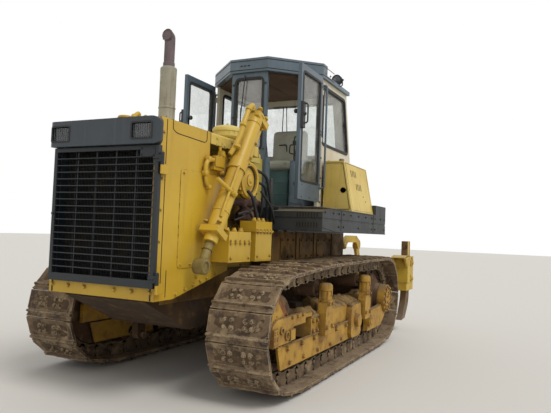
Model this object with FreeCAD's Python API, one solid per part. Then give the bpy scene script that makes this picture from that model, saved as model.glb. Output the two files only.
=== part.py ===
import FreeCAD
import Part
import math
import os

# Crawler tractor with a raised nose, an open-sided engine bay, a six-sided cab front,
# two lift cylinders that wait for a blade, and a three-shank ripper on parallel links.
# Millimetres. X runs forward, Y to the machine's left, Z up. The ground is at Z = 0.

# Track chains
TRACK_GAUGE = 2100.0
SHOE_WIDTH = 580.0
SHOE_COUNT = 42
SHOE_PLATE = 22.0
SHOE_SEAM = 8.0
SHOE_SEAM_DEPTH = 9.0
GROUSER_HEIGHT = 36.0
GROUSER_ROOT = 34.0
GROUSER_CREST = 16.0
LINK_ABOVE_PIN = 88.0
LINK_BELOW_PIN = 50.0
LINK_THICKNESS = 44.0
LINK_OFFSET = 96.0
GROUSER_SHARE = 0.13
GROUSER_SINK = 4.0
CUT_OVER = 1.0

# Wheels of the track
SPROCKET_X = -1350.0
WHEEL_BASE = 3226.0
SPROCKET_PIN_RADIUS = 434.0
IDLER_PIN_RADIUS = 400.0
WHEEL_LIFT = 30.0
SPROCKET_TEETH = 25
SPROCKET_WIDTH = 84.0
TOOTH_ROOT_DROP = 34.0
TOOTH_TIP_RISE = 14.0
IDLER_WIDTH = 226.0
IDLER_RIM = 70.0
IDLER_DISH = 70.0
ROLLER_COUNT = 6
ROLLER_PITCH = 432.0
FRONT_ROLLER_X = 1370.0
ROLLER_RADIUS = 110.0
ROLLER_SHAFT_BLOCK = 92.0
CARRIER_SHAFT_RADIUS = 45.0
CARRIER_TABLE = (
    # x, how far it lifts the chain over a straight run between the wheels
    (940.0, 38.0),
    (-420.0, 22.0),
)
CARRIER_RADIUS = 85.0
CARRIER_GAP = 4.0
CARRIER_WIDTH = 226.0
LINE_OVERHANG = 225.0
RUNNING_GAP = 0.3

# Track frames
FRAME_HALF_WIDTH = 170.0
FRAME_BOTTOM_Z = 440.0
FRAME_TOP_Z = 660.0
FRAME_REAR_X = -880.0
FRAME_FRONT_X = 1250.0
ROCK_GUARD = 22.0
ROCK_GUARD_REAR_X = -250.0
ROCK_GUARD_FRONT_X = 2000.0
ROCK_GUARD_SLANT = 75.0
ROCK_GUARD_BOTTOM_Z = 258.0
ROCK_GUARD_TOP_Z = 470.0
CHEEK_REAR_X = 860.0
CHEEK_TOP_Z = 640.0
IDLER_BLOCK = 36.0
IDLER_BLOCK_REAR_X = 1420.0
IDLER_BLOCK_STEP_X = 1700.0
IDLER_BLOCK_FRONT_X = 2140.0
IDLER_BLOCK_BOTTOM_Z = 486.0
IDLER_BLOCK_TOP_Z = 716.0
IDLER_BLOCK_ARM = 100.0
IDLER_BLOCK_BORES = (
    # x, z, radius
    (1850.0, 556.0, 26.0),
    (1960.0, 610.0, 20.0),
)
IDLER_BLOCK_RAIL = (0.2, 0.6)
IDLER_AXLE_RADIUS = 55.0
SNOUT_PLATE = 16.0
SNOUT_RISE = 215.0
SNOUT_SETBACK = 70.0
POST_WIDTH = 130.0
POST_FOOT_WIDTH = 210.0
POST_FOOT_TOP_Z = 770.0
POST_THICKNESS = 96.0
POST_TOP_RISE = 60.0
POST_CORNER = 30.0
POST_TAPER = 14.0
REAR_ARM_PLATE = 60.0
REAR_ARM_FRONT_X = -560.0
REAR_ARM_BOTTOM_Z = 262.0
REAR_ARM_TOP_Z = 500.0
REAR_ARM_RISE = 30.0
REAR_ARM_REAR = 165.0
REAR_ARM_DROP = 240.0
HUB_RING_RADIUS = 185.0
HUB_RING_PROUD = 34.0
SHAFT_CAP_RADIUS = 72.0
SHAFT_CAP_X = -625.0
SHAFT_CAP_Z = 385.0
SHAFT_CAP_PROUD = 26.0
TRUNNION_PAD = (-260.0, 110.0, 270.0, 650.0)
TRUNNION_PAD_PROUD = 40.0
TRUNNION_PAD_CORNER = 60.0
TRUNNION_PIN_X = -75.0
TRUNNION_PIN_Z = 460.0
TRUNNION_PIN_RADIUS = 75.0
TRUNNION_PIN_LENGTH = 46.0

# Final drives
DRIVE_CASE_RADIUS = 300.0
DRIVE_HUB_RADIUS = 200.0
DRIVE_BELL_RADIUS = 330.0
DRIVE_BELL_LENGTH = 70.0

# Hull
RAIL_INNER_Y = 330.0
RAIL_OUTER_Y = 430.0
RAIL_BOTTOM_Z = 820.0
RAIL_TOP_Z = 1080.0
RAIL_FRONT_X = 2600.0
CASE_FRONT_X = -640.0
CASE_REAR_X = -1500.0
CASE_HALF_WIDTH = 520.0
CASE_BOTTOM_Z = 500.0
CASE_TOP_Z = 1470.0
HOUSING_FRONT_X = 740.0
HOUSING_LIP_X = 870.0
HOUSING_LIP = 50.0
HOUSING_RIB_XS = (204.0, -354.0, -1006.0)
HOUSING_RIB = 60.0
HOUSING_RIB_PROUD = 12.0
CROSS_BEAM = 240.0
PIVOT_SHAFT_X = -560.0
PIVOT_SHAFT_Z = 550.0
PIVOT_SHAFT_RADIUS = 75.0
PIVOT_BLOCK = 240.0
PIVOT_BLOCK_BOTTOM_Z = 460.0
BAR_X = 1040.0
BAR_WIDTH = 180.0
BAR_HALF_LENGTH = 1020.0
BAR_END_HEIGHT = 90.0
BAR_SHOULDER_Y = 700.0
PAN_BOTTOM_Z = 560.0
PAN_PLATE = 20.0
PAN_REAR_X = -410.0
PAN_BEND_X = 2150.0
PAN_LIP = 60.0
HOOK_X = 1990.0
HOOK_Y = -260.0
HOOK_RADIUS = 55.0
HOOK_WIDTH = 70.0
HOOK_BOTTOM_Z = 375.0
HOOK_ROUND = 54.0
BAR_CLEARANCE = 25.0

# Engine, radiator and their covers
ENGINE_REAR_X = 760.0
ENGINE_FRONT_X = 2020.0
ENGINE_HALF_WIDTH = 300.0
ENGINE_TOP_Z = 2150.0
NOSE_REACH = 243.0
GUARD_FACE_X = RAIL_FRONT_X + NOSE_REACH
NOSE_HALF_WIDTH = 560.0
NOSE_WALL = 20.0
NOSE_BOTTOM_Z = 880.0
NOSE_TOP_Z = 2340.0
NOSE_REAR_X = RAIL_FRONT_X - 470.0
NOSE_EAR_REAR_X = 1770.0
NOSE_EAR_TOP_Z = 2070.0
NOSE_SKIRT_REAR_X = 1740.0
NOSE_SKIRT_TOP_Z = 1450.0
NOSE_SKIRT_CUT = 60.0
NOSE_SEAT = 5.0
NOSE_PANEL = 6.0
NOSE_PANEL_CORNER = 30.0
NOSE_PANEL_REAR_X = 1800.0
NOSE_PANEL_FRONT_SETBACK = 283.0
NOSE_PANEL_BOTTOM_Z = 1130.0
NOSE_PANEL_TOP_Z = 1955.0
NOSE_FRAME = 40.0
GRILLE_OPENING_HALF = 500.0
GRILLE_OPENING_BOTTOM_Z = 1010.0
GRILLE_OPENING_TOP_Z = 2100.0
BAND_BOTTOM_Z = 2112.0
BAND_TOP_Z = 2330.0
BAND_PROUD = 87.0
BAND_HALF_WIDTH = 578.0
BAND_CORNER = 70.0
BAND_FACE_CORNER = 42.0
LAMP_WIDTH = 200.0
LAMP_HEIGHT = 130.0
LAMP_Y = 430.0
LAMP_RECESS = 40.0
LAMP_DEPTH = 24.0
LAMP_SEAM = 4.0
GRILLE_PROUD = 44.0
GRILLE_RIGHT_Y = -530.0
GRILLE_LEFT_Y = 578.0
GRILLE_BOTTOM_Z = 985.0
GRILLE_TOP_Z = 2106.0
GRILLE_FRAME = 34.0
GRILLE_BOTTOM_RAIL = 62.0
GRILLE_BAR_COUNT = 17
GRILLE_BAR = 8.0
GRILLE_BAR_DEPTH = 30.0
GRILLE_DIVIDER_COUNT = 4
GRILLE_DIVIDER = 12.0
GRILLE_DIVIDER_START = 1.0
GRILLE_DIVIDER_DEPTH = 8.0
GRILLE_BAR_SETBACK = 12.0
HINGE_RADIUS = 14.0
HINGE_Y = 600.0
HINGE_LENGTH = 80.0
HINGE_FOOT = 60.0
HINGE_TONGUE = 14.0
HINGE_STRAP = 20.0
GRILLE_GAP = 1.0
HINGE_ZS = (1060.0, 2000.0)
RADIATOR_DEPTH = 150.0
RADIATOR_GAP = 10.0
HOOD_REAR_X = 665.0
HOOD_STEP_X = 1180.0
HOOD_NARROW_HALF = 310.0
COWL_HALF_WIDTH = 220.0
COWL_BOTTOM_Z = 2000.0
HOOD_SIDE_BOTTOM_Z = 2236.0
HOOD_PLATE = 16.0
HOOD_CROWN = 26.0
HOOD_CROWN_HALF = 260.0
HOOD_EDGE = 24.0

# Pieces on the hood
STACK_X = 2050.0
MUFFLER_RADIUS = 78.0
MUFFLER_TOP_Z = 3010.0
PIPE_RADIUS = 46.0
PIPE_TOP_Z = 3300.0
TIP_RADIUS = 50.0
TIP_LENGTH = 110.0
TIP_WALL = 8.0
DISC_X = 1080.0
DISC_Y = 100.0
DISC_RADIUS = 165.0
DISC_BOTTOM_Z = 2475.0
DISC_HEIGHT = 100.0
DISC_DOME = 34.0
DISC_DOME_RADIUS = 120.0
DISC_NECK_RADIUS = 70.0
CLEANER_X = 1435.0
CLEANER_Z = 1970.0
CLEANER_RADIUS = 180.0
CLEANER_INNER_Y = 300.0
CLEANER_OUTER_Y = 610.0
CLEANER_RIM = 34.0
CLEANER_DISH = 30.0
CLEANER_HUB_RADIUS = 60.0

# Side boxes over the tracks
BOX_TABLE = (
    # rear x, front x, bottom z, top z, stands on a shelf
    (1190.0, 1540.0, 1180.0, 1560.0, True),
    (1640.0, 2050.0, 1170.0, 1450.0, False),
)
BOX_INNER_Y = 566.0
BOX_OUTER_Y = 750.0
SHELF = 14.0
SHELF_SEAT = 60.0
BOX_FLANGE = 16.0
BOX_FLANGE_PROUD = 14.0
BOX_FLANGE_DROP = 90.0

# Lift cylinders
CYLINDER_Y = 700.0
TRUNNION_X = 1860.0
TRUNNION_Z = 2060.0
CYLINDER_TILT = 31.0
TUBE_RADIUS = 77.0
HEAD_LENGTH = 640.0
HEAD_BLOCK = 150.0
HEAD_BLOCK_HEIGHT = 70.0
GLAND_LENGTH = 760.0
GLAND_HALF = 92.0
GLAND_THICKNESS = 60.0
GLAND_BOSS_RADIUS = 64.0
GLAND_BOSS_LENGTH = 72.0
BORE_HEADROOM = 35.0
ROD_RADIUS = 40.0
ROD_EYE_LENGTH = 1062.0
EYE_RADIUS = 68.0
EYE_BORE = 32.0
EYE_WIDTH = 96.0
ROD_TOP_LENGTH = 440.0
TRUNNION_RADIUS = 38.0
TRUNNION_COLLAR = 89.0
TRUNNION_COLLAR_LENGTH = 120.0
FEED_RADIUS = 27.0
FEED_OFFSET = 128.0
FEED_START = 130.0
FEED_END = 580.0
YOKE_GAP = 6.0
YOKE_REAR = 85.0
YOKE_FRONT = 150.0
YOKE_BELOW = 95.0
YOKE_ABOVE = 105.0
YOKE_SHOULDER = 45.0
YOKE_NOTCH = 70.0
SHAFT_FIT = 0.05
ROUND_END = 0.99

# Fenders
FENDER_INNER_Y = 600.0
FENDER_WIDTH = 600.0
FENDER_FRONT_X = 930.0
FENDER_REAR_X = -1065.0
FENDER_BOTTOM_Z = 1485.0
FENDER_TOP_Z = 1735.0
FENDER_FRONT_DROP = 45.0
FENDER_SLOPE = 420.0
FENDER_WALL = 14.0
FENDER_GROOVE_Z = 1605.0
FENDER_GROOVE = 22.0
FENDER_GROOVE_DEPTH = 5.0
FENDER_SLOT_COUNT = 8
FENDER_SLOT = 11.0
FENDER_SLOT_PITCH = 32.0
FENDER_SLOT_Y = 910.0
FENDER_SLOT_HEIGHT = 50.0
FENDER_SLOT_ZS = (1528.0, 1632.0)
END_BOX_REAR_X = -1560.0
END_BOX_TOP_Z = 1870.0
END_BOX_GAP = 10.0

# Cab
CAB_FLOOR_Z = 1735.0
CAB_FLOOR_PLATE = 40.0
CAB_SILL_Z = 1840.0
CAB_FRONT_X = 440.0
CAB_FRONT_HALF = 245.0
CAB_POST_X = -30.0
CAB_HALF_WIDTH = 750.0
CAB_REAR_X = -1230.0
CAB_REAR_TOP_X = -990.0
CAB_BEND_Z = 2500.0
CAB_EAVE_Z = 3390.0
CAB_WALL = 40.0
PLAN_SLANT = 0.4
DOOR_FOOT = 50.0
WINDOW_CORNER = 60.0
ROOF_OVERHANG = 35.0
ROOF_REAR_THICKNESS = 50.0
ROOF_FRONT_THICKNESS = 170.0
ROOF_STEP_X = -150.0
FRONT_WINDOW_HALF = 190.0
FRONT_WINDOW_BOTTOM_Z = 2440.0
FRONT_WINDOW_TOP_Z = 3320.0
SIDE_WINDOW_FRONT_X = -130.0
SIDE_WINDOW_MARGIN = 70.0
SIDE_WINDOW_BOTTOM_Z = 2580.0
SIDE_WINDOW_TOP_Z = 3300.0
REAR_WINDOW_HALF = 560.0
GLASS = 8.0
DOOR_THICKNESS = 42.0
DOOR_TOP_GAP = 12.0
DOOR_HINGE_GAP = 20.0
DOOR_LENGTH = 655.0
DOOR_STILE = 62.0
DOOR_RAIL = 80.0
DOOR_KICK_Z = 2050.0
DOOR_HINGE_RADIUS = 12.0
DOOR_HINGE_LENGTH = 60.0
DOOR_HINGE_ZS = (2000.0, 2650.0, 3240.0)
DOOR_STANDOFF = 34.0
DOOR_STRAP = 12.0
DOOR_PANE_CORNER = 40.0
LAMP_RADIUS = 75.0
WORK_LAMP_X = -640.0
WORK_LAMP_LENGTH = 90.0
WORK_LAMP_FOOT = 40.0
WORK_LAMP_INSET = 40.0
WORK_LAMP_RISE = 90.0

# Inside the cab
SEAT_X = -560.0
SEAT_Y = 90.0
SEAT_WIDTH = 500.0
SEAT_DEPTH = 480.0
SEAT_BASE_TOP_Z = 2250.0
SEAT_BASE_INSET = 40.0
SEAT_CUSHION = 130.0
SEAT_BACK_TOP_Z = 2850.0
SEAT_BACK_CORNER = 110.0
SEAT_BACK_THICKNESS = 130.0
CONSOLE_INNER_Y = 385.0
CONSOLE_OUTER_Y = 585.0
CONSOLE_FRONT_X = 10.0
CONSOLE_REAR_X = -520.0
CONSOLE_TOP_Z = 2360.0

# Tanks beside the cab
TANK_FRONT_X = -140.0
TANK_REAR_GAP = 5.0
TANK_INNER_GAP = 36.0
TANK_BOTTOM_WIDTH = 380.0
TANK_TOP_WIDTH = 256.0
TANK_TOP_Z = 2365.0
TANK_EDGE = 30.0
TANK_DRAIN = (1044.0, 2003.0, 22.0)
TANK_DRAIN_DEPTH = 30.0
TANK_SLOT = 14.0
TANK_SLOT_DEPTH = 18.0
TANK_SLOT_TABLE = (
    # front x, bottom z, height, how many, pitch back along x
    (-340.0, 2190.0, 80.0, 4, 60.0),
    (-480.0, 2030.0, 80.0, 4, 60.0),
    (-710.0, 1950.0, 18.0, 1, 60.0),
    (-780.0, 1890.0, 18.0, 1, 60.0),
)

# Ripper
RIPPER_LINK_LENGTH = 740.0
RIPPER_PIN_X = -1660.0
RIPPER_LOWER_Z = 620.0
RIPPER_UPPER_Z = 1300.0
RIPPER_BACK_PLATE = 40.0
RIPPER_PLATE = 40.0
RIPPER_ARM_Y = 420.0
RIPPER_ARM_WIDTH = 90.0
RIPPER_EYE_HEIGHT = 57.0
RIPPER_SIDE_GAP = 5.0
RIPPER_END_RADIUS = 62.0
RIPPER_PIN_RADIUS = 30.0
RIPPER_UPPER_WIDTH = 50.0
RIPPER_TUBE_RADIUS = 52.0
RIPPER_TUBE_X = -2050.0
BEAM_FRONT_X = -2480.0
BEAM_DEPTH = 178.0
BEAM_BOTTOM_Z = 740.0
BEAM_TOP_Z = 1110.0
BEAM_HALF_LENGTH = 1335.0
SHANK_INSET = 105.0
SHANK_DEPTH = 210.0
SHANK_THICKNESS = 90.0
SHANK_BEND = 300.0
SHANK_KNEE = 120.0
SHANK_HEEL = 200.0
POINT_REACH = 250.0
POINT_NOSE = 80.0
POINT_RISE = 70.0
POINT_HEEL = 30.0
SHANK_TOP_Z = 1390.0
SHANK_TIP_Z = 170.0
SHANK_FIT = 2.0
POCKET_WALL = 45.0
POCKET_REAR_WALL = 60.0
POCKET_BOTTOM_Z = 620.0
POCKET_TOP_Z = 1150.0
RIPPER_CYLINDER_Y = 200.0
RIPPER_CYLINDER_TOP = (-1620.0, 1240.0)
RIPPER_CYLINDER_FOOT = (-2280.0, 640.0)
RIPPER_TUBE_OUTER = 62.0
RIPPER_TUBE_BORE = 48.0
RIPPER_ROD_RADIUS = 32.0
RIPPER_EYE_RADIUS = 50.0
RIPPER_EYE_WIDTH = 80.0
RIPPER_EAR = 24.0
RIPPER_EAR_RISE = 15.0
RIPPER_EAR_ROOT = 46.0
RIPPER_EAR_SPREAD = 240.0
RIPPER_EYE_GAP = 1.0
RIPPER_ARCH = 150.0
RIPPER_ARCH_RUN = 160.0
RIPPER_ARCH_UNDER = 45.0
RIPPER_ARCH_CORNER = 80.0
RIPPER_SMALL_PIN_RADIUS = 25.0
RIPPER_SMALL_EYE_RADIUS = 46.0
RIPPER_NECK_HALF = 34.0
RIPPER_NECK_LENGTH = 10.0
RIPPER_HEAD_START = 4.0
RIPPER_BORE_START = 40.0
RIPPER_GLAND = 50.0
RIPPER_ROD_TOP = 320.0
BEAM_EAR_REACH = 60.0
BEAM_EAR_ROOT = 120.0
BEAM_EAR_DROP = 40.0
BEAM_EAR_REAR = 150.0
BEAM_EAR_TIP = 20.0
SHANK_HOLE_RADIUS = 24.0
SHANK_HOLE_Z = 1330.0
RIPPER_TUBE_LENGTH = 570.0

# Places worked out from the sizes above
PIN_LINE_Z = LINK_ABOVE_PIN + SHOE_PLATE + GROUSER_HEIGHT
TRACK_Y = TRACK_GAUGE / 2
TRACK_INNER_Y = TRACK_Y - SHOE_WIDTH / 2
SPROCKET_Z = PIN_LINE_Z + SPROCKET_PIN_RADIUS + WHEEL_LIFT
IDLER_Z = PIN_LINE_Z + IDLER_PIN_RADIUS + WHEEL_LIFT
IDLER_X = SPROCKET_X + WHEEL_BASE
ROLLER_Z = PIN_LINE_Z + LINK_BELOW_PIN + ROLLER_RADIUS + RUNNING_GAP
REAR_ROLLER_X = FRONT_ROLLER_X - (ROLLER_COUNT - 1) * ROLLER_PITCH


def vector(x, y, z):
    return FreeCAD.Vector(x, y, z)


def box(x0, x1, y0, y1, z0, z1):
    return Part.makeBox(x1 - x0, y1 - y0, z1 - z0, vector(x0, y0, z0))


def place(axis, a, b, along):
    """Puts a flat point (a, b) into space on the plane that stands across an axis."""
    if axis == "x":
        return vector(along, a, b)
    if axis == "y":
        return vector(a, along, b)
    return vector(a, b, along)


def outline(points, axis, along):
    """A closed wire through (a, b) or (a, b, radius) points; a radius rounds its corner."""
    count = len(points)
    flat = [FreeCAD.Vector(p[0], p[1], 0) for p in points]
    radii = [p[2] if len(p) > 2 else 0.0 for p in points]
    starts = []
    ends = []
    middles = []
    for i in range(count):
        here = flat[i]
        back = flat[i - 1] - here
        ahead = flat[(i + 1) % count] - here
        if not radii[i]:
            starts.append(here)
            ends.append(here)
            middles.append(None)
            continue
        half = back.getAngle(ahead) / 2
        reach = radii[i] / math.tan(half)
        back.normalize()
        ahead.normalize()
        bisector = back + ahead
        bisector.normalize()
        centre = here + bisector * (radii[i] / math.sin(half))
        starts.append(here + back * reach)
        ends.append(here + ahead * reach)
        middles.append(centre - bisector * radii[i])
    edges = []
    for i in range(count):
        if middles[i] is not None:
            arc = [place(axis, p.x, p.y, along) for p in (starts[i], middles[i], ends[i])]
            edges.append(Part.Arc(*arc).toShape())
        a = ends[i]
        b = starts[(i + 1) % count]
        if a.distanceToPoint(b) > 1e-6:
            edges.append(Part.makeLine(place(axis, a.x, a.y, along), place(axis, b.x, b.y, along)))
    return Part.Wire(edges)


def prism(points, axis, low, high):
    """A solid of one outline, from low to high along the axis."""
    face = Part.Face(outline(points, axis, low))
    return face.extrude(place(axis, 0, 0, high - low))


def rod(axis, a, b, low, high, radius):
    """A round bar along an axis; (a, b) is its centre on the plane across that axis."""
    direction = place(axis, 0, 0, 1)
    return Part.makeCylinder(radius, high - low, place(axis, a, b, low), direction)


def pipe(axis, a, b, low, high, outer, inner):
    return rod(axis, a, b, low, high, outer).cut(rod(axis, a, b, low, high, inner))


def mirrored(shape):
    return shape.mirror(vector(0, 0, 0), vector(0, 1, 0))


def both_sides(shape):
    return Part.makeCompound([shape, mirrored(shape)])


def joined(shapes):
    """One solid of several that meet."""
    return shapes[0].multiFuse(shapes[1:]).removeSplitter()


def turned(shape, x, z, degrees):
    """Turns a shape about the line along Y through (x, z)."""
    copy = shape.copy()
    copy.rotate(vector(x, 0, z), vector(0, 1, 0), degrees)
    return copy


def save(name, shape):
    os.makedirs("parts", exist_ok=True)
    shape.exportStep("parts/" + name + ".step")


# Track chains

def carrier_z(x, lift):
    """Height of a carrier roller's centre under the chain that it lifts."""
    rear_top = SPROCKET_Z + SPROCKET_PIN_RADIUS
    front_top = IDLER_Z + IDLER_PIN_RADIUS
    line = rear_top + (front_top - rear_top) * (x - SPROCKET_X) / WHEEL_BASE
    return line + lift - LINK_BELOW_PIN - CARRIER_RADIUS - CARRIER_GAP


def tangent_path(circles):
    """Runs and arcs of a belt around circles, each (x, z, radius), listed against the clock."""
    count = len(circles)
    leave = []
    arrive = [None] * count
    for i in range(count):
        x0, z0, r0 = circles[i]
        x1, z1, r1 = circles[(i + 1) % count]
        span = math.hypot(x1 - x0, z1 - z0)
        heading = math.atan2(z1 - z0, x1 - x0)
        normal = heading - math.acos((r0 - r1) / span)
        leave.append(normal)
        arrive[(i + 1) % count] = normal
    pieces = []
    for i in range(count):
        x0, z0, r0 = circles[i]
        sweep = (leave[i] - arrive[i]) % (2 * math.pi)
        pieces.append(("arc", x0, z0, r0, arrive[i], sweep, r0 * sweep))
        x1, z1, r1 = circles[(i + 1) % count]
        ax = x0 + r0 * math.cos(leave[i])
        az = z0 + r0 * math.sin(leave[i])
        bx = x1 + r1 * math.cos(leave[i])
        bz = z1 + r1 * math.sin(leave[i])
        pieces.append(("run", ax, az, bx, bz, 0.0, math.hypot(bx - ax, bz - az)))
    return pieces


def point_on_path(pieces, distance):
    for kind, a, b, c, d, e, length in pieces:
        if distance > length:
            distance -= length
            continue
        if kind == "arc":
            angle = d + e * distance / length
            return a + c * math.cos(angle), b + c * math.sin(angle)
        share = distance / length
        return a + (c - a) * share, b + (d - b) * share
    return pieces[0][1], pieces[0][2]


def track_pins():
    """Centres of the chain's pins, one for each shoe, round the wheels."""
    roller_reach = ROLLER_RADIUS + LINK_BELOW_PIN + RUNNING_GAP
    carrier_reach = CARRIER_RADIUS + LINK_BELOW_PIN + CARRIER_GAP
    circles = [
        (SPROCKET_X, SPROCKET_Z, SPROCKET_PIN_RADIUS),
        (REAR_ROLLER_X - LINE_OVERHANG, ROLLER_Z, roller_reach),
        (FRONT_ROLLER_X + LINE_OVERHANG, ROLLER_Z, roller_reach),
        (IDLER_X, IDLER_Z, IDLER_PIN_RADIUS),
    ]
    circles += [(x, carrier_z(x, lift), carrier_reach) for x, lift in CARRIER_TABLE]
    pieces = tangent_path(circles)
    length = sum(piece[-1] for piece in pieces)
    return [point_on_path(pieces, length * i / SHOE_COUNT) for i in range(SHOE_COUNT)]


def offset_loop(pins, offset):
    """The loop whose sides run beside the pin lines, outward by an offset."""
    count = len(pins)
    corners = []
    for i in range(count):
        lines = []
        for j in (i - 1, i):
            ax, az = pins[j % count]
            bx, bz = pins[(j + 1) % count]
            length = math.hypot(bx - ax, bz - az)
            tx, tz = (bx - ax) / length, (bz - az) / length
            lines.append((tx, tz, tz, -tx))
        tx0, tz0, nx0, nz0 = lines[0]
        tx1, tz1, nx1, nz1 = lines[1]
        mx, mz = nx0 + nx1, nz0 + nz1
        scale = offset / (1 + nx0 * nx1 + nz0 * nz1)
        corners.append((pins[i][0] + mx * scale, pins[i][1] + mz * scale))
    return corners


def shoe_seam(root, rim):
    """The narrow slot between two shoes, from its root out past the belt's rim."""
    x0, z0 = root
    x1, z1 = rim
    length = math.hypot(x1 - x0, z1 - z0)
    sx = (z0 - z1) / length * SHOE_SEAM / 2
    sz = (x1 - x0) / length * SHOE_SEAM / 2
    corners = ((x0 + sx, z0 + sz), (x1 + sx, z1 + sz), (x1 - sx, z1 - sz), (x0 - sx, z0 - sz))
    return prism(corners, "y", TRACK_INNER_Y - CUT_OVER, TRACK_INNER_Y + SHOE_WIDTH + CUT_OVER)


def shoe_bar(start, end):
    """The worn ground bar on the shoe that lies between two pins."""
    ax, az = start
    bx, bz = end
    length = math.hypot(bx - ax, bz - az)
    tx, tz = (bx - ax) / length, (bz - az) / length
    middle = length * GROUSER_SHARE
    root = LINK_ABOVE_PIN + SHOE_PLATE - GROUSER_SINK
    crest = LINK_ABOVE_PIN + SHOE_PLATE + GROUSER_HEIGHT
    profile = (
        # along the link, away from the pins
        (middle - GROUSER_ROOT / 2, root),
        (middle + GROUSER_ROOT / 2, root),
        (middle + GROUSER_CREST / 2, crest),
        (middle - GROUSER_CREST / 2, crest),
    )
    points = [(ax + tx * t + tz * n, az + tz * t - tx * n) for t, n in profile]
    return prism(points, "y", TRACK_INNER_Y, TRACK_INNER_Y + SHOE_WIDTH)


def track():
    """The left track: a belt of shoes with their bars, on two strands of links."""
    pins = track_pins()
    rim = LINK_ABOVE_PIN + SHOE_PLATE
    link_outer = offset_loop(pins, LINK_ABOVE_PIN)
    link_inner = offset_loop(pins, -LINK_BELOW_PIN)
    shoe_end = TRACK_INNER_Y + SHOE_WIDTH
    belt = prism(offset_loop(pins, rim), "y", TRACK_INNER_Y, shoe_end)
    belt = belt.cut(prism(link_outer, "y", TRACK_INNER_Y, shoe_end))
    roots = offset_loop(pins, rim - SHOE_SEAM_DEPTH)
    tops = offset_loop(pins, rim + SHOE_SEAM_DEPTH)
    belt = belt.cut(Part.makeCompound([shoe_seam(root, top) for root, top in zip(roots, tops)]))
    solids = [belt]
    for side in (-1, 1):
        middle = TRACK_Y + side * LINK_OFFSET
        low = middle - LINK_THICKNESS / 2
        high = middle + LINK_THICKNESS / 2
        solids.append(prism(link_outer, "y", low, high).cut(prism(link_inner, "y", low, high)))
    for i in range(SHOE_COUNT):
        solids.append(shoe_bar(pins[i], pins[(i + 1) % SHOE_COUNT]))
    return joined(solids)


# Wheels

def rail_radius(pin_radius):
    """Radius that just clears the straight links wrapped round a wheel."""
    pins = track_pins()
    pitch = math.hypot(pins[1][0] - pins[0][0], pins[1][1] - pins[0][1])
    return math.sqrt(pin_radius ** 2 - (pitch / 2) ** 2) - LINK_BELOW_PIN - RUNNING_GAP


def sprocket():
    """A toothed wheel with one tooth space for each half link."""
    root = SPROCKET_PIN_RADIUS - TOOTH_ROOT_DROP
    tip = SPROCKET_PIN_RADIUS + TOOTH_TIP_RISE
    step = 2 * math.pi / SPROCKET_TEETH
    table = (
        # share of a tooth, radius
        (-0.30, root),
        (-0.13, tip),
        (0.13, tip),
        (0.30, root),
    )
    points = []
    for i in range(SPROCKET_TEETH):
        for share, radius in table:
            angle = (i + share) * step
            x = SPROCKET_X + radius * math.cos(angle)
            points.append((x, SPROCKET_Z + radius * math.sin(angle)))
    return prism(points, "y", TRACK_Y - SPROCKET_WIDTH / 2, TRACK_Y + SPROCKET_WIDTH / 2)


def idler():
    """A front wheel, dished on its outer side, on its axle."""
    tread = rail_radius(IDLER_PIN_RADIUS)
    half = IDLER_WIDTH / 2
    wheel = rod("y", IDLER_X, IDLER_Z, TRACK_Y - half, TRACK_Y + half, tread)
    dish = rod("y", IDLER_X, IDLER_Z, TRACK_Y + half - IDLER_DISH, TRACK_Y + half, tread - IDLER_RIM)
    reach = FRAME_HALF_WIDTH
    axle = rod("y", IDLER_X, IDLER_Z, TRACK_Y - reach, TRACK_Y + reach, IDLER_AXLE_RADIUS)
    return joined([wheel.cut(dish), axle])


def bottom_rollers():
    """Rollers under the frame, each held by square shaft blocks at its ends."""
    shapes = []
    half = IDLER_WIDTH / 2
    block = ROLLER_SHAFT_BLOCK / 2
    for i in range(ROLLER_COUNT):
        x = FRONT_ROLLER_X - i * ROLLER_PITCH
        wheel = rod("y", x, ROLLER_Z, TRACK_Y - half, TRACK_Y + half, ROLLER_RADIUS)
        ends = (TRACK_Y - FRAME_HALF_WIDTH, TRACK_Y + FRAME_HALF_WIDTH)
        shaft = box(x - block, x + block, ends[0], ends[1], ROLLER_Z - block, ROLLER_Z + block)
        shapes.append(joined([wheel, shaft]))
    return Part.makeCompound(shapes + [mirrored(shape) for shape in shapes])


def carrier_rollers():
    shapes = []
    half = CARRIER_WIDTH / 2
    for x, lift in CARRIER_TABLE:
        z = carrier_z(x, lift)
        wheel = rod("y", x, z, TRACK_Y - half, TRACK_Y + half, CARRIER_RADIUS)
        shaft = rod("y", x, z, TRACK_Y + half, TRACK_Y + FRAME_HALF_WIDTH, CARRIER_SHAFT_RADIUS)
        shapes.append(joined([wheel, shaft]))
    return Part.makeCompound(shapes + [mirrored(shape) for shape in shapes])


def idler_block(low, high):
    """The slide that holds the idler's axle, with a thinner arm to its rear."""
    arm_low = IDLER_BLOCK_TOP_Z - IDLER_BLOCK_ARM
    profile = (
        (IDLER_BLOCK_REAR_X, arm_low),
        (IDLER_BLOCK_STEP_X, arm_low),
        (IDLER_BLOCK_STEP_X + IDLER_BLOCK_ARM / 2, IDLER_BLOCK_BOTTOM_Z),
        (IDLER_BLOCK_FRONT_X, IDLER_BLOCK_BOTTOM_Z),
        (IDLER_BLOCK_FRONT_X, IDLER_BLOCK_TOP_Z - IDLER_BLOCK_ARM / 2),
        (IDLER_BLOCK_FRONT_X - IDLER_BLOCK_ARM, IDLER_BLOCK_TOP_Z),
        (IDLER_BLOCK_REAR_X, IDLER_BLOCK_TOP_Z),
    )
    return prism(profile, "y", low, high)


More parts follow.
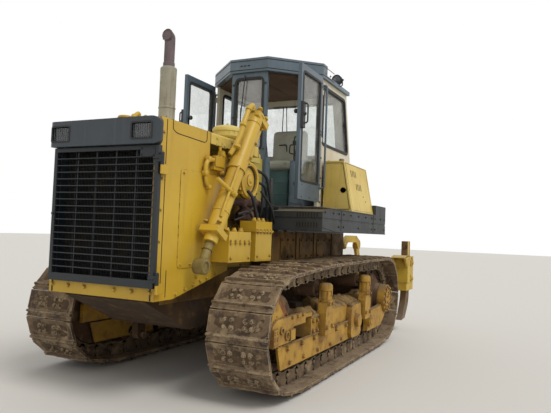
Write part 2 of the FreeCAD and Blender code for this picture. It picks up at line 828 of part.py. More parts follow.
def roller_post(x, lift):
    """A post on the frame's outer side that carries a roller: a wide foot and a round head."""
    shaft_z = carrier_z(x, lift)
    high = TRACK_Y + FRAME_HALF_WIDTH
    half = POST_WIDTH / 2
    foot = POST_FOOT_WIDTH / 2
    top = shaft_z + POST_TOP_RISE
    profile = (
        (x - foot, FRAME_BOTTOM_Z),
        (x + foot, FRAME_BOTTOM_Z),
        (x + foot, POST_FOOT_TOP_Z - foot),
        (x + half, POST_FOOT_TOP_Z),
        (x + half - POST_TAPER, top, POST_CORNER),
        (x - half + POST_TAPER, top, POST_CORNER),
        (x - half, POST_FOOT_TOP_Z),
        (x - foot, POST_FOOT_TOP_Z - foot),
    )
    return prism(profile, "y", high, high + POST_THICKNESS)


def rear_arm():
    """The arm back to the outer end of the sprocket's hub."""
    high = TRACK_Y + FRAME_HALF_WIDTH
    profile = (
        (REAR_ARM_FRONT_X, REAR_ARM_BOTTOM_Z),
        (REAR_ARM_FRONT_X, REAR_ARM_TOP_Z),
        (SPROCKET_X + HUB_RING_RADIUS, REAR_ARM_TOP_Z + REAR_ARM_RISE),
        (SPROCKET_X, SPROCKET_Z + REAR_ARM_REAR),
        (SPROCKET_X - REAR_ARM_REAR, SPROCKET_Z),
        (SPROCKET_X, SPROCKET_Z - REAR_ARM_DROP),
        (SPROCKET_X + HUB_RING_RADIUS, REAR_ARM_BOTTOM_Z),
    )
    arm = prism(profile, "y", high, high + REAR_ARM_PLATE)
    ring = rod("y", SPROCKET_X, SPROCKET_Z, high, high + REAR_ARM_PLATE + HUB_RING_PROUD, HUB_RING_RADIUS)
    cap_high = high + REAR_ARM_PLATE + SHAFT_CAP_PROUD
    cap = rod("y", SHAFT_CAP_X, SHAFT_CAP_Z, high, cap_high, SHAFT_CAP_RADIUS)
    return [arm, ring, cap]


def track_frame():
    """The left track frame: beam, rock guards, idler slides, posts, trunnion and rear arm."""
    low = TRACK_Y - FRAME_HALF_WIDTH
    high = TRACK_Y + FRAME_HALF_WIDTH
    parts = [box(FRAME_REAR_X, FRAME_FRONT_X, low, high, FRAME_BOTTOM_Z, FRAME_TOP_Z)]
    guard = (
        (ROCK_GUARD_REAR_X, ROCK_GUARD_BOTTOM_Z),
        (ROCK_GUARD_FRONT_X - ROCK_GUARD_SLANT, ROCK_GUARD_BOTTOM_Z),
        (ROCK_GUARD_FRONT_X, ROCK_GUARD_TOP_Z),
        (ROCK_GUARD_REAR_X, ROCK_GUARD_TOP_Z),
    )
    inner_guard = (
        (FRAME_REAR_X, ROCK_GUARD_BOTTOM_Z),
    ) + guard[1:3] + (
        (FRAME_REAR_X, ROCK_GUARD_TOP_Z),
    )
    parts.append(prism(guard, "y", high, high + ROCK_GUARD))
    parts.append(prism(inner_guard, "y", low - ROCK_GUARD, low))
    parts.append(box(CHEEK_REAR_X, FRAME_FRONT_X, high, high + ROCK_GUARD, ROCK_GUARD_TOP_Z, CHEEK_TOP_Z))
    parts.append(idler_block(low - IDLER_BLOCK, low))
    outer_block = idler_block(high, high + IDLER_BLOCK)
    for x, z, radius in IDLER_BLOCK_BORES:
        outer_block = outer_block.cut(rod("y", x, z, high, high + IDLER_BLOCK, radius))
    parts.append(outer_block)
    rail_top = IDLER_BLOCK_TOP_Z - IDLER_BLOCK_ARM * IDLER_BLOCK_RAIL[0]
    rail_bottom = IDLER_BLOCK_TOP_Z - IDLER_BLOCK_ARM * IDLER_BLOCK_RAIL[1]
    for y in (low - ROCK_GUARD, high):
        rail = box(FRAME_FRONT_X - ROCK_GUARD, IDLER_BLOCK_STEP_X, y, y + ROCK_GUARD, rail_bottom, rail_top)
        parts.append(rail)
    snout = (
        (IDLER_BLOCK_STEP_X + IDLER_BLOCK_ARM, IDLER_BLOCK_TOP_Z - IDLER_BLOCK_ARM / 2),
        (IDLER_BLOCK_FRONT_X, IDLER_BLOCK_TOP_Z - IDLER_BLOCK_ARM / 2),
        (IDLER_BLOCK_FRONT_X + IDLER_BLOCK_ARM / 2, IDLER_BLOCK_TOP_Z + IDLER_BLOCK_ARM / 2),
        (IDLER_BLOCK_FRONT_X - SNOUT_SETBACK, IDLER_BLOCK_TOP_Z + SNOUT_RISE),
    )
    parts.append(prism(snout, "y", high, high + SNOUT_PLATE))
    for x, lift in CARRIER_TABLE:
        parts.append(roller_post(x, lift))
    x0, x1, z0, z1 = TRUNNION_PAD
    pad_high = high + ROCK_GUARD + TRUNNION_PAD_PROUD
    corner = TRUNNION_PAD_CORNER
    pad = prism(((x0, z0, corner), (x1, z0, corner), (x1, z1, corner), (x0, z1, corner)), "y", high, pad_high)
    parts.append(pad)
    pin_high = pad_high + TRUNNION_PIN_LENGTH
    parts.append(rod("y", TRUNNION_PIN_X, TRUNNION_PIN_Z, high, pin_high, TRUNNION_PIN_RADIUS))
    return joined(parts + rear_arm())


def final_drive():
    """The left final drive: its case from the hull, and the bell outside the sprocket."""
    case_end = TRACK_Y - SPROCKET_WIDTH / 2
    bell_start = TRACK_Y + SPROCKET_WIDTH / 2
    outer_end = TRACK_Y + FRAME_HALF_WIDTH
    case = rod("y", SPROCKET_X, SPROCKET_Z, CASE_HALF_WIDTH, case_end, DRIVE_CASE_RADIUS)
    cone = Part.makeCone(
        DRIVE_BELL_RADIUS, DRIVE_HUB_RADIUS, DRIVE_BELL_LENGTH,
        vector(SPROCKET_X, bell_start, SPROCKET_Z), vector(0, 1, 0))
    hub = rod("y", SPROCKET_X, SPROCKET_Z, bell_start + DRIVE_BELL_LENGTH, outer_end, DRIVE_HUB_RADIUS)
    return [case, joined([cone, hub])]


# Hull

def main_frame():
    rails = []
    for side in (-1, 1):
        low = min(side * RAIL_INNER_Y, side * RAIL_OUTER_Y)
        high = low + RAIL_OUTER_Y - RAIL_INNER_Y
        rails.append(box(CASE_FRONT_X, RAIL_FRONT_X, low, high, RAIL_BOTTOM_Z, RAIL_TOP_Z))
    case = box(CASE_REAR_X, CASE_FRONT_X, -CASE_HALF_WIDTH, CASE_HALF_WIDTH, CASE_BOTTOM_Z, CASE_TOP_Z)
    crosses = []
    for x0, x1 in ((RAIL_FRONT_X - CROSS_BEAM, RAIL_FRONT_X), (BAR_X - BAR_WIDTH / 2, BAR_X + BAR_WIDTH / 2)):
        crosses.append(box(x0, x1, -RAIL_OUTER_Y, RAIL_OUTER_Y, RAIL_BOTTOM_Z, RAIL_TOP_Z))
    shaft_end = TRACK_Y - FRAME_HALF_WIDTH
    shaft = rod("y", PIVOT_SHAFT_X, PIVOT_SHAFT_Z, -shaft_end, shaft_end, PIVOT_SHAFT_RADIUS)
    block_rear = PIVOT_SHAFT_X - PIVOT_BLOCK / 2
    block_front = PIVOT_SHAFT_X + PIVOT_BLOCK / 2
    block = box(block_rear, block_front, -CASE_HALF_WIDTH, CASE_HALF_WIDTH, PIVOT_BLOCK_BOTTOM_Z, RAIL_TOP_Z)
    outer = FENDER_INNER_Y
    housing = box(CASE_REAR_X, HOUSING_FRONT_X, -outer, outer, RAIL_TOP_Z, CASE_TOP_Z)
    parts = crosses + [case, shaft, block, housing]
    for side in (-1, 1):
        low = min(side * outer, side * (outer - HOUSING_LIP))
        parts.append(box(HOUSING_FRONT_X, HOUSING_LIP_X, low, low + HOUSING_LIP, RAIL_TOP_Z, CASE_TOP_Z))
        for x in HOUSING_RIB_XS:
            rib_low = min(side * outer, side * (outer + HOUSING_RIB_PROUD))
            rib_high = rib_low + HOUSING_RIB_PROUD
            half = HOUSING_RIB / 2
            parts.append(box(x - half, x + half, rib_low, rib_high, RAIL_TOP_Z, CASE_TOP_Z))
    return joined(rails + parts)


def equalizer_bar():
    """A cross bar that rests on both track frames and carries the rails."""
    shoulder_z = FRAME_TOP_Z + BAR_END_HEIGHT
    profile = (
        (-BAR_HALF_LENGTH, FRAME_TOP_Z),
        (BAR_HALF_LENGTH, FRAME_TOP_Z),
        (BAR_HALF_LENGTH, shoulder_z),
        (BAR_SHOULDER_Y, shoulder_z),
        (RAIL_OUTER_Y, RAIL_BOTTOM_Z),
        (-RAIL_OUTER_Y, RAIL_BOTTOM_Z),
        (-BAR_SHOULDER_Y, shoulder_z),
        (-BAR_HALF_LENGTH, shoulder_z),
    )
    return prism(profile, "x", BAR_X - BAR_WIDTH / 2, BAR_X + BAR_WIDTH / 2)


def under_guard():
    """A pan hung from the rails; its front plate slopes up to the nose and bears a pull hook."""
    front_x = GUARD_FACE_X - PAN_LIP
    profile = (
        (PAN_REAR_X, PAN_BOTTOM_Z),
        (PAN_BEND_X, PAN_BOTTOM_Z),
        (front_x, NOSE_BOTTOM_Z - PAN_PLATE),
        (front_x, NOSE_BOTTOM_Z),
        (RAIL_FRONT_X, NOSE_BOTTOM_Z),
        (RAIL_FRONT_X, RAIL_BOTTOM_Z),
        (PAN_REAR_X, RAIL_BOTTOM_Z),
    )
    half = RAIL_OUTER_Y
    solid = prism(profile, "y", -half, half)
    hollow = prism((
        (PAN_REAR_X, PAN_BOTTOM_Z + PAN_PLATE),
        (PAN_BEND_X - PAN_PLATE / 2, PAN_BOTTOM_Z + PAN_PLATE),
        (RAIL_FRONT_X - PAN_LIP, RAIL_BOTTOM_Z - PAN_PLATE),
        (RAIL_FRONT_X - PAN_LIP, RAIL_BOTTOM_Z),
        (PAN_REAR_X, RAIL_BOTTOM_Z),
    ), "y", -half + PAN_PLATE, half - PAN_PLATE)
    reach = BAR_WIDTH / 2 + BAR_CLEARANCE
    slot = box(BAR_X - reach, BAR_X + reach, -half, half, FRAME_TOP_Z - BAR_CLEARANCE, RAIL_BOTTOM_Z)
    hook = prism((
        (HOOK_X - HOOK_RADIUS, PAN_BOTTOM_Z),
        (HOOK_X - HOOK_RADIUS, HOOK_BOTTOM_Z, HOOK_ROUND),
        (HOOK_X + HOOK_RADIUS, HOOK_BOTTOM_Z, HOOK_ROUND),
        (HOOK_X + HOOK_RADIUS, PAN_BOTTOM_Z),
    ), "y", HOOK_Y - HOOK_WIDTH / 2, HOOK_Y + HOOK_WIDTH / 2)
    return joined([solid.cut(hollow).cut(slot), hook])


def engine_block():
    return box(ENGINE_REAR_X, ENGINE_FRONT_X, -ENGINE_HALF_WIDTH, ENGINE_HALF_WIDTH, RAIL_TOP_Z, ENGINE_TOP_Z)


def radiator_core():
    half = NOSE_HALF_WIDTH - NOSE_WALL
    rear = RAIL_FRONT_X + RADIATOR_GAP
    return box(rear, rear + RADIATOR_DEPTH, -half, half, NOSE_BOTTOM_Z + NOSE_WALL, NOSE_TOP_Z - NOSE_WALL)


def hinge_x():
    """Where the grille door's hinge line stands."""
    return GUARD_FACE_X + GRILLE_GAP + GRILLE_PROUD / 2


def radiator_guard():
    """Side plates, top, bottom and the front frame round the grille's opening."""
    side = (
        (GUARD_FACE_X, NOSE_BOTTOM_Z),
        (GUARD_FACE_X, NOSE_TOP_Z),
        (NOSE_REAR_X, NOSE_TOP_Z),
        (NOSE_REAR_X, NOSE_EAR_TOP_Z),
        (NOSE_EAR_REAR_X, NOSE_EAR_TOP_Z),
        (NOSE_EAR_REAR_X, NOSE_SKIRT_TOP_Z),
        (NOSE_SKIRT_REAR_X, NOSE_SKIRT_TOP_Z - NOSE_SKIRT_CUT),
        (NOSE_SKIRT_REAR_X, RAIL_TOP_Z),
        (RAIL_FRONT_X, NOSE_BOTTOM_Z),
    )
    block = prism(side, "y", -NOSE_HALF_WIDTH, NOSE_HALF_WIDTH)
    inner = NOSE_HALF_WIDTH - NOSE_WALL
    low = NOSE_BOTTOM_Z + NOSE_WALL
    seat_x = RAIL_FRONT_X + NOSE_SEAT
    hollow = box(seat_x, GUARD_FACE_X - NOSE_FRAME, -inner, inner, low, NOSE_TOP_Z - NOSE_WALL)
    rear = box(
        NOSE_SKIRT_REAR_X - CUT_OVER, seat_x, -inner, inner,
        NOSE_BOTTOM_Z - CUT_OVER, NOSE_TOP_Z - NOSE_WALL)
    window = box(
        GUARD_FACE_X - NOSE_FRAME - CUT_OVER, GUARD_FACE_X + CUT_OVER,
        -GRILLE_OPENING_HALF, GRILLE_OPENING_HALF,
        GRILLE_OPENING_BOTTOM_Z, GRILLE_OPENING_TOP_Z)
    corner = NOSE_PANEL_CORNER
    panel_front = GUARD_FACE_X - NOSE_PANEL_FRONT_SETBACK
    panel = prism((
        (NOSE_PANEL_REAR_X, NOSE_PANEL_BOTTOM_Z, corner),
        (panel_front, NOSE_PANEL_BOTTOM_Z, corner),
        (panel_front, NOSE_PANEL_TOP_Z, corner),
        (NOSE_PANEL_REAR_X, NOSE_PANEL_TOP_Z, corner),
    ), "y", NOSE_HALF_WIDTH, NOSE_HALF_WIDTH + NOSE_PANEL)
    panels = [panel, mirrored(panel)]
    lugs = []
    for z in HINGE_ZS:
        low_z = z - HINGE_LENGTH / 2 - HINGE_LENGTH
        high_z = low_z + HINGE_LENGTH
        pin_x = hinge_x()
        foot = box(GUARD_FACE_X - HINGE_FOOT, GUARD_FACE_X, NOSE_HALF_WIDTH, HINGE_Y, low_z, high_z)
        tongue = box(GUARD_FACE_X, pin_x, HINGE_Y - HINGE_TONGUE, HINGE_Y, low_z, high_z)
        lugs += [foot, tongue, rod("z", pin_x, HINGE_Y, low_z, high_z, HINGE_RADIUS)]
    return joined([block.cut(hollow).cut(rear).cut(window)] + panels + lugs)


def lamp_pocket(y, depth):
    front = GUARD_FACE_X + BAND_PROUD
    middle = (BAND_BOTTOM_Z + BAND_TOP_Z) / 2
    half_width = LAMP_WIDTH / 2
    low_z = middle - LAMP_HEIGHT / 2
    return box(front - depth, front + CUT_OVER, y - half_width, y + half_width, low_z, low_z + LAMP_HEIGHT)


def nose_band():
    """The cover over the grille, round at both ends, with two lamp pockets."""
    front = GUARD_FACE_X + BAND_PROUD
    plan = (
        (GUARD_FACE_X, -BAND_HALF_WIDTH),
        (front, -BAND_HALF_WIDTH, BAND_CORNER),
        (front, BAND_HALF_WIDTH, BAND_CORNER),
        (GUARD_FACE_X, BAND_HALF_WIDTH),
    )
    corner = BAND_FACE_CORNER
    face = (
        (-BAND_HALF_WIDTH, BAND_BOTTOM_Z, corner),
        (BAND_HALF_WIDTH, BAND_BOTTOM_Z, corner),
        (BAND_HALF_WIDTH, BAND_TOP_Z, corner),
        (-BAND_HALF_WIDTH, BAND_TOP_Z, corner),
    )
    band = prism(plan, "z", BAND_BOTTOM_Z, BAND_TOP_Z)
    band = band.common(prism(face, "x", GUARD_FACE_X, front))
    for side in (-1, 1):
        band = band.cut(lamp_pocket(side * LAMP_Y, LAMP_RECESS))
    return band


def head_lamps():
    front = GUARD_FACE_X + BAND_PROUD
    middle = (BAND_BOTTOM_Z + BAND_TOP_Z) / 2
    back = front - LAMP_RECESS
    half_width = LAMP_WIDTH / 2 - LAMP_SEAM
    half_height = LAMP_HEIGHT / 2 - LAMP_SEAM
    lamp = box(
        back, back + LAMP_DEPTH, LAMP_Y - half_width, LAMP_Y + half_width,
        middle - half_height, middle + half_height)
    return both_sides(lamp)


def grille_door():
    """A hinged frame of thin bars in front of the radiator."""
    back = GUARD_FACE_X + GRILLE_GAP
    front = back + GRILLE_PROUD
    frame = box(back, front, GRILLE_RIGHT_Y, GRILLE_LEFT_Y, GRILLE_BOTTOM_Z, GRILLE_TOP_Z)
    inner_low = GRILLE_RIGHT_Y + GRILLE_FRAME
    inner_high = GRILLE_LEFT_Y - GRILLE_FRAME
    bottom = GRILLE_BOTTOM_Z + GRILLE_BOTTOM_RAIL
    top = GRILLE_TOP_Z - GRILLE_FRAME
    frame = frame.cut(box(back - CUT_OVER, front + CUT_OVER, inner_low, inner_high, bottom, top))
    middle = (back + front) / 2
    parts = [frame]
    bar_step = (top - bottom) / (GRILLE_BAR_COUNT + 1)
    for i in range(GRILLE_BAR_COUNT):
        z = bottom + (i + 1) * bar_step
        bar_back = back + GRILLE_BAR_SETBACK
        bar_front = bar_back + GRILLE_BAR_DEPTH
        parts.append(box(bar_back, bar_front, inner_low, inner_high, z - GRILLE_BAR / 2, z + GRILLE_BAR / 2))
    divider_step = (inner_high - inner_low) / (GRILLE_DIVIDER_COUNT + 1)
    for i in range(GRILLE_DIVIDER_COUNT):
        y = inner_low + (i + 1) * divider_step
        half = GRILLE_DIVIDER / 2
        start = back + GRILLE_DIVIDER_START
        parts.append(box(start, start + GRILLE_DIVIDER_DEPTH, y - half, y + half, bottom, top))
    for z in HINGE_ZS:
        low = z - HINGE_LENGTH / 2 + RUNNING_GAP
        high = z + HINGE_LENGTH / 2
        strap = box(middle - HINGE_STRAP / 2, middle + HINGE_STRAP / 2, GRILLE_LEFT_Y, HINGE_Y, low, high)
        parts += [strap, rod("z", middle, HINGE_Y, low, high, HINGE_RADIUS)]
    return joined(parts)


def hood_length(half, rear, front):
    """A crowned plate with side strips, of one half width."""
    inner = half - HOOD_PLATE
    profile = (
        (-half, HOOD_SIDE_BOTTOM_Z),
        (-half, NOSE_TOP_Z, HOOD_EDGE),
        (-HOOD_CROWN_HALF, NOSE_TOP_Z + HOOD_CROWN),
        (HOOD_CROWN_HALF, NOSE_TOP_Z + HOOD_CROWN),
        (half, NOSE_TOP_Z, HOOD_EDGE),
        (half, HOOD_SIDE_BOTTOM_Z),
        (inner, HOOD_SIDE_BOTTOM_Z),
        (inner, NOSE_TOP_Z - HOOD_PLATE),
        (-inner, NOSE_TOP_Z - HOOD_PLATE),
        (-inner, HOOD_SIDE_BOTTOM_Z),
    )
    return prism(profile, "x", rear, front)


def hood():
    """The cover from the nose back to the cab, narrower over its rear half, and the cowl."""
    wide = hood_length(NOSE_HALF_WIDTH, HOOD_STEP_X, NOSE_REAR_X)
    narrow = hood_length(HOOD_NARROW_HALF, HOOD_REAR_X, HOOD_STEP_X)
    inner = NOSE_HALF_WIDTH - HOOD_PLATE
    end = box(
        HOOD_STEP_X, HOOD_STEP_X + HOOD_PLATE, -inner, inner,
        HOOD_SIDE_BOTTOM_Z, NOSE_TOP_Z - HOOD_PLATE)
    half = COWL_HALF_WIDTH
    cowl_top = NOSE_TOP_Z - HOOD_PLATE
    cowl = box(CAB_FRONT_X, HOOD_REAR_X, -half, half, CAB_FLOOR_Z + CAB_FLOOR_PLATE, cowl_top)
    wall = box(HOOD_REAR_X, HOOD_REAR_X + HOOD_PLATE, -half, half, COWL_BOTTOM_Z, cowl_top)
    return joined([wide, narrow, end, cowl, wall])


def exhaust_stack():
    top = NOSE_TOP_Z + HOOD_CROWN
    muffler = rod("z", STACK_X, 0, top, MUFFLER_TOP_Z, MUFFLER_RADIUS)
    upper = rod("z", STACK_X, 0, MUFFLER_TOP_Z, PIPE_TOP_Z, PIPE_RADIUS)
    tip = rod("x", 0, PIPE_TOP_Z, STACK_X - TIP_RADIUS, STACK_X - TIP_RADIUS + TIP_LENGTH, TIP_RADIUS)
    mouth = rod("x", 0, PIPE_TOP_Z, STACK_X, STACK_X - TIP_RADIUS + TIP_LENGTH, TIP_RADIUS - TIP_WALL)
    return joined([muffler, upper, tip]).cut(mouth)


def precleaner():
    neck = rod("z", DISC_X, DISC_Y, NOSE_TOP_Z + HOOD_CROWN, DISC_BOTTOM_Z, DISC_NECK_RADIUS)
    disc = rod("z", DISC_X, DISC_Y, DISC_BOTTOM_Z, DISC_BOTTOM_Z + DISC_HEIGHT, DISC_RADIUS)
    top = vector(DISC_X, DISC_Y, DISC_BOTTOM_Z + DISC_HEIGHT)
    dome = Part.makeCone(DISC_RADIUS, DISC_DOME_RADIUS, DISC_DOME, top, vector(0, 0, 1))
    return joined([neck, disc, dome])


def air_cleaner():
    """A round canister across the machine; its outer end is dished round a hub."""
    x, z = CLEANER_X, CLEANER_Z
    body = rod("y", x, z, CLEANER_INNER_Y, CLEANER_OUTER_Y, CLEANER_RADIUS)
    floor = CLEANER_OUTER_Y - CLEANER_DISH
    dish = rod("y", x, z, floor, CLEANER_OUTER_Y + CUT_OVER, CLEANER_RADIUS - CLEANER_RIM)
    hub = rod("y", x, z, floor, CLEANER_OUTER_Y, CLEANER_HUB_RADIUS)
    return joined([body.cut(dish), hub])


def side_boxes():
    """Boxes over each track: one on a shelf from its rail, one on the nose's skirt."""
    parts = []
    for rear, front, bottom, top, shelved in BOX_TABLE:
        case = box(rear, front, BOX_INNER_Y, BOX_OUTER_Y, bottom, top)
        flange_top = top - BOX_FLANGE_DROP
        flange = box(
            rear - BOX_FLANGE_PROUD, front + BOX_FLANGE_PROUD, BOX_INNER_Y, BOX_OUTER_Y + BOX_FLANGE_PROUD,
            flange_top - BOX_FLANGE, flange_top)
        if not shelved:
            parts.append(case)
            continue
        seat_y = RAIL_OUTER_Y - SHELF_SEAT
        shelf = box(rear, front, seat_y, BOX_OUTER_Y, bottom - SHELF, bottom)
        leg = box(rear, front, seat_y, seat_y + SHELF, RAIL_TOP_Z, bottom - SHELF)
        parts.append(joined([case, flange, shelf, leg]))
    return Part.makeCompound(parts + [mirrored(part) for part in parts])


# Lift cylinders

def cylinder_tube():
    """The left tube, drawn upright on its trunnion and then tilted."""
    x, z = TRUNNION_X, TRUNNION_Z
    y = CYLINDER_Y
    half = GLAND_HALF
    end = z - GLAND_LENGTH
    block_half = HEAD_BLOCK / 2
    head_z = z + HEAD_LENGTH
    body = rod("z", x, y, end, head_z, TUBE_RADIUS)
    gland = box(x - half, x + half, y - half, y + half, end, end + GLAND_THICKNESS)
    boss = rod("z", x, y, end - GLAND_BOSS_LENGTH, end, GLAND_BOSS_RADIUS)
    head = box(
        x - FEED_OFFSET - FEED_RADIUS, x + block_half, y - block_half, y + block_half,
        head_z - HEAD_BLOCK_HEIGHT, head_z)
    collar = rod("z", x, y, z - TRUNNION_COLLAR_LENGTH / 2, z + TRUNNION_COLLAR_LENGTH / 2, TRUNNION_COLLAR)
    pin = rod("y", x, z, NOSE_HALF_WIDTH + CUT_OVER, y, TRUNNION_RADIUS)
    feed = rod("z", x - FEED_OFFSET, y, z + FEED_START, z + FEED_END, FEED_RADIUS)
    low = z + FEED_START
    stay = box(
        x - FEED_OFFSET, x, y - FEED_RADIUS / 2, y + FEED_RADIUS / 2,
        low, low + HEAD_BLOCK_HEIGHT)
    bore_start = end - GLAND_BOSS_LENGTH - CUT_OVER
    bore = rod("z", x, y, bore_start, z + ROD_TOP_LENGTH + BORE_HEADROOM, ROD_RADIUS + SHAFT_FIT)
    return turned(joined([body, gland, boss, head, collar, pin, feed, stay]).cut(bore), x, z, -CYLINDER_TILT)


def cylinder_rod():
    x, z = TRUNNION_X, TRUNNION_Z
    bar = rod("z", x, CYLINDER_Y, z - ROD_EYE_LENGTH, z + ROD_TOP_LENGTH, ROD_RADIUS)
    half = EYE_WIDTH / 2
    eye = rod("y", x, z - ROD_EYE_LENGTH, CYLINDER_Y - half, CYLINDER_Y + half, EYE_RADIUS)
    hole = rod("y", x, z - ROD_EYE_LENGTH, CYLINDER_Y - half, CYLINDER_Y + half, EYE_BORE)
    return turned(joined([bar, eye]).cut(hole), x, z, -CYLINDER_TILT)


def yoke():
    """The left bearing block: bolted to the nose's side, with a bore for the trunnion."""
    x, z = TRUNNION_X, TRUNNION_Z
    rear = x - YOKE_REAR
    front = x + YOKE_FRONT
    profile = (
        (rear, z - YOKE_BELOW),
        (front - YOKE_SHOULDER, z - YOKE_BELOW),
        (front, z - YOKE_BELOW + YOKE_SHOULDER),
        (front, z + YOKE_ABOVE - YOKE_SHOULDER),
        (front - YOKE_SHOULDER, z + YOKE_ABOVE),
        (x + YOKE_NOTCH, z + YOKE_ABOVE),
        (x + YOKE_NOTCH / 2, z + YOKE_NOTCH),
        (x - YOKE_NOTCH / 2, z + YOKE_NOTCH),
        (rear, z + YOKE_ABOVE),
    )
    high = CYLINDER_Y - TRUNNION_COLLAR - YOKE_GAP
    bore = rod("y", x, z, NOSE_HALF_WIDTH, high, TRUNNION_RADIUS + SHAFT_FIT)
    return prism(profile, "y", NOSE_HALF_WIDTH, high).cut(bore)


# Fenders

def fender():
    """The left fender: a pan open below, its skirt, and the raised box at its rear."""
    top_front = FENDER_TOP_Z - FENDER_FRONT_DROP
    profile = (
        (FENDER_FRONT_X, FENDER_BOTTOM_Z),
        (FENDER_FRONT_X, top_front),
        (FENDER_FRONT_X - FENDER_SLOPE, FENDER_TOP_Z),
        (END_BOX_REAR_X, FENDER_TOP_Z),
        (END_BOX_REAR_X, FENDER_BOTTOM_Z),
    )
    shell = prism(profile, "y", FENDER_INNER_Y, FENDER_INNER_Y + FENDER_WIDTH)
    end_inner = CAB_HALF_WIDTH + END_BOX_GAP
    outer = FENDER_INNER_Y + FENDER_WIDTH
    end_box = box(END_BOX_REAR_X, FENDER_REAR_X, end_inner, outer, FENDER_TOP_Z, END_BOX_TOP_Z)
    wall = FENDER_WALL
    hollow = prism((
        (FENDER_FRONT_X - wall, FENDER_BOTTOM_Z - CUT_OVER),
        (FENDER_FRONT_X - wall, top_front - wall),
        (FENDER_FRONT_X - FENDER_SLOPE, FENDER_TOP_Z - wall),
        (END_BOX_REAR_X + wall, FENDER_TOP_Z - wall),
        (END_BOX_REAR_X + wall, FENDER_BOTTOM_Z - CUT_OVER),
    ), "y", FENDER_INNER_Y + wall, outer - wall)
    low = FENDER_GROOVE_Z
    high = low + FENDER_GROOVE
    depth = FENDER_GROOVE_DEPTH
    front = FENDER_FRONT_X
    cuts = [
        box(END_BOX_REAR_X - CUT_OVER, front + CUT_OVER, outer - depth, outer + CUT_OVER, low, high),
        box(front - depth, front + CUT_OVER, FENDER_INNER_Y - CUT_OVER, outer + CUT_OVER, low, high),
    ]
    for i in range(FENDER_SLOT_COUNT):
        y = FENDER_SLOT_Y + i * FENDER_SLOT_PITCH
        for z in FENDER_SLOT_ZS:
            top = z + FENDER_SLOT_HEIGHT
            cuts.append(box(front - wall - CUT_OVER, front + CUT_OVER, y, y + FENDER_SLOT, z, top))
    return shell.fuse(end_box).cut(hollow).cut(Part.makeCompound(cuts)).removeSplitter()


# Cab

def cab_plan(over, rear_limit):
    """An outline with a narrow front, two slanting door sides and straight flanks."""
    return (
        (CAB_FRONT_X + over, -CAB_FRONT_HALF - over * PLAN_SLANT),
        (CAB_FRONT_X + over, CAB_FRONT_HALF + over * PLAN_SLANT),
        (CAB_POST_X + over * PLAN_SLANT, CAB_HALF_WIDTH + over),
        (rear_limit, CAB_HALF_WIDTH + over),
        (rear_limit, -CAB_HALF_WIDTH - over),
        (CAB_POST_X + over * PLAN_SLANT, -CAB_HALF_WIDTH - over),
    )


def cab_floor():
    """The deck between the fenders, on the hull, with the sill round the cab."""
    deck = prism(cab_plan(0, CAB_REAR_X), "z", CAB_FLOOR_Z, CAB_FLOOR_Z + CAB_FLOOR_PLATE)
    pedestal = box(CASE_REAR_X, HOUSING_FRONT_X, -FENDER_INNER_Y, FENDER_INNER_Y, CASE_TOP_Z, CAB_FLOOR_Z)
    return joined([deck, pedestal])


def front_window(low, high):
    """The front window's shape between two planes."""
    half = FRONT_WINDOW_HALF
    corner = WINDOW_CORNER
    return prism((
        (-half, FRONT_WINDOW_BOTTOM_Z, corner),
        (half, FRONT_WINDOW_BOTTOM_Z, corner),
        (half, FRONT_WINDOW_TOP_Z, corner),
        (-half, FRONT_WINDOW_TOP_Z, corner),
    ), "x", low, high)


def cab_front():
    """The narrow front wall with its window."""
    low = CAB_FLOOR_Z + CAB_FLOOR_PLATE
    wall = box(CAB_FRONT_X - CAB_WALL, CAB_FRONT_X, -CAB_FRONT_HALF, CAB_FRONT_HALF, low, CAB_EAVE_Z)
    return wall.cut(front_window(CAB_FRONT_X - CAB_WALL - CUT_OVER, CAB_FRONT_X + CUT_OVER))


def rear_x(z):
    """Where the cab's rear face stands at a height above its bend."""
    if z <= CAB_BEND_Z:
        return CAB_REAR_X
    share = (z - CAB_BEND_Z) / (CAB_EAVE_Z - CAB_BEND_Z)
    return CAB_REAR_X + (CAB_REAR_TOP_X - CAB_REAR_X) * share


def side_window(low, high):
    bottom = SIDE_WINDOW_BOTTOM_Z
    top = SIDE_WINDOW_TOP_Z
    return prism((
        (SIDE_WINDOW_FRONT_X, bottom, WINDOW_CORNER),
        (SIDE_WINDOW_FRONT_X, top, WINDOW_CORNER),
        (rear_x(top) + SIDE_WINDOW_MARGIN, top, WINDOW_CORNER),
        (rear_x(bottom) + SIDE_WINDOW_MARGIN, bottom, WINDOW_CORNER),
    ), "y", low, high)


def cab_side():
    """The left flank, from the door post back, with its window."""
    low = CAB_FLOOR_Z + CAB_FLOOR_PLATE
    wall = prism((
        (CAB_POST_X, low),
        (CAB_POST_X, CAB_EAVE_Z),
        (CAB_REAR_TOP_X, CAB_EAVE_Z),
        (CAB_REAR_X, CAB_BEND_Z),
        (CAB_REAR_X, low),
    ), "y", CAB_HALF_WIDTH - CAB_WALL, CAB_HALF_WIDTH)
    parts = [wall.cut(side_window(CAB_HALF_WIDTH - CAB_WALL - CUT_OVER, CAB_HALF_WIDTH + CUT_OVER))]
    x, y = door_hinge()
    for z in DOOR_HINGE_ZS:
        low_z = z - RUNNING_GAP - DOOR_HINGE_LENGTH
        high_z = z - RUNNING_GAP
        parts.append(box(CAB_POST_X - DOOR_FOOT, x, CAB_HALF_WIDTH, y, low_z, high_z))
        parts.append(rod("z", x, y, low_z, high_z, DOOR_HINGE_RADIUS))
    return joined(parts)


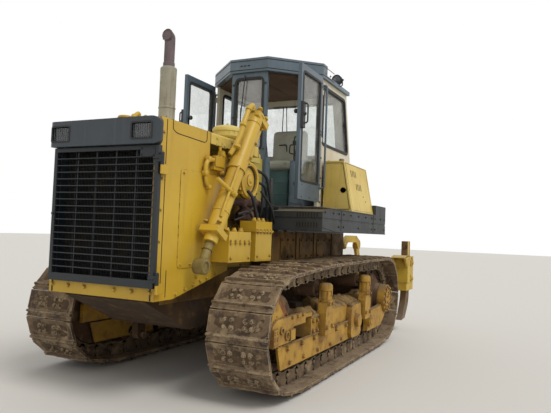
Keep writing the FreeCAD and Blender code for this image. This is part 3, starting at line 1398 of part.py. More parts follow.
def cab_rear():
    """The rear wall between the flanks, upright below and leaning above."""
    low = CAB_FLOOR_Z + CAB_FLOOR_PLATE
    half = CAB_HALF_WIDTH - CAB_WALL
    wall = prism((
        (CAB_REAR_X, low),
        (CAB_REAR_X, CAB_BEND_Z),
        (CAB_REAR_TOP_X, CAB_EAVE_Z),
        (CAB_REAR_TOP_X + CAB_WALL, CAB_EAVE_Z),
        (CAB_REAR_X + CAB_WALL, CAB_BEND_Z),
        (CAB_REAR_X + CAB_WALL, low),
    ), "y", -half, half)
    window = box(
        CAB_REAR_X - CUT_OVER, CAB_REAR_TOP_X + CAB_WALL + CUT_OVER, -REAR_WINDOW_HALF, REAR_WINDOW_HALF,
        SIDE_WINDOW_BOTTOM_Z, SIDE_WINDOW_TOP_Z)
    return wall.cut(window)


def cab_roof():
    """A thick visor over the front and a thinner roof behind it."""
    rear = CAB_REAR_TOP_X - ROOF_OVERHANG
    over = ROOF_OVERHANG
    thin = prism(cab_plan(over, rear), "z", CAB_EAVE_Z, CAB_EAVE_Z + ROOF_REAR_THICKNESS)
    thick = prism(cab_plan(over, ROOF_STEP_X), "z", CAB_EAVE_Z, CAB_EAVE_Z + ROOF_FRONT_THICKNESS)
    return joined([thin, thick])


def cab_glass():
    """Panes of the front, the flanks and the rear."""
    middle = CAB_FRONT_X - CAB_WALL / 2
    panes = [front_window(middle - GLASS / 2, middle + GLASS / 2)]
    flank = CAB_HALF_WIDTH - CAB_WALL / 2
    pane = side_window(flank - GLASS / 2, flank + GLASS / 2)
    panes += [pane, mirrored(pane)]
    bottom = SIDE_WINDOW_BOTTOM_Z
    top = SIDE_WINDOW_TOP_Z
    shift = CAB_WALL / 2 - GLASS / 2
    panes.append(prism((
        (rear_x(bottom) + shift, bottom),
        (rear_x(top) + shift, top),
        (rear_x(top) + shift + GLASS, top),
        (rear_x(bottom) + shift + GLASS, bottom),
    ), "y", -REAR_WINDOW_HALF, REAR_WINDOW_HALF))
    return Part.makeCompound(panes)


def work_lamps():
    y = CAB_HALF_WIDTH + ROOF_OVERHANG
    z = CAB_EAVE_Z + ROOF_REAR_THICKNESS
    x = WORK_LAMP_X
    middle = y - WORK_LAMP_INSET
    half = WORK_LAMP_FOOT / 2
    length = WORK_LAMP_LENGTH
    foot = box(x - half, x + half, middle - half, middle + half, z, z + WORK_LAMP_RISE)
    lamp = rod("x", middle, z + WORK_LAMP_RISE, x - length / 2, x + length / 2, LAMP_RADIUS)
    return both_sides(joined([foot, lamp]))


def door_hinge():
    """The left door's hinge line, set out from the slanting door opening."""
    run = CAB_FRONT_X - CAB_POST_X
    fall = CAB_HALF_WIDTH - CAB_FRONT_HALF
    length = math.hypot(run, fall)
    x = CAB_POST_X + DOOR_STANDOFF * fall / length
    return x, CAB_HALF_WIDTH + DOOR_STANDOFF * run / length


def door_pane(y0, y1):
    """The shape of the door's window between two planes."""
    hinge_line, _ = door_hinge()
    x0 = hinge_line + DOOR_HINGE_GAP + DOOR_STILE
    x1 = hinge_line + DOOR_HINGE_GAP + DOOR_LENGTH - DOOR_STILE
    high = CAB_EAVE_Z - DOOR_TOP_GAP - DOOR_RAIL
    return prism((
        (x0, DOOR_KICK_Z, DOOR_PANE_CORNER),
        (x1, DOOR_KICK_Z, DOOR_PANE_CORNER),
        (x1, high, DOOR_PANE_CORNER),
        (x0, high, DOOR_PANE_CORNER),
    ), "y", y0, y1)


def door():
    """The left door, standing open: it points straight forward from its post."""
    x, y = door_hinge()
    x0 = x + DOOR_HINGE_GAP
    half = DOOR_THICKNESS / 2
    panel = box(x0, x0 + DOOR_LENGTH, y - half, y + half, CAB_SILL_Z, CAB_EAVE_Z - DOOR_TOP_GAP)
    parts = [panel.cut(door_pane(y - half - CUT_OVER, y + half + CUT_OVER))]
    for z in DOOR_HINGE_ZS:
        parts.append(box(x, x0, y - DOOR_STRAP / 2, y + DOOR_STRAP / 2, z, z + DOOR_HINGE_LENGTH))
        parts.append(rod("z", x, y, z, z + DOOR_HINGE_LENGTH, DOOR_HINGE_RADIUS))
    return joined(parts)


def door_glass():
    _, y = door_hinge()
    return door_pane(y - GLASS / 2, y + GLASS / 2)


def seat():
    low = CAB_FLOOR_Z + CAB_FLOOR_PLATE
    y0 = SEAT_Y - SEAT_WIDTH / 2
    y1 = SEAT_Y + SEAT_WIDTH / 2
    x0 = SEAT_X
    x1 = SEAT_X + SEAT_DEPTH
    inset = SEAT_BASE_INSET
    base = box(x0 + inset, x1 - inset, y0 + inset, y1 - inset, low, SEAT_BASE_TOP_Z)
    cushion = box(x0, x1, y0, y1, SEAT_BASE_TOP_Z, SEAT_BASE_TOP_Z + SEAT_CUSHION)
    back = prism((
        (y0, SEAT_BASE_TOP_Z),
        (y1, SEAT_BASE_TOP_Z),
        (y1, SEAT_BACK_TOP_Z, SEAT_BACK_CORNER),
        (y0, SEAT_BACK_TOP_Z, SEAT_BACK_CORNER),
    ), "x", x0 - SEAT_BACK_THICKNESS, x0)
    return joined([base, cushion, back])


def consoles():
    low = CAB_FLOOR_Z + CAB_FLOOR_PLATE
    left = box(CONSOLE_REAR_X, CONSOLE_FRONT_X, CONSOLE_INNER_Y, CONSOLE_OUTER_Y, low, CONSOLE_TOP_Z)
    return both_sides(left)


def side_tank():
    low = FENDER_TOP_Z
    inner = CAB_HALF_WIDTH + TANK_INNER_GAP
    profile = (
        (inner, low),
        (inner + TANK_BOTTOM_WIDTH, low),
        (inner + TANK_TOP_WIDTH, TANK_TOP_Z, TANK_EDGE),
        (inner, TANK_TOP_Z),
    )
    tank = prism(profile, "x", FENDER_REAR_X + TANK_REAR_GAP, TANK_FRONT_X)
    lean = (TANK_BOTTOM_WIDTH - TANK_TOP_WIDTH) / (TANK_TOP_Z - low)
    y, z, radius = TANK_DRAIN
    cuts = [rod("x", y, z, TANK_FRONT_X - TANK_DRAIN_DEPTH, TANK_FRONT_X + CUT_OVER, radius)]
    for front, bottom, height, count, pitch in TANK_SLOT_TABLE:
        face = inner + TANK_BOTTOM_WIDTH - lean * (bottom + height / 2 - low)
        for i in range(count):
            x = front - i * pitch
            low_y = face - TANK_SLOT_DEPTH
            high_y = face + TANK_SLOT_DEPTH
            cuts.append(box(x - TANK_SLOT, x, low_y, high_y, bottom, bottom + height))
    return tank.cut(Part.makeCompound(cuts))


# Ripper

def link(x0, x1, z, low, high, radius, bore, crown=()):
    """A bar with round ends and a bore in each; a crown gives it other upper and lower edges."""
    reach = radius * ROUND_END
    upper = [point for point in crown if point[1] > z + radius]
    lower = [point for point in crown if point[1] <= z + radius]
    bar = prism([
        (x0 - radius, z - radius, reach),
    ] + lower + [
        (x1 + radius, z - radius, reach),
        (x1 + radius, z + radius, reach),
    ] + upper + [
        (x0 - radius, z + radius, reach),
    ], "y", low, high)
    for x in (x0, x1):
        bar = bar.cut(rod("y", x, z, low, high, bore))
    return bar


def plate_sides(centre, width):
    """Low edges of the two ears that stand beside a member of a width."""
    reach = width / 2 + RIPPER_SIDE_GAP
    return centre - reach - RIPPER_PLATE, centre + reach


def ripper_bracket():
    """Ears on the hull's rear for the arms, the upper links and the cylinders."""
    inner, outer = plate_sides(RIPPER_ARM_Y, RIPPER_ARM_WIDTH)
    back_front = CASE_REAR_X
    back_rear = CASE_REAR_X - RIPPER_BACK_PLATE
    half = outer + RIPPER_PLATE
    low_z = RIPPER_LOWER_Z - RIPPER_END_RADIUS
    high_z = RIPPER_UPPER_Z + RIPPER_END_RADIUS
    parts = [box(back_rear, back_front, -half, half, low_z, high_z)]
    lower_ear = (
        (back_front, low_z),
        (RIPPER_PIN_X, low_z),
        (RIPPER_PIN_X, RIPPER_LOWER_Z + RIPPER_END_RADIUS),
        (back_front, RIPPER_LOWER_Z + RIPPER_EAR_SPREAD),
    )
    upper_ear = (
        (back_front, RIPPER_UPPER_Z - RIPPER_EAR_SPREAD),
        (RIPPER_PIN_X, RIPPER_UPPER_Z - RIPPER_END_RADIUS),
        (RIPPER_PIN_X, RIPPER_UPPER_Z + RIPPER_END_RADIUS),
        (back_front, RIPPER_UPPER_Z + RIPPER_END_RADIUS),
    )
    ears = []
    for low in (inner, outer):
        ears.append(prism(lower_ear, "y", low, low + RIPPER_PLATE))
        ears.append(rod("y", RIPPER_PIN_X, RIPPER_LOWER_Z, low, low + RIPPER_PLATE, RIPPER_END_RADIUS))
    ears.append(prism(upper_ear, "y", outer, outer + RIPPER_PLATE))
    ears.append(rod("y", RIPPER_PIN_X, RIPPER_UPPER_Z, outer, outer + RIPPER_PLATE, RIPPER_END_RADIUS))
    lower_pin = rod("y", RIPPER_PIN_X, RIPPER_LOWER_Z, inner, outer + RIPPER_PLATE, RIPPER_PIN_RADIUS)
    link_low = outer + RIPPER_PLATE + RIPPER_SIDE_GAP
    link_high = link_low + RIPPER_UPPER_WIDTH
    upper_pin = rod("y", RIPPER_PIN_X, RIPPER_UPPER_Z, outer, link_high, RIPPER_PIN_RADIUS)
    ears += [lower_pin, upper_pin]
    x, z = RIPPER_CYLINDER_TOP
    reach = RIPPER_EYE_WIDTH / 2 + RIPPER_EYE_GAP
    for low in (RIPPER_CYLINDER_Y - reach - RIPPER_EAR, RIPPER_CYLINDER_Y + reach):
        ears.append(box(x, back_front, low, low + RIPPER_EAR, z - RIPPER_EYE_RADIUS, z + RIPPER_EYE_RADIUS))
        ears.append(rod("y", x, z, low, low + RIPPER_EAR, RIPPER_EYE_RADIUS))
    ears.append(rod("y", x, z, RIPPER_CYLINDER_Y - reach, RIPPER_CYLINDER_Y + reach, RIPPER_SMALL_PIN_RADIUS))
    return joined(parts + ears + [mirrored(ear) for ear in ears])


def ripper_arms():
    """Two lower arms joined by a cross tube with ears for the cylinder rods."""
    low = RIPPER_ARM_Y - RIPPER_ARM_WIDTH / 2
    high = RIPPER_ARM_Y + RIPPER_ARM_WIDTH / 2
    rear = RIPPER_PIN_X - RIPPER_LINK_LENGTH
    z = RIPPER_LOWER_Z
    bore = RIPPER_PIN_RADIUS + SHAFT_FIT
    arm = link(rear, RIPPER_PIN_X, z, low, high, RIPPER_EYE_HEIGHT, bore)
    tube = rod("y", RIPPER_TUBE_X, z, -low, low, RIPPER_TUBE_RADIUS)
    parts = [arm, mirrored(arm), tube]
    x, foot_z = RIPPER_CYLINDER_FOOT
    reach = RIPPER_EYE_WIDTH / 2 + RIPPER_EYE_GAP
    for side in (-1, 1):
        for offset in (-reach - RIPPER_EAR, reach):
            start = side * RIPPER_CYLINDER_Y + offset
            ear = prism((
                (RIPPER_TUBE_X, z - RIPPER_EAR_ROOT),
                (RIPPER_TUBE_X, z + RIPPER_EAR_ROOT),
                (x, foot_z + RIPPER_EAR_RISE),
                (x, foot_z - RIPPER_EYE_RADIUS),
            ), "y", start, start + RIPPER_EAR)
            parts += [ear, rod("y", x, foot_z, start, start + RIPPER_EAR, RIPPER_EYE_RADIUS)]
    return joined(parts)


def ripper_links():
    _, outer = plate_sides(RIPPER_ARM_Y, RIPPER_ARM_WIDTH)
    low = outer + RIPPER_PLATE + RIPPER_SIDE_GAP
    rear = RIPPER_PIN_X - RIPPER_LINK_LENGTH
    bore = RIPPER_PIN_RADIUS + SHAFT_FIT
    z = RIPPER_UPPER_Z
    radius = RIPPER_EYE_HEIGHT
    crown = (
        # the underside from rear to front, then the upper edge back again
        (rear + radius, z - radius),
        (rear + RIPPER_ARCH_RUN, z + RIPPER_ARCH_UNDER, RIPPER_ARCH_CORNER),
        (RIPPER_PIN_X - RIPPER_ARCH_RUN, z + RIPPER_ARCH_UNDER, RIPPER_ARCH_CORNER),
        (RIPPER_PIN_X - radius, z - radius),
        (RIPPER_PIN_X - RIPPER_ARCH_RUN, z + RIPPER_ARCH, RIPPER_ARCH_CORNER),
        (rear + RIPPER_ARCH_RUN, z + RIPPER_ARCH, RIPPER_ARCH_CORNER),
    )
    bar = link(rear, RIPPER_PIN_X, z, low, low + RIPPER_UPPER_WIDTH, radius, bore, crown)
    return both_sides(bar)


def shank_ys():
    """Middles of the three shanks across the beam."""
    outer = BEAM_HALF_LENGTH - SHANK_INSET
    return (-outer, 0.0, outer)


def shank_x():
    return BEAM_FRONT_X - BEAM_DEPTH - SHANK_DEPTH


def ripper_beam():
    """The beam with its shank pockets and the plates that the links hold."""
    rear = BEAM_FRONT_X - BEAM_DEPTH
    parts = [box(rear, BEAM_FRONT_X, -BEAM_HALF_LENGTH, BEAM_HALF_LENGTH, BEAM_BOTTOM_Z, BEAM_TOP_Z)]
    half = SHANK_THICKNESS / 2 + SHANK_FIT
    pocket_rear = shank_x() - SHANK_FIT - POCKET_REAR_WALL
    wide = half + POCKET_WALL
    for y in shank_ys():
        parts.append(box(pocket_rear, BEAM_FRONT_X, y - wide, y + wide, POCKET_BOTTOM_Z, POCKET_TOP_Z))
    inner, outer_low = plate_sides(RIPPER_ARM_Y, RIPPER_ARM_WIDTH)
    pin_x = RIPPER_PIN_X - RIPPER_LINK_LENGTH
    lower = (
        (BEAM_FRONT_X - BEAM_EAR_REACH, BEAM_BOTTOM_Z + BEAM_EAR_ROOT),
        (pin_x, RIPPER_LOWER_Z + RIPPER_END_RADIUS),
        (pin_x, RIPPER_LOWER_Z - RIPPER_END_RADIUS),
        (BEAM_FRONT_X - BEAM_EAR_REACH, RIPPER_LOWER_Z - RIPPER_END_RADIUS),
        (BEAM_FRONT_X - BEAM_EAR_ROOT, BEAM_BOTTOM_Z),
    )
    upper = (
        (BEAM_FRONT_X - BEAM_EAR_REAR, BEAM_TOP_Z - BEAM_EAR_DROP),
        (BEAM_FRONT_X - BEAM_EAR_REACH, RIPPER_UPPER_Z + RIPPER_END_RADIUS),
        (pin_x, RIPPER_UPPER_Z + RIPPER_END_RADIUS),
        (pin_x, RIPPER_UPPER_Z - RIPPER_END_RADIUS),
        (BEAM_FRONT_X - BEAM_EAR_TIP, BEAM_TOP_Z - BEAM_EAR_DROP),
    )
    ears = []
    for low in (inner, outer_low):
        ears.append(prism(lower, "y", low, low + RIPPER_PLATE))
        ears.append(rod("y", pin_x, RIPPER_LOWER_Z, low, low + RIPPER_PLATE, RIPPER_END_RADIUS))
    ears.append(rod("y", pin_x, RIPPER_LOWER_Z, inner, outer_low + RIPPER_PLATE, RIPPER_PIN_RADIUS))
    ears.append(prism(upper, "y", outer_low, outer_low + RIPPER_PLATE))
    ears.append(rod("y", pin_x, RIPPER_UPPER_Z, outer_low, outer_low + RIPPER_PLATE, RIPPER_END_RADIUS))
    link_low = outer_low + RIPPER_PLATE + RIPPER_SIDE_GAP
    ears.append(rod("y", pin_x, RIPPER_UPPER_Z, outer_low, link_low + RIPPER_UPPER_WIDTH, RIPPER_PIN_RADIUS))
    body = joined(parts + ears + [mirrored(ear) for ear in ears])
    for y in shank_ys():
        slot = box(
            shank_x() - SHANK_FIT, rear, y - half, y + half,
            POCKET_BOTTOM_Z - CUT_OVER, POCKET_TOP_Z + CUT_OVER)
        body = body.cut(slot)
    return body


def ripper_shanks():
    """Three curved shanks with their points, each held by a cross pin."""
    x0 = shank_x()
    x1 = x0 + SHANK_DEPTH
    shapes = []
    for y in shank_ys():
        profile = (
            (x0, SHANK_TOP_Z),
            (x1, SHANK_TOP_Z),
            (x1, POCKET_BOTTOM_Z - SHANK_KNEE, SHANK_BEND),
            (x1 + POINT_REACH - POINT_NOSE, SHANK_TIP_Z + POINT_RISE),
            (x1 + POINT_REACH, SHANK_TIP_Z),
            (x1 + POINT_HEEL, SHANK_TIP_Z + POINT_HEEL / 2),
            (x0, POCKET_BOTTOM_Z - SHANK_HEEL, SHANK_BEND),
        )
        low = y - SHANK_THICKNESS / 2
        high = y + SHANK_THICKNESS / 2
        hole = rod("y", (x0 + x1) / 2, SHANK_HOLE_Z, low, high, SHANK_HOLE_RADIUS)
        shapes.append(prism(profile, "y", low, high).cut(hole))
    return Part.makeCompound(shapes)


def ripper_span():
    x0, z0 = RIPPER_CYLINDER_TOP
    x1, z1 = RIPPER_CYLINDER_FOOT
    return math.hypot(x1 - x0, z1 - z0), math.degrees(math.atan2(x0 - x1, z0 - z1))


def ripper_tube():
    """Left ripper cylinder tube, drawn hanging and then swung back."""
    x, z = RIPPER_CYLINDER_TOP
    _, tilt = ripper_span()
    half = RIPPER_EYE_WIDTH / 2
    y = RIPPER_CYLINDER_Y
    end = z - RIPPER_TUBE_LENGTH
    head = z - RIPPER_EYE_RADIUS
    body = rod("z", x, y, end, head - RIPPER_HEAD_START, RIPPER_TUBE_OUTER)
    bore = rod("z", x, y, end + RIPPER_GLAND, head - RIPPER_BORE_START, RIPPER_TUBE_BORE)
    gland_high = end + RIPPER_GLAND + CUT_OVER
    gland = rod("z", x, y, end - CUT_OVER, gland_high, RIPPER_ROD_RADIUS + SHAFT_FIT)
    neck_half = RIPPER_NECK_HALF
    neck = box(x - neck_half, x + neck_half, y - half, y + half, head - RIPPER_NECK_LENGTH, z)
    eye = rod("y", x, z, y - half, y + half, RIPPER_SMALL_EYE_RADIUS)
    hole = rod("y", x, z, y - half, y + half, RIPPER_SMALL_PIN_RADIUS + SHAFT_FIT)
    shape = joined([body, neck, eye]).cut(bore).cut(gland).cut(hole)
    return turned(shape, x, z, tilt)


def ripper_rod():
    x, z = RIPPER_CYLINDER_TOP
    span, tilt = ripper_span()
    half = RIPPER_EYE_WIDTH / 2
    y = RIPPER_CYLINDER_Y
    bar = rod("z", x, y, z - span, z - RIPPER_ROD_TOP, RIPPER_ROD_RADIUS)
    eye = rod("y", x, z - span, y - half, y + half, RIPPER_SMALL_EYE_RADIUS)
    return turned(joined([bar, eye]), x, z, tilt)


def build():
    left_track = track()
    save("track_left", left_track)
    save("track_right", mirrored(left_track))
    save("sprockets", both_sides(sprocket()))
    save("idlers", both_sides(idler()))
    save("bottom_rollers", bottom_rollers())
    save("carrier_rollers", carrier_rollers())
    save("track_frames", both_sides(track_frame()))
    drive = final_drive()
    save("final_drives", Part.makeCompound(drive + [mirrored(piece) for piece in drive]))
    save("main_frame", main_frame())
    save("equalizer_bar", equalizer_bar())
    save("under_guard", under_guard())
    save("engine_block", engine_block())
    save("radiator_core", radiator_core())
    save("radiator_guard", radiator_guard())
    save("nose_band", nose_band())
    save("head_lamps", head_lamps())
    save("grille_door", grille_door())
    save("hood", hood())
    save("exhaust_stack", exhaust_stack())
    save("precleaner", precleaner())
    save("air_cleaner", air_cleaner())
    save("side_boxes", side_boxes())
    save("cylinder_yokes", both_sides(yoke()))
    save("lift_tube_left", cylinder_tube())
    save("lift_tube_right", mirrored(cylinder_tube()))
    save("lift_rod_left", cylinder_rod())
    save("lift_rod_right", mirrored(cylinder_rod()))
    left_fender = fender()
    save("fender_left", left_fender)
    save("fender_right", mirrored(left_fender))
    save("cab_floor", cab_floor())
    save("cab_front", cab_front())
    left_side = cab_side()
    save("cab_side_left", left_side)
    save("cab_side_right", mirrored(left_side))
    save("cab_rear", cab_rear())
    save("cab_roof", cab_roof())
    save("cab_glass", cab_glass())
    save("work_lamps", work_lamps())
    left_door = door()
    save("door_left", left_door)
    save("door_right", mirrored(left_door))
    left_glass = door_glass()
    save("door_glass_left", left_glass)
    save("door_glass_right", mirrored(left_glass))
    save("seat", seat())
    save("consoles", consoles())
    save("side_tanks", both_sides(side_tank()))
    save("ripper_bracket", ripper_bracket())
    save("ripper_arms", ripper_arms())
    save("ripper_links", ripper_links())
    save("ripper_beam", ripper_beam())
    save("ripper_shanks", ripper_shanks())
    save("ripper_tubes", both_sides(ripper_tube()))
    save("ripper_rods", both_sides(ripper_rod()))


build()
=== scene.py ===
"""Looks of a crawler bulldozer: finishes, fasteners, glass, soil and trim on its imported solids.

Metres, in the model's own frame: X runs forward, Y to the machine's left, Z up, the ground at 0.
"""

import logging
import math
from collections.abc import Iterable, Sequence
from dataclasses import dataclass
from enum import Enum

import bmesh
import bpy
from mathutils import Matrix, Vector, noise


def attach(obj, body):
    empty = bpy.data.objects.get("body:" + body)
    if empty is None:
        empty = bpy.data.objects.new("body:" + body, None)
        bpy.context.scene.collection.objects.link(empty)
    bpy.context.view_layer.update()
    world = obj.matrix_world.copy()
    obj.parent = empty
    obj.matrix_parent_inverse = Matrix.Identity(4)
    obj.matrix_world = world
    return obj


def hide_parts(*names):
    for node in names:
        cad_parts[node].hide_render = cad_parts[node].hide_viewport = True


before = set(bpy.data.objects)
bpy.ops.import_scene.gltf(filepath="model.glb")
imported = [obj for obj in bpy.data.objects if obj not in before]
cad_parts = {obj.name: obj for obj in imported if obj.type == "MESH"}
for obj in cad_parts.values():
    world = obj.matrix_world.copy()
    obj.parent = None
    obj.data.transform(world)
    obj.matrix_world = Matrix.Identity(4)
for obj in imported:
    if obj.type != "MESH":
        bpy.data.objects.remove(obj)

LOG = logging.getLogger("bulldozer")
Point = tuple[float, float, float]
Flat = tuple[float, float]
Colour = tuple[float, float, float, float]

AHEAD, BACK = (1, 0, 0), (-1, 0, 0)
OUT, UP, DOWN = (0, 1, 0), (0, 0, 1), (0, 0, -1)
BOTH = (-1, 1)

# How a flat outline's two numbers and its level become x, y and z, by the axis across it.
ORDERS = {"x": lambda a, b, c: (c, a, b), "y": lambda a, b, c: (a, c, b), "z": lambda a, b, c: (a, b, c)}

# Rays that a rounded edge's or a hollow's shading takes, enough for a still.
EDGE_SAMPLES = 4

# A hexagon screw, as shares of its width: washer and head, each (height, radius).
WASHER_TOP = (0.12, 0.82)
WASHER_FOOT = 0.85
HEX_HEAD = ((0.1, 1.0), (0.62, 1.0), (0.75, 0.8))
SCREW_SINK = 0.002


def linear(hex_colour: str) -> Colour:
    """Turns an sRGB colour into the linear one that a shader takes.

    Args:
        hex_colour: The colour as "#rrggbb".

    Returns:
        Red, green, blue and an alpha of 1.
    """
    parts = [int(hex_colour[i:i + 2], 16) / 255 for i in (1, 3, 5)]
    red, green, blue = (p / 12.92 if p <= 0.04045 else ((p + 0.055) / 1.055) ** 2.4 for p in parts)
    return red, green, blue, 1.0


def add(tree: bpy.types.NodeTree, kind: str, sockets: dict | None = None,
        **settings: object) -> bpy.types.Node:
    """Adds one shader node with its settings and what goes into its sockets.

    Args:
        tree: The node tree of a material or world.
        kind: The node's type name.
        sockets: Socket name or number to a plain value or to another node's output.
        settings: Properties of the node itself.

    Returns:
        The new node.
    """
    node = tree.nodes.new(kind)
    for name, value in settings.items():
        setattr(node, name, value)
    for name, value in (sockets or {}).items():
        if isinstance(value, bpy.types.NodeSocket):
            tree.links.new(value, node.inputs[name])
        else:
            node.inputs[name].default_value = value
    return node


def fresh_tree(owner: bpy.types.Material | bpy.types.World) -> bpy.types.NodeTree:
    """Gives a material or world an empty node tree."""
    owner.use_nodes = True
    owner.node_tree.nodes.clear()
    return owner.node_tree


def put(name: str, data: bpy.types.ID) -> bpy.types.Object:
    """Puts a mesh, camera or light into the scene."""
    made = bpy.data.objects.new(name, data)
    bpy.context.scene.collection.objects.link(made)
    return made


class Where(Enum):
    """Where on a piece a layer of wear, dirt, or painted shade lies."""

    ANYWHERE = "anywhere"
    EDGES = "edges"
    # Darkens recesses found by ambient occlusion: grime together with painted shade.
    HOLLOWS = "hollows"
    TOPS = "tops"
    LOW = "low"
    RUNS = "runs"


@dataclass(frozen=True)
class Layer:
    """One layer over a finish, such as wear, dirt, or shade painted into hollows.

    Args:
        colour: Its sRGB colour.
        where: The places that it takes.
        size: Metres across one of its patches.
        start: The noise level where it begins, so a higher one covers less.
        soft: How gradually its patches end.
        rough: Its roughness.
        metal: Its metallic share.
        relief: Metres that it stands proud.
        reach: Metres of edge, hollow or height that it works over.
        most: The most that it covers.
    """

    colour: str
    where: Where
    size: float
    start: float
    soft: float = 0.12
    rough: float = 0.9
    metal: float = 0.0
    relief: float = 0.0
    reach: float = 0.02
    most: float = 1.0


@dataclass(frozen=True)
class Finish:
    """A surface: its own colour in two tones, its grain and the layers that lie on it.

    Args:
        name: What it is and how it was made.
        base: Its first sRGB colour.
        tone: The second one, which drifts in and out.
        tone_size: Metres across one drift.
        rough: Its roughness.
        metal: Its metallic share.
        coat: How much clear gloss lies on top.
        grain: Metres across one grain.
        grain_depth: Metres from a grain's foot to its top.
        dents: Metres that the sheet waves in and out.
        edge: Metres over which its edges catch the light.
        layers: Wear, dirt and painted shade, the lowest first.
    """

    name: str
    base: str
    tone: str
    tone_size: float = 0.6
    rough: float = 0.5
    metal: float = 0.0
    coat: float = 0.0
    grain: float = 0.004
    grain_depth: float = 0.0002
    dents: float = 0.0
    edge: float = 0.006
    layers: tuple[Layer, ...] = ()

    def material(self) -> bpy.types.Material:
        """Gives the finish's material, made once."""
        found = bpy.data.materials.get(self.name)
        return found if found else self.mix()

    def mask(self, tree: bpy.types.NodeTree, layer: Layer, coords: bpy.types.Node) -> bpy.types.NodeSocket:
        """Builds the share of the surface that a layer covers.

        Args:
            tree: The material's node tree.
            layer: The layer.
            coords: The texture coordinate node.

        Returns:
            The socket that carries the share, 0 to 1.
        """
        place = coords.outputs["Object"]
        if layer.where is Where.RUNS:
            place = add(tree, "ShaderNodeMapping",
                        {"Vector": place, "Scale": (1.0, 1.0, 0.07)}).outputs["Vector"]
        patches = add(tree, "ShaderNodeTexNoise", {
            "Vector": place, "Scale": 1 / layer.size, "Detail": 7.0, "Roughness": 0.62}).outputs["Fac"]
        share = add(tree, "ShaderNodeMapRange", {
            "Value": patches, "From Min": layer.start, "From Max": layer.start + layer.soft,
            "To Max": layer.most}, interpolation_type="SMOOTHSTEP").outputs["Result"]
        if layer.where in (Where.ANYWHERE, Where.RUNS):
            return share
        if layer.where is Where.EDGES:
            rounded = add(tree, "ShaderNodeBevel", {"Radius": layer.reach},
                          samples=EDGE_SAMPLES).outputs["Normal"]
            true = add(tree, "ShaderNodeNewGeometry").outputs["Normal"]
            agree = add(tree, "ShaderNodeVectorMath", {0: rounded, 1: true},
                        operation="DOT_PRODUCT").outputs["Value"]
            level, low, high = agree, 0.985, 0.88
        elif layer.where is Where.HOLLOWS:
            # Ambient occlusion finds the recesses; the layer's dark colour there is painted shade as well as
            # grime.
            shade = add(tree, "ShaderNodeAmbientOcclusion", {"Distance": layer.reach},
                        samples=EDGE_SAMPLES).outputs["AO"]
            level, low, high = shade, 0.85, 0.35
        elif layer.where is Where.TOPS:
            up = add(tree, "ShaderNodeSeparateXYZ", {"Vector": coords.outputs["Normal"]}).outputs["Z"]
            level, low, high = up, 0.35, 0.9
        else:
            height = add(tree, "ShaderNodeSeparateXYZ", {"Vector": coords.outputs["Object"]}).outputs["Z"]
            level, low, high = height, layer.reach, 0.0
        place_share = add(tree, "ShaderNodeMapRange", {
            "Value": level, "From Min": low, "From Max": high},
            interpolation_type="SMOOTHSTEP").outputs["Result"]
        return add(tree, "ShaderNodeMath", {0: place_share, 1: share}, operation="MULTIPLY").outputs["Value"]

    def mix(self) -> bpy.types.Material:
        """Makes the material from the two tones, the layers and the grain."""
        made = bpy.data.materials.new(self.name)
        tree = fresh_tree(made)
        coords = add(tree, "ShaderNodeTexCoord")
        place = coords.outputs["Object"]
        tones = add(tree, "ShaderNodeTexNoise", {
            "Vector": place, "Scale": 1 / self.tone_size, "Detail": 5.0, "Roughness": 0.55}).outputs["Fac"]
        share = add(tree, "ShaderNodeMapRange",
                    {"Value": tones, "From Min": 0.35, "From Max": 0.66}).outputs["Result"]
        colour = add(tree, "ShaderNodeMix", {
            0: share, 6: linear(self.base), 7: linear(self.tone)}, data_type="RGBA").outputs[2]
        rounded = add(tree, "ShaderNodeBevel", {"Radius": self.edge}, samples=EDGE_SAMPLES).outputs["Normal"]
        fine = add(tree, "ShaderNodeTexNoise",
                   {"Vector": place, "Scale": 1 / self.grain, "Detail": 3.0}).outputs["Fac"]
        normal = add(tree, "ShaderNodeBump", {
            "Height": fine, "Distance": self.grain_depth, "Strength": 1.0,
            "Normal": rounded}).outputs["Normal"]
        if self.dents:
            # Sheet that work has pushed in and out over a hand's breadth.
            waves = add(tree, "ShaderNodeTexNoise",
                        {"Vector": place, "Scale": 5.5, "Detail": 1.0}).outputs["Fac"]
            normal = add(tree, "ShaderNodeBump", {
                "Height": waves, "Distance": self.dents, "Strength": 1.0, "Normal": normal}).outputs["Normal"]
        shader = add(tree, "ShaderNodeBsdfPrincipled", {"Coat Weight": self.coat, "Coat Roughness": 0.25})
        rough: float | bpy.types.NodeSocket = self.rough
        metal: float | bpy.types.NodeSocket = self.metal
        for layer in self.layers:
            mask = self.mask(tree, layer, coords)
            colour = add(tree, "ShaderNodeMix", {
                0: mask, 6: colour, 7: linear(layer.colour)}, data_type="RGBA").outputs[2]
            rough = add(tree, "ShaderNodeMix", {0: mask, 2: rough, 3: layer.rough}).outputs[0]
            if layer.metal != self.metal or not isinstance(metal, float):
                metal = add(tree, "ShaderNodeMix", {0: mask, 2: metal, 3: layer.metal}).outputs[0]
            if layer.relief:
                lumps = add(tree, "ShaderNodeTexNoise", {
                    "Vector": place, "Scale": 3.5 / layer.size, "Detail": 6.0,
                    "Roughness": 0.7}).outputs["Fac"]
                height = add(tree, "ShaderNodeMath", {0: mask, 1: lumps},
                             operation="MULTIPLY").outputs["Value"]
                normal = add(tree, "ShaderNodeBump", {
                    "Height": height, "Distance": layer.relief, "Strength": 1.0,
                    "Normal": normal}).outputs["Normal"]
        tree.links.new(colour, shader.inputs["Base Color"])
        tree.links.new(normal, shader.inputs["Normal"])
        for name, value in (("Roughness", rough), ("Metallic", metal)):
            if isinstance(value, float):
                shader.inputs[name].default_value = value
            else:
                tree.links.new(value, shader.inputs[name])
        add(tree, "ShaderNodeOutputMaterial", {"Surface": shader.outputs["BSDF"]})
        return made


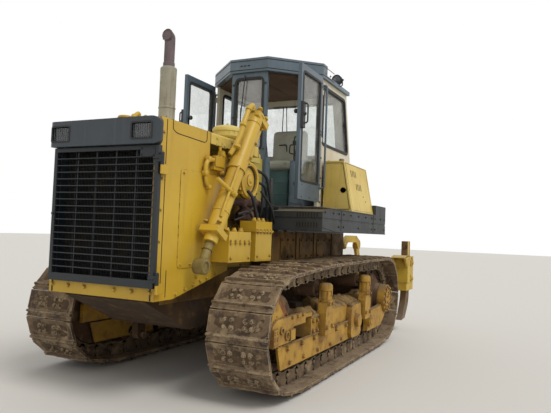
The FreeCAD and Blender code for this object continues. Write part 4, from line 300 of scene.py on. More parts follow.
@dataclass(frozen=True)
class Glass:
    """Flat or pressed glass with dust: nearly clear, greyer where dust lies.

    Args:
        name: What it is and how it was made.
        tint: The sRGB colour of what shines through.
        dust: The dust's sRGB colour.
        dust_share: A third of the most that the dust covers.
        gloss: The share of light that its face throws back.
    """

    name: str
    tint: str
    dust: str
    dust_share: float
    gloss: float = 0.12

    def material(self) -> bpy.types.Material:
        """Gives the pane's material, made once: thin glass, so the view passes straight through."""
        found = bpy.data.materials.get(self.name)
        if found:
            return found
        made = bpy.data.materials.new(self.name)
        tree = fresh_tree(made)
        place = add(tree, "ShaderNodeTexCoord").outputs["Object"]
        clear = add(tree, "ShaderNodeBsdfTransparent", {"Color": linear(self.tint)})
        shine = add(tree, "ShaderNodeBsdfGlossy", {"Roughness": 0.03})
        pane = add(tree, "ShaderNodeMixShader", {
            0: self.gloss, 1: clear.outputs["BSDF"], 2: shine.outputs["BSDF"]})
        film = add(tree, "ShaderNodeBsdfDiffuse", {"Color": linear(self.dust)})
        smears = add(tree, "ShaderNodeTexNoise", {
            "Vector": place, "Scale": 4.0, "Detail": 8.0, "Roughness": 0.65}).outputs["Fac"]
        share = add(tree, "ShaderNodeMapRange", {
            "Value": smears, "From Min": 0.35, "From Max": 0.8,
            "To Max": self.dust_share * 3}).outputs["Result"]
        dusty = add(tree, "ShaderNodeMixShader", {
            0: share, 1: pane.outputs["Shader"], 2: film.outputs["BSDF"]})
        add(tree, "ShaderNodeOutputMaterial", {"Surface": dusty.outputs["Shader"]})
        return made


# Two-pack alkyd enamel, sprayed on pressed sheet: a low sheen that the sun has chalked, with
# fine dust on ledges, rust where edges have lost their paint and thin brown runs below seams.
YELLOW_ENAMEL = Finish(
    "alkyd_enamel_yellow_sprayed", "#ceaa2f", "#bd9624", 0.9, rough=0.48, coat=0.15, grain=0.005,
    grain_depth=0.0002, dents=0.010, layers=(
        Layer("#9c7c26", Where.RUNS, 0.07, 0.54, 0.25, rough=0.7, most=0.4),
        # Darker in the hollows: grime with painted shade.
        Layer("#8d6f3c", Where.HOLLOWS, 0.05, 0.34, 0.2, reach=0.06, most=0.85),
        Layer("#c4a95f", Where.TOPS, 0.22, 0.36, 0.25, rough=0.95, most=0.75),
        Layer("#5d3a1e", Where.EDGES, 0.03, 0.50, 0.1, rough=0.85, reach=0.007),
        Layer("#6b4524", Where.ANYWHERE, 0.018, 0.70, 0.05, rough=0.85),
    ))

# The same enamel on the hull behind the tracks, turned brown by mud and oil, and darker still with painted
# shade under the fenders, most of all in its hollows.
MUD_AND_SHADE_ENAMEL = Finish(
    "alkyd_enamel_yellow_mud_and_painted_shade", "#8a641d", "#573f18", 0.45, rough=0.7, grain=0.006,
    grain_depth=0.0006, dents=0.006, layers=(
        Layer("#4a3419", Where.ANYWHERE, 0.25, 0.44, 0.2, rough=0.95, relief=0.004),
        Layer("#33240f", Where.HOLLOWS, 0.06, 0.3, 0.2, reach=0.12, most=0.9),
        Layer("#7d6544", Where.TOPS, 0.12, 0.3, 0.2, rough=1.0, relief=0.006),
        Layer("#7d6544", Where.LOW, 0.2, 0.36, 0.25, rough=1.0, reach=1.1),
    ))

# Enamel on the track frame: scraped by stones down to rust, with dried soil on every ledge.
SCRAPED_ENAMEL = Finish(
    "alkyd_enamel_yellow_scraped_by_stones", "#b98f30", "#9a7224", 0.22, rough=0.62, grain=0.006,
    grain_depth=0.0008, dents=0.006, layers=(
        Layer("#855a28", Where.ANYWHERE, 0.10, 0.50, 0.20, rough=0.85, relief=0.001, most=0.8),
        Layer("#8f6f42", Where.ANYWHERE, 0.30, 0.50, 0.22, rough=1.0, relief=0.005, most=0.9),
        # Darker in the hollows: grime with painted shade.
        Layer("#4b3218", Where.HOLLOWS, 0.05, 0.3, 0.25, reach=0.09, most=0.9),
        Layer("#8a7350", Where.TOPS, 0.1, 0.28, 0.15, rough=1.0, relief=0.008),
        Layer("#5b3a1f", Where.EDGES, 0.03, 0.42, 0.12, rough=0.7, reach=0.012),
    ))

# Black enamel over pressed steel, with a grey bloom of dust.
BLACK_ENAMEL = Finish(
    "alkyd_enamel_black_sprayed", "#2d3840", "#242d33", 0.5, rough=0.42, coat=0.1, grain=0.005,
    grain_depth=0.0002, dents=0.006, layers=(
        Layer("#4b5052", Where.RUNS, 0.06, 0.5, 0.25, rough=0.8, most=0.5),
        Layer("#6a665c", Where.TOPS, 0.2, 0.34, 0.3, rough=1.0, most=0.7),
        Layer("#57432c", Where.EDGES, 0.03, 0.55, 0.1, rough=0.9, reach=0.006),
        Layer("#4a3b29", Where.ANYWHERE, 0.02, 0.70, 0.05, rough=0.9),
    ))

# Blue-grey enamel of the cab's frame.
CAB_ENAMEL = Finish(
    "alkyd_enamel_blue_grey_sprayed", "#5a6b77", "#4c5b66", 0.5, rough=0.4, coat=0.15, grain=0.005,
    grain_depth=0.0002, dents=0.004, layers=(
        Layer("#6f777a", Where.RUNS, 0.05, 0.5, 0.25, rough=0.7, most=0.5),
        Layer("#8d9190", Where.TOPS, 0.25, 0.3, 0.3, rough=0.9, most=0.85),
        Layer("#6b5a45", Where.EDGES, 0.03, 0.57, 0.1, rough=0.9, reach=0.005),
    ))

# Cream enamel of the cab's rear half, chalky with age.
CREAM_ENAMEL = Finish(
    "alkyd_enamel_cream_sprayed", "#dcd6c2", "#cfc6ac", 0.6, rough=0.5, grain=0.005, grain_depth=0.0002,
    dents=0.005, layers=(
        Layer("#a99a7c", Where.RUNS, 0.04, 0.53, 0.2, rough=0.8, most=0.5),
        # Darker in the hollows: grime with painted shade.
        Layer("#8b7a5c", Where.HOLLOWS, 0.05, 0.35, 0.2, reach=0.05, most=0.7),
        Layer("#7a5a36", Where.EDGES, 0.03, 0.56, 0.1, rough=0.9, reach=0.006),
    ))

# Pale yellow enamel of the tanks' outer sheets: the paleness is painted sunlight on their sides; their
# hollows are darker, grime with painted shade.
SUNLIT_TANK_ENAMEL = Finish(
    "alkyd_enamel_yellow_painted_sunlight", "#d9bf6a", "#cdaf52", 0.5, rough=0.5, grain=0.005, grain_depth=0.0002,
    dents=0.006, layers=(
        Layer("#a5884a", Where.RUNS, 0.05, 0.54, 0.18, rough=0.75, most=0.55),
        Layer("#80683c", Where.HOLLOWS, 0.05, 0.36, 0.2, reach=0.05, most=0.8),
        Layer("#5d3a1e", Where.EDGES, 0.03, 0.52, 0.1, rough=0.85, reach=0.007),
    ))

# Rolled and hardened track steel: brown oxide under dry soil, with bar tips rubbed bare.
TRACK_STEEL = Finish(
    "rolled_boron_steel_dry_soil", "#7d684f", "#5f4b37", 0.16, rough=0.85, grain=0.008, grain_depth=0.0020,
    edge=0.008, layers=(
        Layer("#46362a", Where.ANYWHERE, 0.11, 0.49, 0.12, rough=0.8, relief=0.004),
        Layer("#9c8768", Where.ANYWHERE, 0.19, 0.52, 0.12, rough=1.0, relief=0.007),
        # Darker in the hollows: grime with painted shade.
        Layer("#2e231a", Where.HOLLOWS, 0.04, 0.3, 0.3, reach=0.07, most=0.9),
        Layer("#8e7b62", Where.TOPS, 0.10, 0.34, 0.2, rough=1.0, relief=0.004, most=0.8),
        Layer("#bda987", Where.EDGES, 0.05, 0.36, 0.20, rough=0.9, reach=0.014, most=0.9),
    ))

# Cast steel wheels and rollers: rust under caked dust.
CAST_STEEL = Finish(
    "cast_steel_rusted", "#5a4029", "#46301f", 0.14, rough=0.85, grain=0.007, grain_depth=0.0012, layers=(
        Layer("#7b6448", Where.ANYWHERE, 0.14, 0.50, 0.14, rough=1.0, relief=0.004),
        # Darker in the hollows: grime with painted shade.
        Layer("#2a1e14", Where.HOLLOWS, 0.04, 0.3, 0.3, reach=0.08, most=0.9),
        Layer("#86705a", Where.TOPS, 0.1, 0.32, 0.2, rough=1.0, relief=0.004),
    ))

# Dry clay soil caked on the frames.
SOIL = Finish(
    "dried_clay_soil_caked", "#94794a", "#765c36", 0.12, rough=1.0, grain=0.010, grain_depth=0.004, layers=(
        Layer("#4f3d27", Where.ANYWHERE, 0.08, 0.52, 0.15, rough=1.0, relief=0.008),
        Layer("#9d8865", Where.ANYWHERE, 0.05, 0.56, 0.12, rough=1.0, relief=0.004),
    ))

# Aluminised muffler shell, dulled to beige-grey by heat.
MUFFLER_SHEET = Finish(
    "aluminised_steel_sheet_heat_dulled", "#aaa794", "#959180", 0.25, rough=0.6, metal=0.25, grain=0.004,
    grain_depth=0.0003, layers=(
        Layer("#7b5d43", Where.RUNS, 0.03, 0.55, 0.14, rough=0.9, most=0.8),
        Layer("#6a4a35", Where.ANYWHERE, 0.03, 0.62, 0.08, rough=0.9),
    ))

# Bare steel pipe, rusted purple-brown by heat.
RUSTY_PIPE = Finish(
    "mild_steel_tube_heat_rusted", "#66504a", "#4d3a35", 0.08, rough=0.85, metal=0.1, grain=0.004,
    grain_depth=0.0008, layers=(
        Layer("#7d5138", Where.ANYWHERE, 0.05, 0.5, 0.14, rough=0.95, relief=0.001),
        Layer("#3b2c28", Where.ANYWHERE, 0.03, 0.58, 0.1, rough=0.9),
    ))

# Steel shanks: soil and rust, ground bright near the points.
GROUND_STEEL = Finish(
    "forged_steel_worn_by_soil", "#6e5634", "#553f26", 0.2, rough=0.75, grain=0.006, grain_depth=0.001,
    layers=(
        Layer("#8b6f3a", Where.ANYWHERE, 0.2, 0.52, 0.12, rough=0.7),
        Layer("#463320", Where.ANYWHERE, 0.10, 0.54, 0.12, rough=0.9, relief=0.002),
        Layer("#7f7162", Where.LOW, 0.15, 0.30, 0.2, rough=0.4, metal=0.7, reach=0.6, most=0.8),
    ))

# Hard chrome on the rods, with an oily film of dust.
CHROMED_ROD = Finish(
    "hard_chrome_on_steel_ground", "#b9b3a4", "#9c9483", 0.3, rough=0.24, metal=0.9, grain=0.003,
    grain_depth=0.00005, layers=(
        Layer("#8a7340", Where.RUNS, 0.05, 0.46, 0.2, rough=0.7, most=0.8),
        Layer("#6b5029", Where.ANYWHERE, 0.03, 0.62, 0.08, rough=0.9),
    ))

# Copper and brass core, blackened, with its cooling fins as thin upright lines.
RADIATOR_CORE = Finish(
    "radiator_core_black_japanned", "#17191b", "#24241f", 0.3, rough=0.8, grain=0.004, grain_depth=0.002,
    layers=(
        Layer("#3c3427", Where.ANYWHERE, 0.25, 0.5, 0.2, rough=1.0),
    ))

# Carbon-black rubber of seals, boots and elbows.
RUBBER = Finish(
    "moulded_black_rubber", "#1c1d1d", "#262625", 0.2, rough=0.65, grain=0.003, grain_depth=0.0002,
    edge=0.004,
    layers=(Layer("#57534a", Where.TOPS, 0.06, 0.4, 0.2, rough=1.0, most=0.6),))

# Expanded vinyl on foam, pressed with a leather grain.
SEAT_VINYL = Finish(
    "expanded_vinyl_beige_embossed", "#c4c2b0", "#adab99", 0.25, rough=0.55, grain=0.003, grain_depth=0.0006,
    edge=0.010, layers=(
        # Darker in the creases: grime with painted shade.
        Layer("#6f6a58", Where.HOLLOWS, 0.04, 0.32, 0.2, reach=0.05, most=0.8),
        Layer("#7d7562", Where.ANYWHERE, 0.12, 0.54, 0.2, rough=0.7, most=0.7),
    ))

# The same cloth-backed vinyl in teal on the seat's base: a softer sheen than paint, dusty on top.
TEAL_VINYL = Finish(
    "expanded_vinyl_teal_embossed", "#6b8a84", "#52716d", 0.2, rough=0.55, grain=0.003, grain_depth=0.0006,
    edge=0.010, layers=(Layer("#7a7466", Where.TOPS, 0.1, 0.42, 0.2, rough=0.9, most=0.7),))

# Grey hammered enamel on the consoles.
CONSOLE_ENAMEL = Finish(
    "hammered_enamel_blue_grey", "#8796a0", "#74838d", 0.3, rough=0.5, grain=0.006, grain_depth=0.0006,
    layers=(Layer("#4f5254", Where.ANYWHERE, 0.1, 0.54, 0.15, rough=0.8),
            Layer("#8b8678", Where.TOPS, 0.12, 0.38, 0.2, rough=1.0, most=0.7)))

# Brown hardboard lining of the roof.
HEADLINER = Finish(
    "pressed_hardboard_brown", "#6a4d33", "#5a3f29", 0.3, rough=0.8, grain=0.003, grain_depth=0.0004)

# Moulded black plastic of the work lamps.
BLACK_PLASTIC = Finish(
    "moulded_polypropylene_black", "#222527", "#2b2d2e", 0.2, rough=0.5, grain=0.002, grain_depth=0.0002,
    layers=(Layer("#605c52", Where.TOPS, 0.08, 0.4, 0.2, rough=1.0, most=0.7),))

# Zinc-plated screws gone dull.
DULL_ZINC = Finish(
    "zinc_plated_steel_dulled", "#8e8775", "#6f6450", 0.04, rough=0.6, metal=0.4, grain=0.002,
    grain_depth=0.0002, edge=0.002,
    layers=(Layer("#6b4e30", Where.ANYWHERE, 0.02, 0.5, 0.15, rough=0.9),))

# Satin black enamel on the grille's bars: darker than the band, with mud dust on the bars' tops.
GRILLE_ENAMEL = Finish(
    "alkyd_enamel_satin_black_dipped", "#22272b", "#1b1f22", 0.4, rough=0.5, grain=0.005,
    grain_depth=0.0002, layers=(
        Layer("#4a463c", Where.TOPS, 0.15, 0.3, 0.3, rough=1.0, most=0.6),
        Layer("#3a2f22", Where.EDGES, 0.03, 0.5, 0.1, rough=0.9, reach=0.004),
    ))

# The hood's enamel, a chalky cream: a painted reflection of the sky on surfaces turned up to it, paler still
# on its tops; its hollows are darker, grime with painted shade.
SKY_SHEEN_ENAMEL = Finish(
    "alkyd_enamel_yellow_painted_sky_reflection", "#d9c46e", "#ceb14e", 0.6, rough=0.6, grain=0.005,
    grain_depth=0.0002, dents=0.006, layers=(
        Layer("#9c8350", Where.RUNS, 0.05, 0.56, 0.15, rough=0.8, most=0.6),
        Layer("#a08a5c", Where.HOLLOWS, 0.05, 0.3, 0.2, reach=0.05, most=0.8),
        Layer("#dccb97", Where.TOPS, 0.3, 0.34, 0.3, rough=1.0, most=0.8),
        Layer("#6b4524", Where.EDGES, 0.03, 0.5, 0.1, rough=0.85, reach=0.006),
        Layer("#6b4524", Where.ANYWHERE, 0.015, 0.71, 0.04, rough=0.9),
    ))

# Dark enamel on the fenders: brown dust lies on it; its rim is pale, paint scraped by boots and stones with a
# painted highlight, and its hollows are darker, grime with painted shade.
FENDER_ENAMEL = Finish(
    "alkyd_enamel_black_under_dust", "#33383a", "#272a2a", 0.4, rough=0.6, grain=0.005,
    grain_depth=0.0003, dents=0.010, layers=(
        Layer("#4a4232", Where.RUNS, 0.09, 0.50, 0.25, rough=0.95, most=0.7),
        Layer("#6f6248", Where.TOPS, 0.2, 0.3, 0.25, rough=1.0, relief=0.001, most=0.85),
        Layer("#231a0f", Where.HOLLOWS, 0.1, 0.3, 0.2, reach=0.07, most=0.8),
        Layer("#8d7648", Where.EDGES, 0.05, 0.52, 0.15, rough=0.8, reach=0.006, most=0.8),
    ))

# Yellow engine enamel that oil mist has browned; its corners are painted darker, grime with painted shade.
OILY_ENAMEL = Finish(
    "alkyd_enamel_yellow_oil_soaked", "#a8853a", "#80642b", 0.3, rough=0.5, coat=0.15, grain=0.006,
    grain_depth=0.0006, layers=(
        Layer("#4d3a1c", Where.HOLLOWS, 0.06, 0.28, 0.2, rough=0.9, reach=0.10, most=0.9),
        Layer("#3f2f18", Where.RUNS, 0.05, 0.54, 0.15, rough=0.45, most=0.8),
        Layer("#8f7a52", Where.TOPS, 0.1, 0.3, 0.2, rough=1.0, relief=0.002),
        Layer("#5f4a2a", Where.ANYWHERE, 0.09, 0.6, 0.12, rough=0.9),
    ))

# Ripper enamel: bright on the parts that stones miss, with chips, brown dust, and hollows darkened by weld
# soot and painted shade.
RIPPER_ENAMEL = Finish(
    "alkyd_enamel_yellow_chipped", "#cfad38", "#b3902a", 0.35, rough=0.55, grain=0.006,
    grain_depth=0.0005, dents=0.006, layers=(
        Layer("#8f6a30", Where.ANYWHERE, 0.12, 0.54, 0.2, rough=0.9, relief=0.001, most=0.8),
        Layer("#6a4a23", Where.HOLLOWS, 0.06, 0.3, 0.2, reach=0.08, most=0.85),
        Layer("#bda778", Where.TOPS, 0.15, 0.3, 0.25, rough=1.0, relief=0.002, most=0.9),
        Layer("#553518", Where.EDGES, 0.03, 0.44, 0.12, rough=0.8, reach=0.009),
    ))

# Mud baked on to the belly plates until hardly any paint shows; its dark brown is also painted shade under
# the machine, darkest in the hollows.
BELLY_MUD_AND_SHADE = Finish(
    "dried_mud_and_painted_shade_on_belly_plate", "#3f2b13", "#2c1e0e", 0.3, rough=1.0, grain=0.008, grain_depth=0.001, layers=(
        Layer("#57401f", Where.ANYWHERE, 0.10, 0.5, 0.2, rough=1.0, relief=0.006),
        Layer("#2a1d0e", Where.HOLLOWS, 0.1, 0.3, 0.2, reach=0.15, most=0.9),
    ))

# Dust and shade in the gap of a panel seam; also the painted shade inside slots and the tail pipe's mouth.
SEAM_DIRT_AND_SHADE = Finish("panel_seam_gap_dirt_and_painted_shade", "#2a2418", "#1d1912", 0.1, rough=0.95)

# Dark lens over an unlit reflector: grey and ribbed, as it looks from outside by day.
LAMP_DARK = Finish("lamp_lens_over_dark_reflector", "#474e53", "#363c41", 0.05, rough=0.22, coat=0.5)

# The rod's end eye: forged steel with old paint and a brown film.
EYE_STEEL = Finish(
    "steel_forged_rod_eye_painted", "#8b7a3f", "#6a5a31", 0.12, rough=0.6, grain=0.005, grain_depth=0.0005,
    layers=(
        # Darker in the hollows: grime with painted shade.
        Layer("#4f3a1f", Where.HOLLOWS, 0.04, 0.3, 0.2, reach=0.05, most=0.9),
        Layer("#5c4425", Where.EDGES, 0.03, 0.42, 0.12, rough=0.8, reach=0.006),
    ))

# Thin guard plate that has lost its paint: orange-brown rust with lighter dust.
RUST_PLATE = Finish(
    "steel_plate_rusted_bare", "#8b5526", "#6a3f1f", 0.15, rough=0.9, grain=0.004, grain_depth=0.0008,
    layers=(Layer("#a07a4c", Where.ANYWHERE, 0.12, 0.52, 0.2, rough=1.0, most=0.8),))

# The tail pipe's steel, gone grey-violet with heat.
HEAT_PIPE = Finish(
    "steel_pipe_heat_scaled", "#6f6063", "#5d5053", 0.12, rough=0.75, grain=0.004, grain_depth=0.0005,
    layers=(
        Layer("#7b5547", Where.RUNS, 0.03, 0.54, 0.2, rough=0.9, most=0.6),
        Layer("#8b8583", Where.TOPS, 0.05, 0.3, 0.2, rough=0.9, most=0.6),
    ))

# Dark damp clay pressed into the shoes, dried pale at its rims.
TRACK_SOIL = Finish(
    "clay_soil_pressed_into_shoes", "#5f4d39", "#4a3b2b", 0.10, rough=1.0, grain=0.009, grain_depth=0.003,
    layers=(
        Layer("#8b775b", Where.ANYWHERE, 0.07, 0.52, 0.14, rough=1.0, relief=0.004),
        Layer("#a08b6b", Where.EDGES, 0.05, 0.42, 0.18, rough=1.0, reach=0.012, most=0.8),
    ))

# Toughened flat panes: all but clear, so the sky behind them stays bright, with a thin pale film of dust.
PANE = Glass("toughened_float_glass_dusty", "#fafcfb", "#e4e3dc", 0.07)

# Pressed lamp glass: greyer, since no light comes back from the dark housing behind it.
LAMP_LENS = Glass("moulded_lamp_glass_fluted", "#8d9497", "#6d6c66", 0.06)

NODE_FINISHES: dict[str, Finish | Glass] = {
    "track_left": TRACK_STEEL, "track_right": TRACK_STEEL, "sprockets": CAST_STEEL, "idlers": CAST_STEEL,
    "bottom_rollers": CAST_STEEL, "carrier_rollers": CAST_STEEL, "track_frames": SCRAPED_ENAMEL,
    "final_drives": CAST_STEEL, "main_frame": MUD_AND_SHADE_ENAMEL, "equalizer_bar": BELLY_MUD_AND_SHADE,
    "under_guard": BELLY_MUD_AND_SHADE, "engine_block": OILY_ENAMEL, "radiator_core": RADIATOR_CORE,
    "radiator_guard": YELLOW_ENAMEL, "nose_band": BLACK_ENAMEL, "head_lamps": LAMP_LENS,
    "grille_door": GRILLE_ENAMEL, "hood": SKY_SHEEN_ENAMEL, "exhaust_stack": MUFFLER_SHEET,
    "precleaner": SKY_SHEEN_ENAMEL, "air_cleaner": YELLOW_ENAMEL, "side_boxes": YELLOW_ENAMEL,
    "cylinder_yokes": YELLOW_ENAMEL, "lift_tube_left": YELLOW_ENAMEL, "lift_tube_right": YELLOW_ENAMEL,
    "lift_rod_left": EYE_STEEL, "lift_rod_right": EYE_STEEL, "fender_left": FENDER_ENAMEL,
    "fender_right": FENDER_ENAMEL, "cab_floor": BLACK_ENAMEL, "cab_front": CAB_ENAMEL,
    "cab_side_left": CREAM_ENAMEL, "cab_side_right": CREAM_ENAMEL, "cab_rear": CREAM_ENAMEL,
    "cab_roof": CAB_ENAMEL, "cab_glass": PANE, "work_lamps": BLACK_PLASTIC, "door_left": CAB_ENAMEL,
    "door_right": CAB_ENAMEL, "door_glass_left": PANE, "door_glass_right": PANE, "seat": SEAT_VINYL,
    "consoles": CONSOLE_ENAMEL, "side_tanks": SUNLIT_TANK_ENAMEL, "ripper_bracket": RIPPER_ENAMEL,
    "ripper_arms": RIPPER_ENAMEL, "ripper_links": RIPPER_ENAMEL, "ripper_beam": RIPPER_ENAMEL,
    "ripper_shanks": GROUND_STEEL, "ripper_tubes": YELLOW_ENAMEL, "ripper_rods": CHROMED_ROD,
}


def circle(centre: Vector, across: Vector, other: Vector, radius: float, sides: int) -> list[Vector]:
    """Points round a centre, on the plane of two unit vectors."""
    angles = (2 * math.pi * i / sides for i in range(sides))
    return [centre + (across * math.cos(a) + other * math.sin(a)) * radius for a in angles]


def turns(count: int, first: float = 0.0) -> list[float]:
    """Angles in equal steps round a full turn."""
    return [2 * math.pi * k / count + first for k in range(count)]


def around(centre: Point, radius: float, angles: Iterable[float], axis: str = "y") -> list[Point]:
    """Places round a centre.

    Args:
        centre: The middle.
        radius: How far they are from it.
        angles: Where they are, in radians.
        axis: "y" or "z", the axis that they stand round.

    Returns:
        The places, in the order of their angles.
    """
    x, y, z = centre
    if axis == "y":
        return [(x + radius * math.cos(a), y, z + radius * math.sin(a)) for a in angles]
    return [(x + radius * math.cos(a), y + radius * math.sin(a), z) for a in angles]


def rounded(corners: Sequence[tuple[float, float, float]], steps: int = 5) -> list[Flat]:
    """Rounds an outline's corners.

    Args:
        corners: (along, across, radius) of each corner.
        steps: Points round each corner.

    Returns:
        The outline's points.
    """
    found: list[Flat] = []
    count = len(corners)
    for i, (a, b, radius) in enumerate(corners):
        here = Vector((a, b))
        before = (Vector(corners[i - 1][:2]) - here).normalized()
        after = (Vector(corners[(i + 1) % count][:2]) - here).normalized()
        reach = radius / math.tan(before.angle(after) / 2)
        start, end = here + before * reach, here + after * reach
        for k in range(steps + 1):
            t = k / steps
            spot = start * (1 - t) ** 2 + here * (2 * t * (1 - t)) + end * t ** 2
            found.append((spot.x, spot.y))
    return found


def panel(low: Flat, high: Flat, radius: float, steps: int = 5) -> list[Flat]:
    """A rectangle with round corners, between two of its corners."""
    (a, b), (c, d) = low, high
    return rounded([(a, b, radius), (c, b, radius), (c, d, radius), (a, d, radius)], steps)


class Piece:
    """One visible piece in the making, from plates, bars, turned rings and bolts."""

    def __init__(self, name: str) -> None:
        """Starts an empty piece."""
        self.name = name
        self.mesh = bmesh.new()

    def skin(self, rings: Sequence[Sequence[Vector]], closed_ends: bool = True) -> None:
        """Joins equal rings of points into a skin.

        Args:
            rings: Rings of points, each a closed loop.
            closed_ends: Whether the ends get a face; if not, the last ring joins the first.
        """
        rows = [[self.mesh.verts.new(p) for p in ring] for ring in rings]
        for a, b in zip(rows, rows[1:] if closed_ends else rows[1:] + rows[:1]):
            for i in range(len(a)):
                j = (i + 1) % len(a)
                self.mesh.faces.new((a[i], a[j], b[j], b[i]))
        if closed_ends:
            self.mesh.faces.new(rows[0][::-1])
            self.mesh.faces.new(rows[-1])

    def prism(self, outline: Sequence[Flat], axis: str, low: float, high: float) -> None:
        """Adds a solid of one outline.

        Args:
            outline: Its corners on the plane across the axis.
            axis: "x", "y" or "z".
            low: Where it starts along the axis.
            high: Where it ends.
        """
        self.skin([[Vector(ORDERS[axis](a, b, level)) for a, b in outline] for level in (low, high)])

    def block(self, one: Point, other: Point) -> None:
        """Adds a box between two opposite corners."""
        (x0, x1), (y0, y1), (z0, z1) = (sorted(pair) for pair in zip(one, other))
        self.prism([(x0, y0), (x1, y0), (x1, y1), (x0, y1)], "z", z0, z1)

    def turned(self, start: Point, direction: Point, profile: Sequence[Flat], sides: int = 32) -> None:
        """Adds a turned form.

        Args:
            start: A point on its axis.
            direction: The way that its axis runs.
            profile: (metres along the axis, radius) pairs.
            sides: Faces round it.
        """
        way = Vector(direction).normalized()
        across = way.orthogonal().normalized()
        other = way.cross(across)
        self.skin([circle(Vector(start) + way * along, across, other, radius, sides)
                   for along, radius in profile])

    def collar(self, start: Point, direction: Point, span: Flat, radius: float, height: float, lip: float,
               sides: int) -> None:
        """Adds a band with sloping ends round an axis.

        Args:
            start: A point on the axis.
            direction: The way that it runs.
            span: Where the band starts and ends along it.
            radius: The ends' radius.
            height: How much higher its middle stands.
            lip: The length of each slope.
            sides: Faces round it.
        """
        low, high = span
        top = radius + height
        self.turned(start, direction, ((low, radius), (low + lip, top), (high - lip, top), (high, radius)),
                    sides)

    def bar(self, start: Point, end: Point, radius: float, sides: int = 20) -> None:
        """Adds a round bar with slightly broken edges between two points."""
        length = (Vector(end) - Vector(start)).length
        lip = min(radius * 0.18, length * 0.2)
        profile = ((0, radius - lip), (lip, radius), (length - lip, radius), (length, radius - lip))
        self.turned(start, Vector(end) - Vector(start), profile, sides)

    def pipe(self, route: Sequence[Point], radius: float, bend: float, sides: int = 12) -> None:
        """Adds a bent pipe.

        Args:
            route: Its corners.
            radius: Its outer radius.
            bend: How far before a corner it starts to turn.
            sides: Faces round it.
        """
        bend_steps = 6
        corners = [Vector(p) for p in route]
        path = [corners[0]]
        for before, here, after in zip(corners, corners[1:], corners[2:]):
            reach = min(bend, (before - here).length * 0.5, (after - here).length * 0.5)
            a = here + (before - here).normalized() * reach
            b = here + (after - here).normalized() * reach
            for i in range(bend_steps + 1):
                t = i / bend_steps
                path.append(a * (1 - t) ** 2 + here * (2 * t * (1 - t)) + b * t ** 2)
        path.append(corners[-1])
        side = (path[1] - path[0]).normalized().orthogonal().normalized()
        rings = []
        for i, point in enumerate(path):
            ahead = (path[min(i + 1, len(path) - 1)] - path[max(i - 1, 0)]).normalized()
            side = (side - ahead * side.dot(ahead)).normalized()
            rings.append(circle(point, side, ahead.cross(side), radius, sides))
        self.skin(rings)

    def bolts(self, places: Iterable[Point], direction: Point, across: float = 0.030) -> None:
        """Adds hexagon-head screws on washers.

        Args:
            places: Where they meet the surface.
            direction: The way that they point out of it.
            across: The head's width.
        """
        corner = across / math.sqrt(3)
        for spot in places:
            self.turned(spot, direction, (
                (-SCREW_SINK, across * WASHER_FOOT), (across * WASHER_TOP[0], across * WASHER_TOP[1])), 12)
            self.turned(spot, direction, [(across * up, corner * share) for up, share in HEX_HEAD], 6)

    def side_bolts(self, xs: Sequence[float], y: float, zs: Sequence[float], across: float) -> None:
        """Adds screws in columns and rows on a face that looks to the machine's left."""
        self.bolts([(x, y, z) for x in xs for z in zs], OUT, across)

    def front_bolts(self, x: float, ys: Sequence[float], zs: Sequence[float], across: float,
                    way: Point = AHEAD) -> None:
        """Adds screws in columns and rows on a face that looks ahead, or another way."""
        self.bolts([(x, y, z) for y in ys for z in zs], way, across)

    def bead(self, route: Sequence[Point], radius: float, step: float = 0.011) -> None:
        """Adds a weld bead: a half-buried ridge with a ripple at every step of the electrode.

        Args:
            route: Its corner points.
            radius: Its half width.
            step: Metres from ripple to ripple.
        """
        points = [Vector(p) for p in route]
        for start, end in zip(points, points[1:]):
            way = end - start
            count = max(2, round(way.length / step))
            profile = []
            for k in range(count * 2 + 1):
                ripple = (1.0 if k % 2 else 0.78) + 0.10 * noise.noise(start * 9 + Vector((k * 0.7, 0, 0)))
                profile.append((way.length * k / (count * 2), radius * ripple))
            self.turned(tuple(start), tuple(way), profile, 7)

    def ring(self, centre: Point, direction: Point, radius: float, thick: float) -> None:
        """Adds a round seal.

        Args:
            centre: Its centre.
            direction: Its axis.
            radius: From its centre to the middle of its section.
            thick: Its section's radius.
        """
        axis = Vector(direction).normalized()
        u = axis.orthogonal().normalized()
        v = axis.cross(u)
        rows = []
        for a in turns(40):
            out = u * math.cos(a) + v * math.sin(a)
            rows.append([Vector(centre) + out * (radius + thick * math.cos(b)) + axis * thick * math.sin(b)
                         for b in turns(8)])
        self.skin(rows, closed_ends=False)

    def frame_strip(self, outline: Sequence[Flat], axis: str, low: float, high: float, width: float) -> None:
        """Adds a rubber seal or trim strip round a window.

        Args:
            outline: The window's corners, in order.
            axis: The axis across the window.
            low: Where the strip starts along the axis.
            high: Where it ends.
            width: How wide it is.
        """
        sharpest = 0.4
        centre = Vector((sum(a for a, _ in outline), sum(b for _, b in outline))) / len(outline)
        outer, inner = [], []
        for i in range(len(outline)):
            here = Vector(outline[i])
            before = (here - Vector(outline[i - 1])).normalized()
            after = (Vector(outline[(i + 1) % len(outline)]) - here).normalized()
            normal = Vector((before.y + after.y, -before.x - after.x))
            if normal.dot(here - centre) < 0:
                normal.negate()
            normal = normal.normalized() / max(math.cos(before.angle(after) / 2), sharpest)
            outer.append(here + normal * width / 2)
            inner.append(here - normal * width / 2)
        loops = ((outer, low), (outer, high), (inner, high), (inner, low))
        self.skin([[Vector(ORDERS[axis](p.x, p.y, level)) for p in loop] for loop, level in loops],
                  closed_ends=False)

    def sheet(self, rows: Sequence[Sequence[Vector]]) -> None:
        """Adds an open skin over rows of points."""
        made = [[self.mesh.verts.new(p) for p in row] for row in rows]
        for a, b in zip(made, made[1:]):
            for j in range(len(a) - 1):
                self.mesh.faces.new((a[j], b[j], b[j + 1], a[j + 1]))

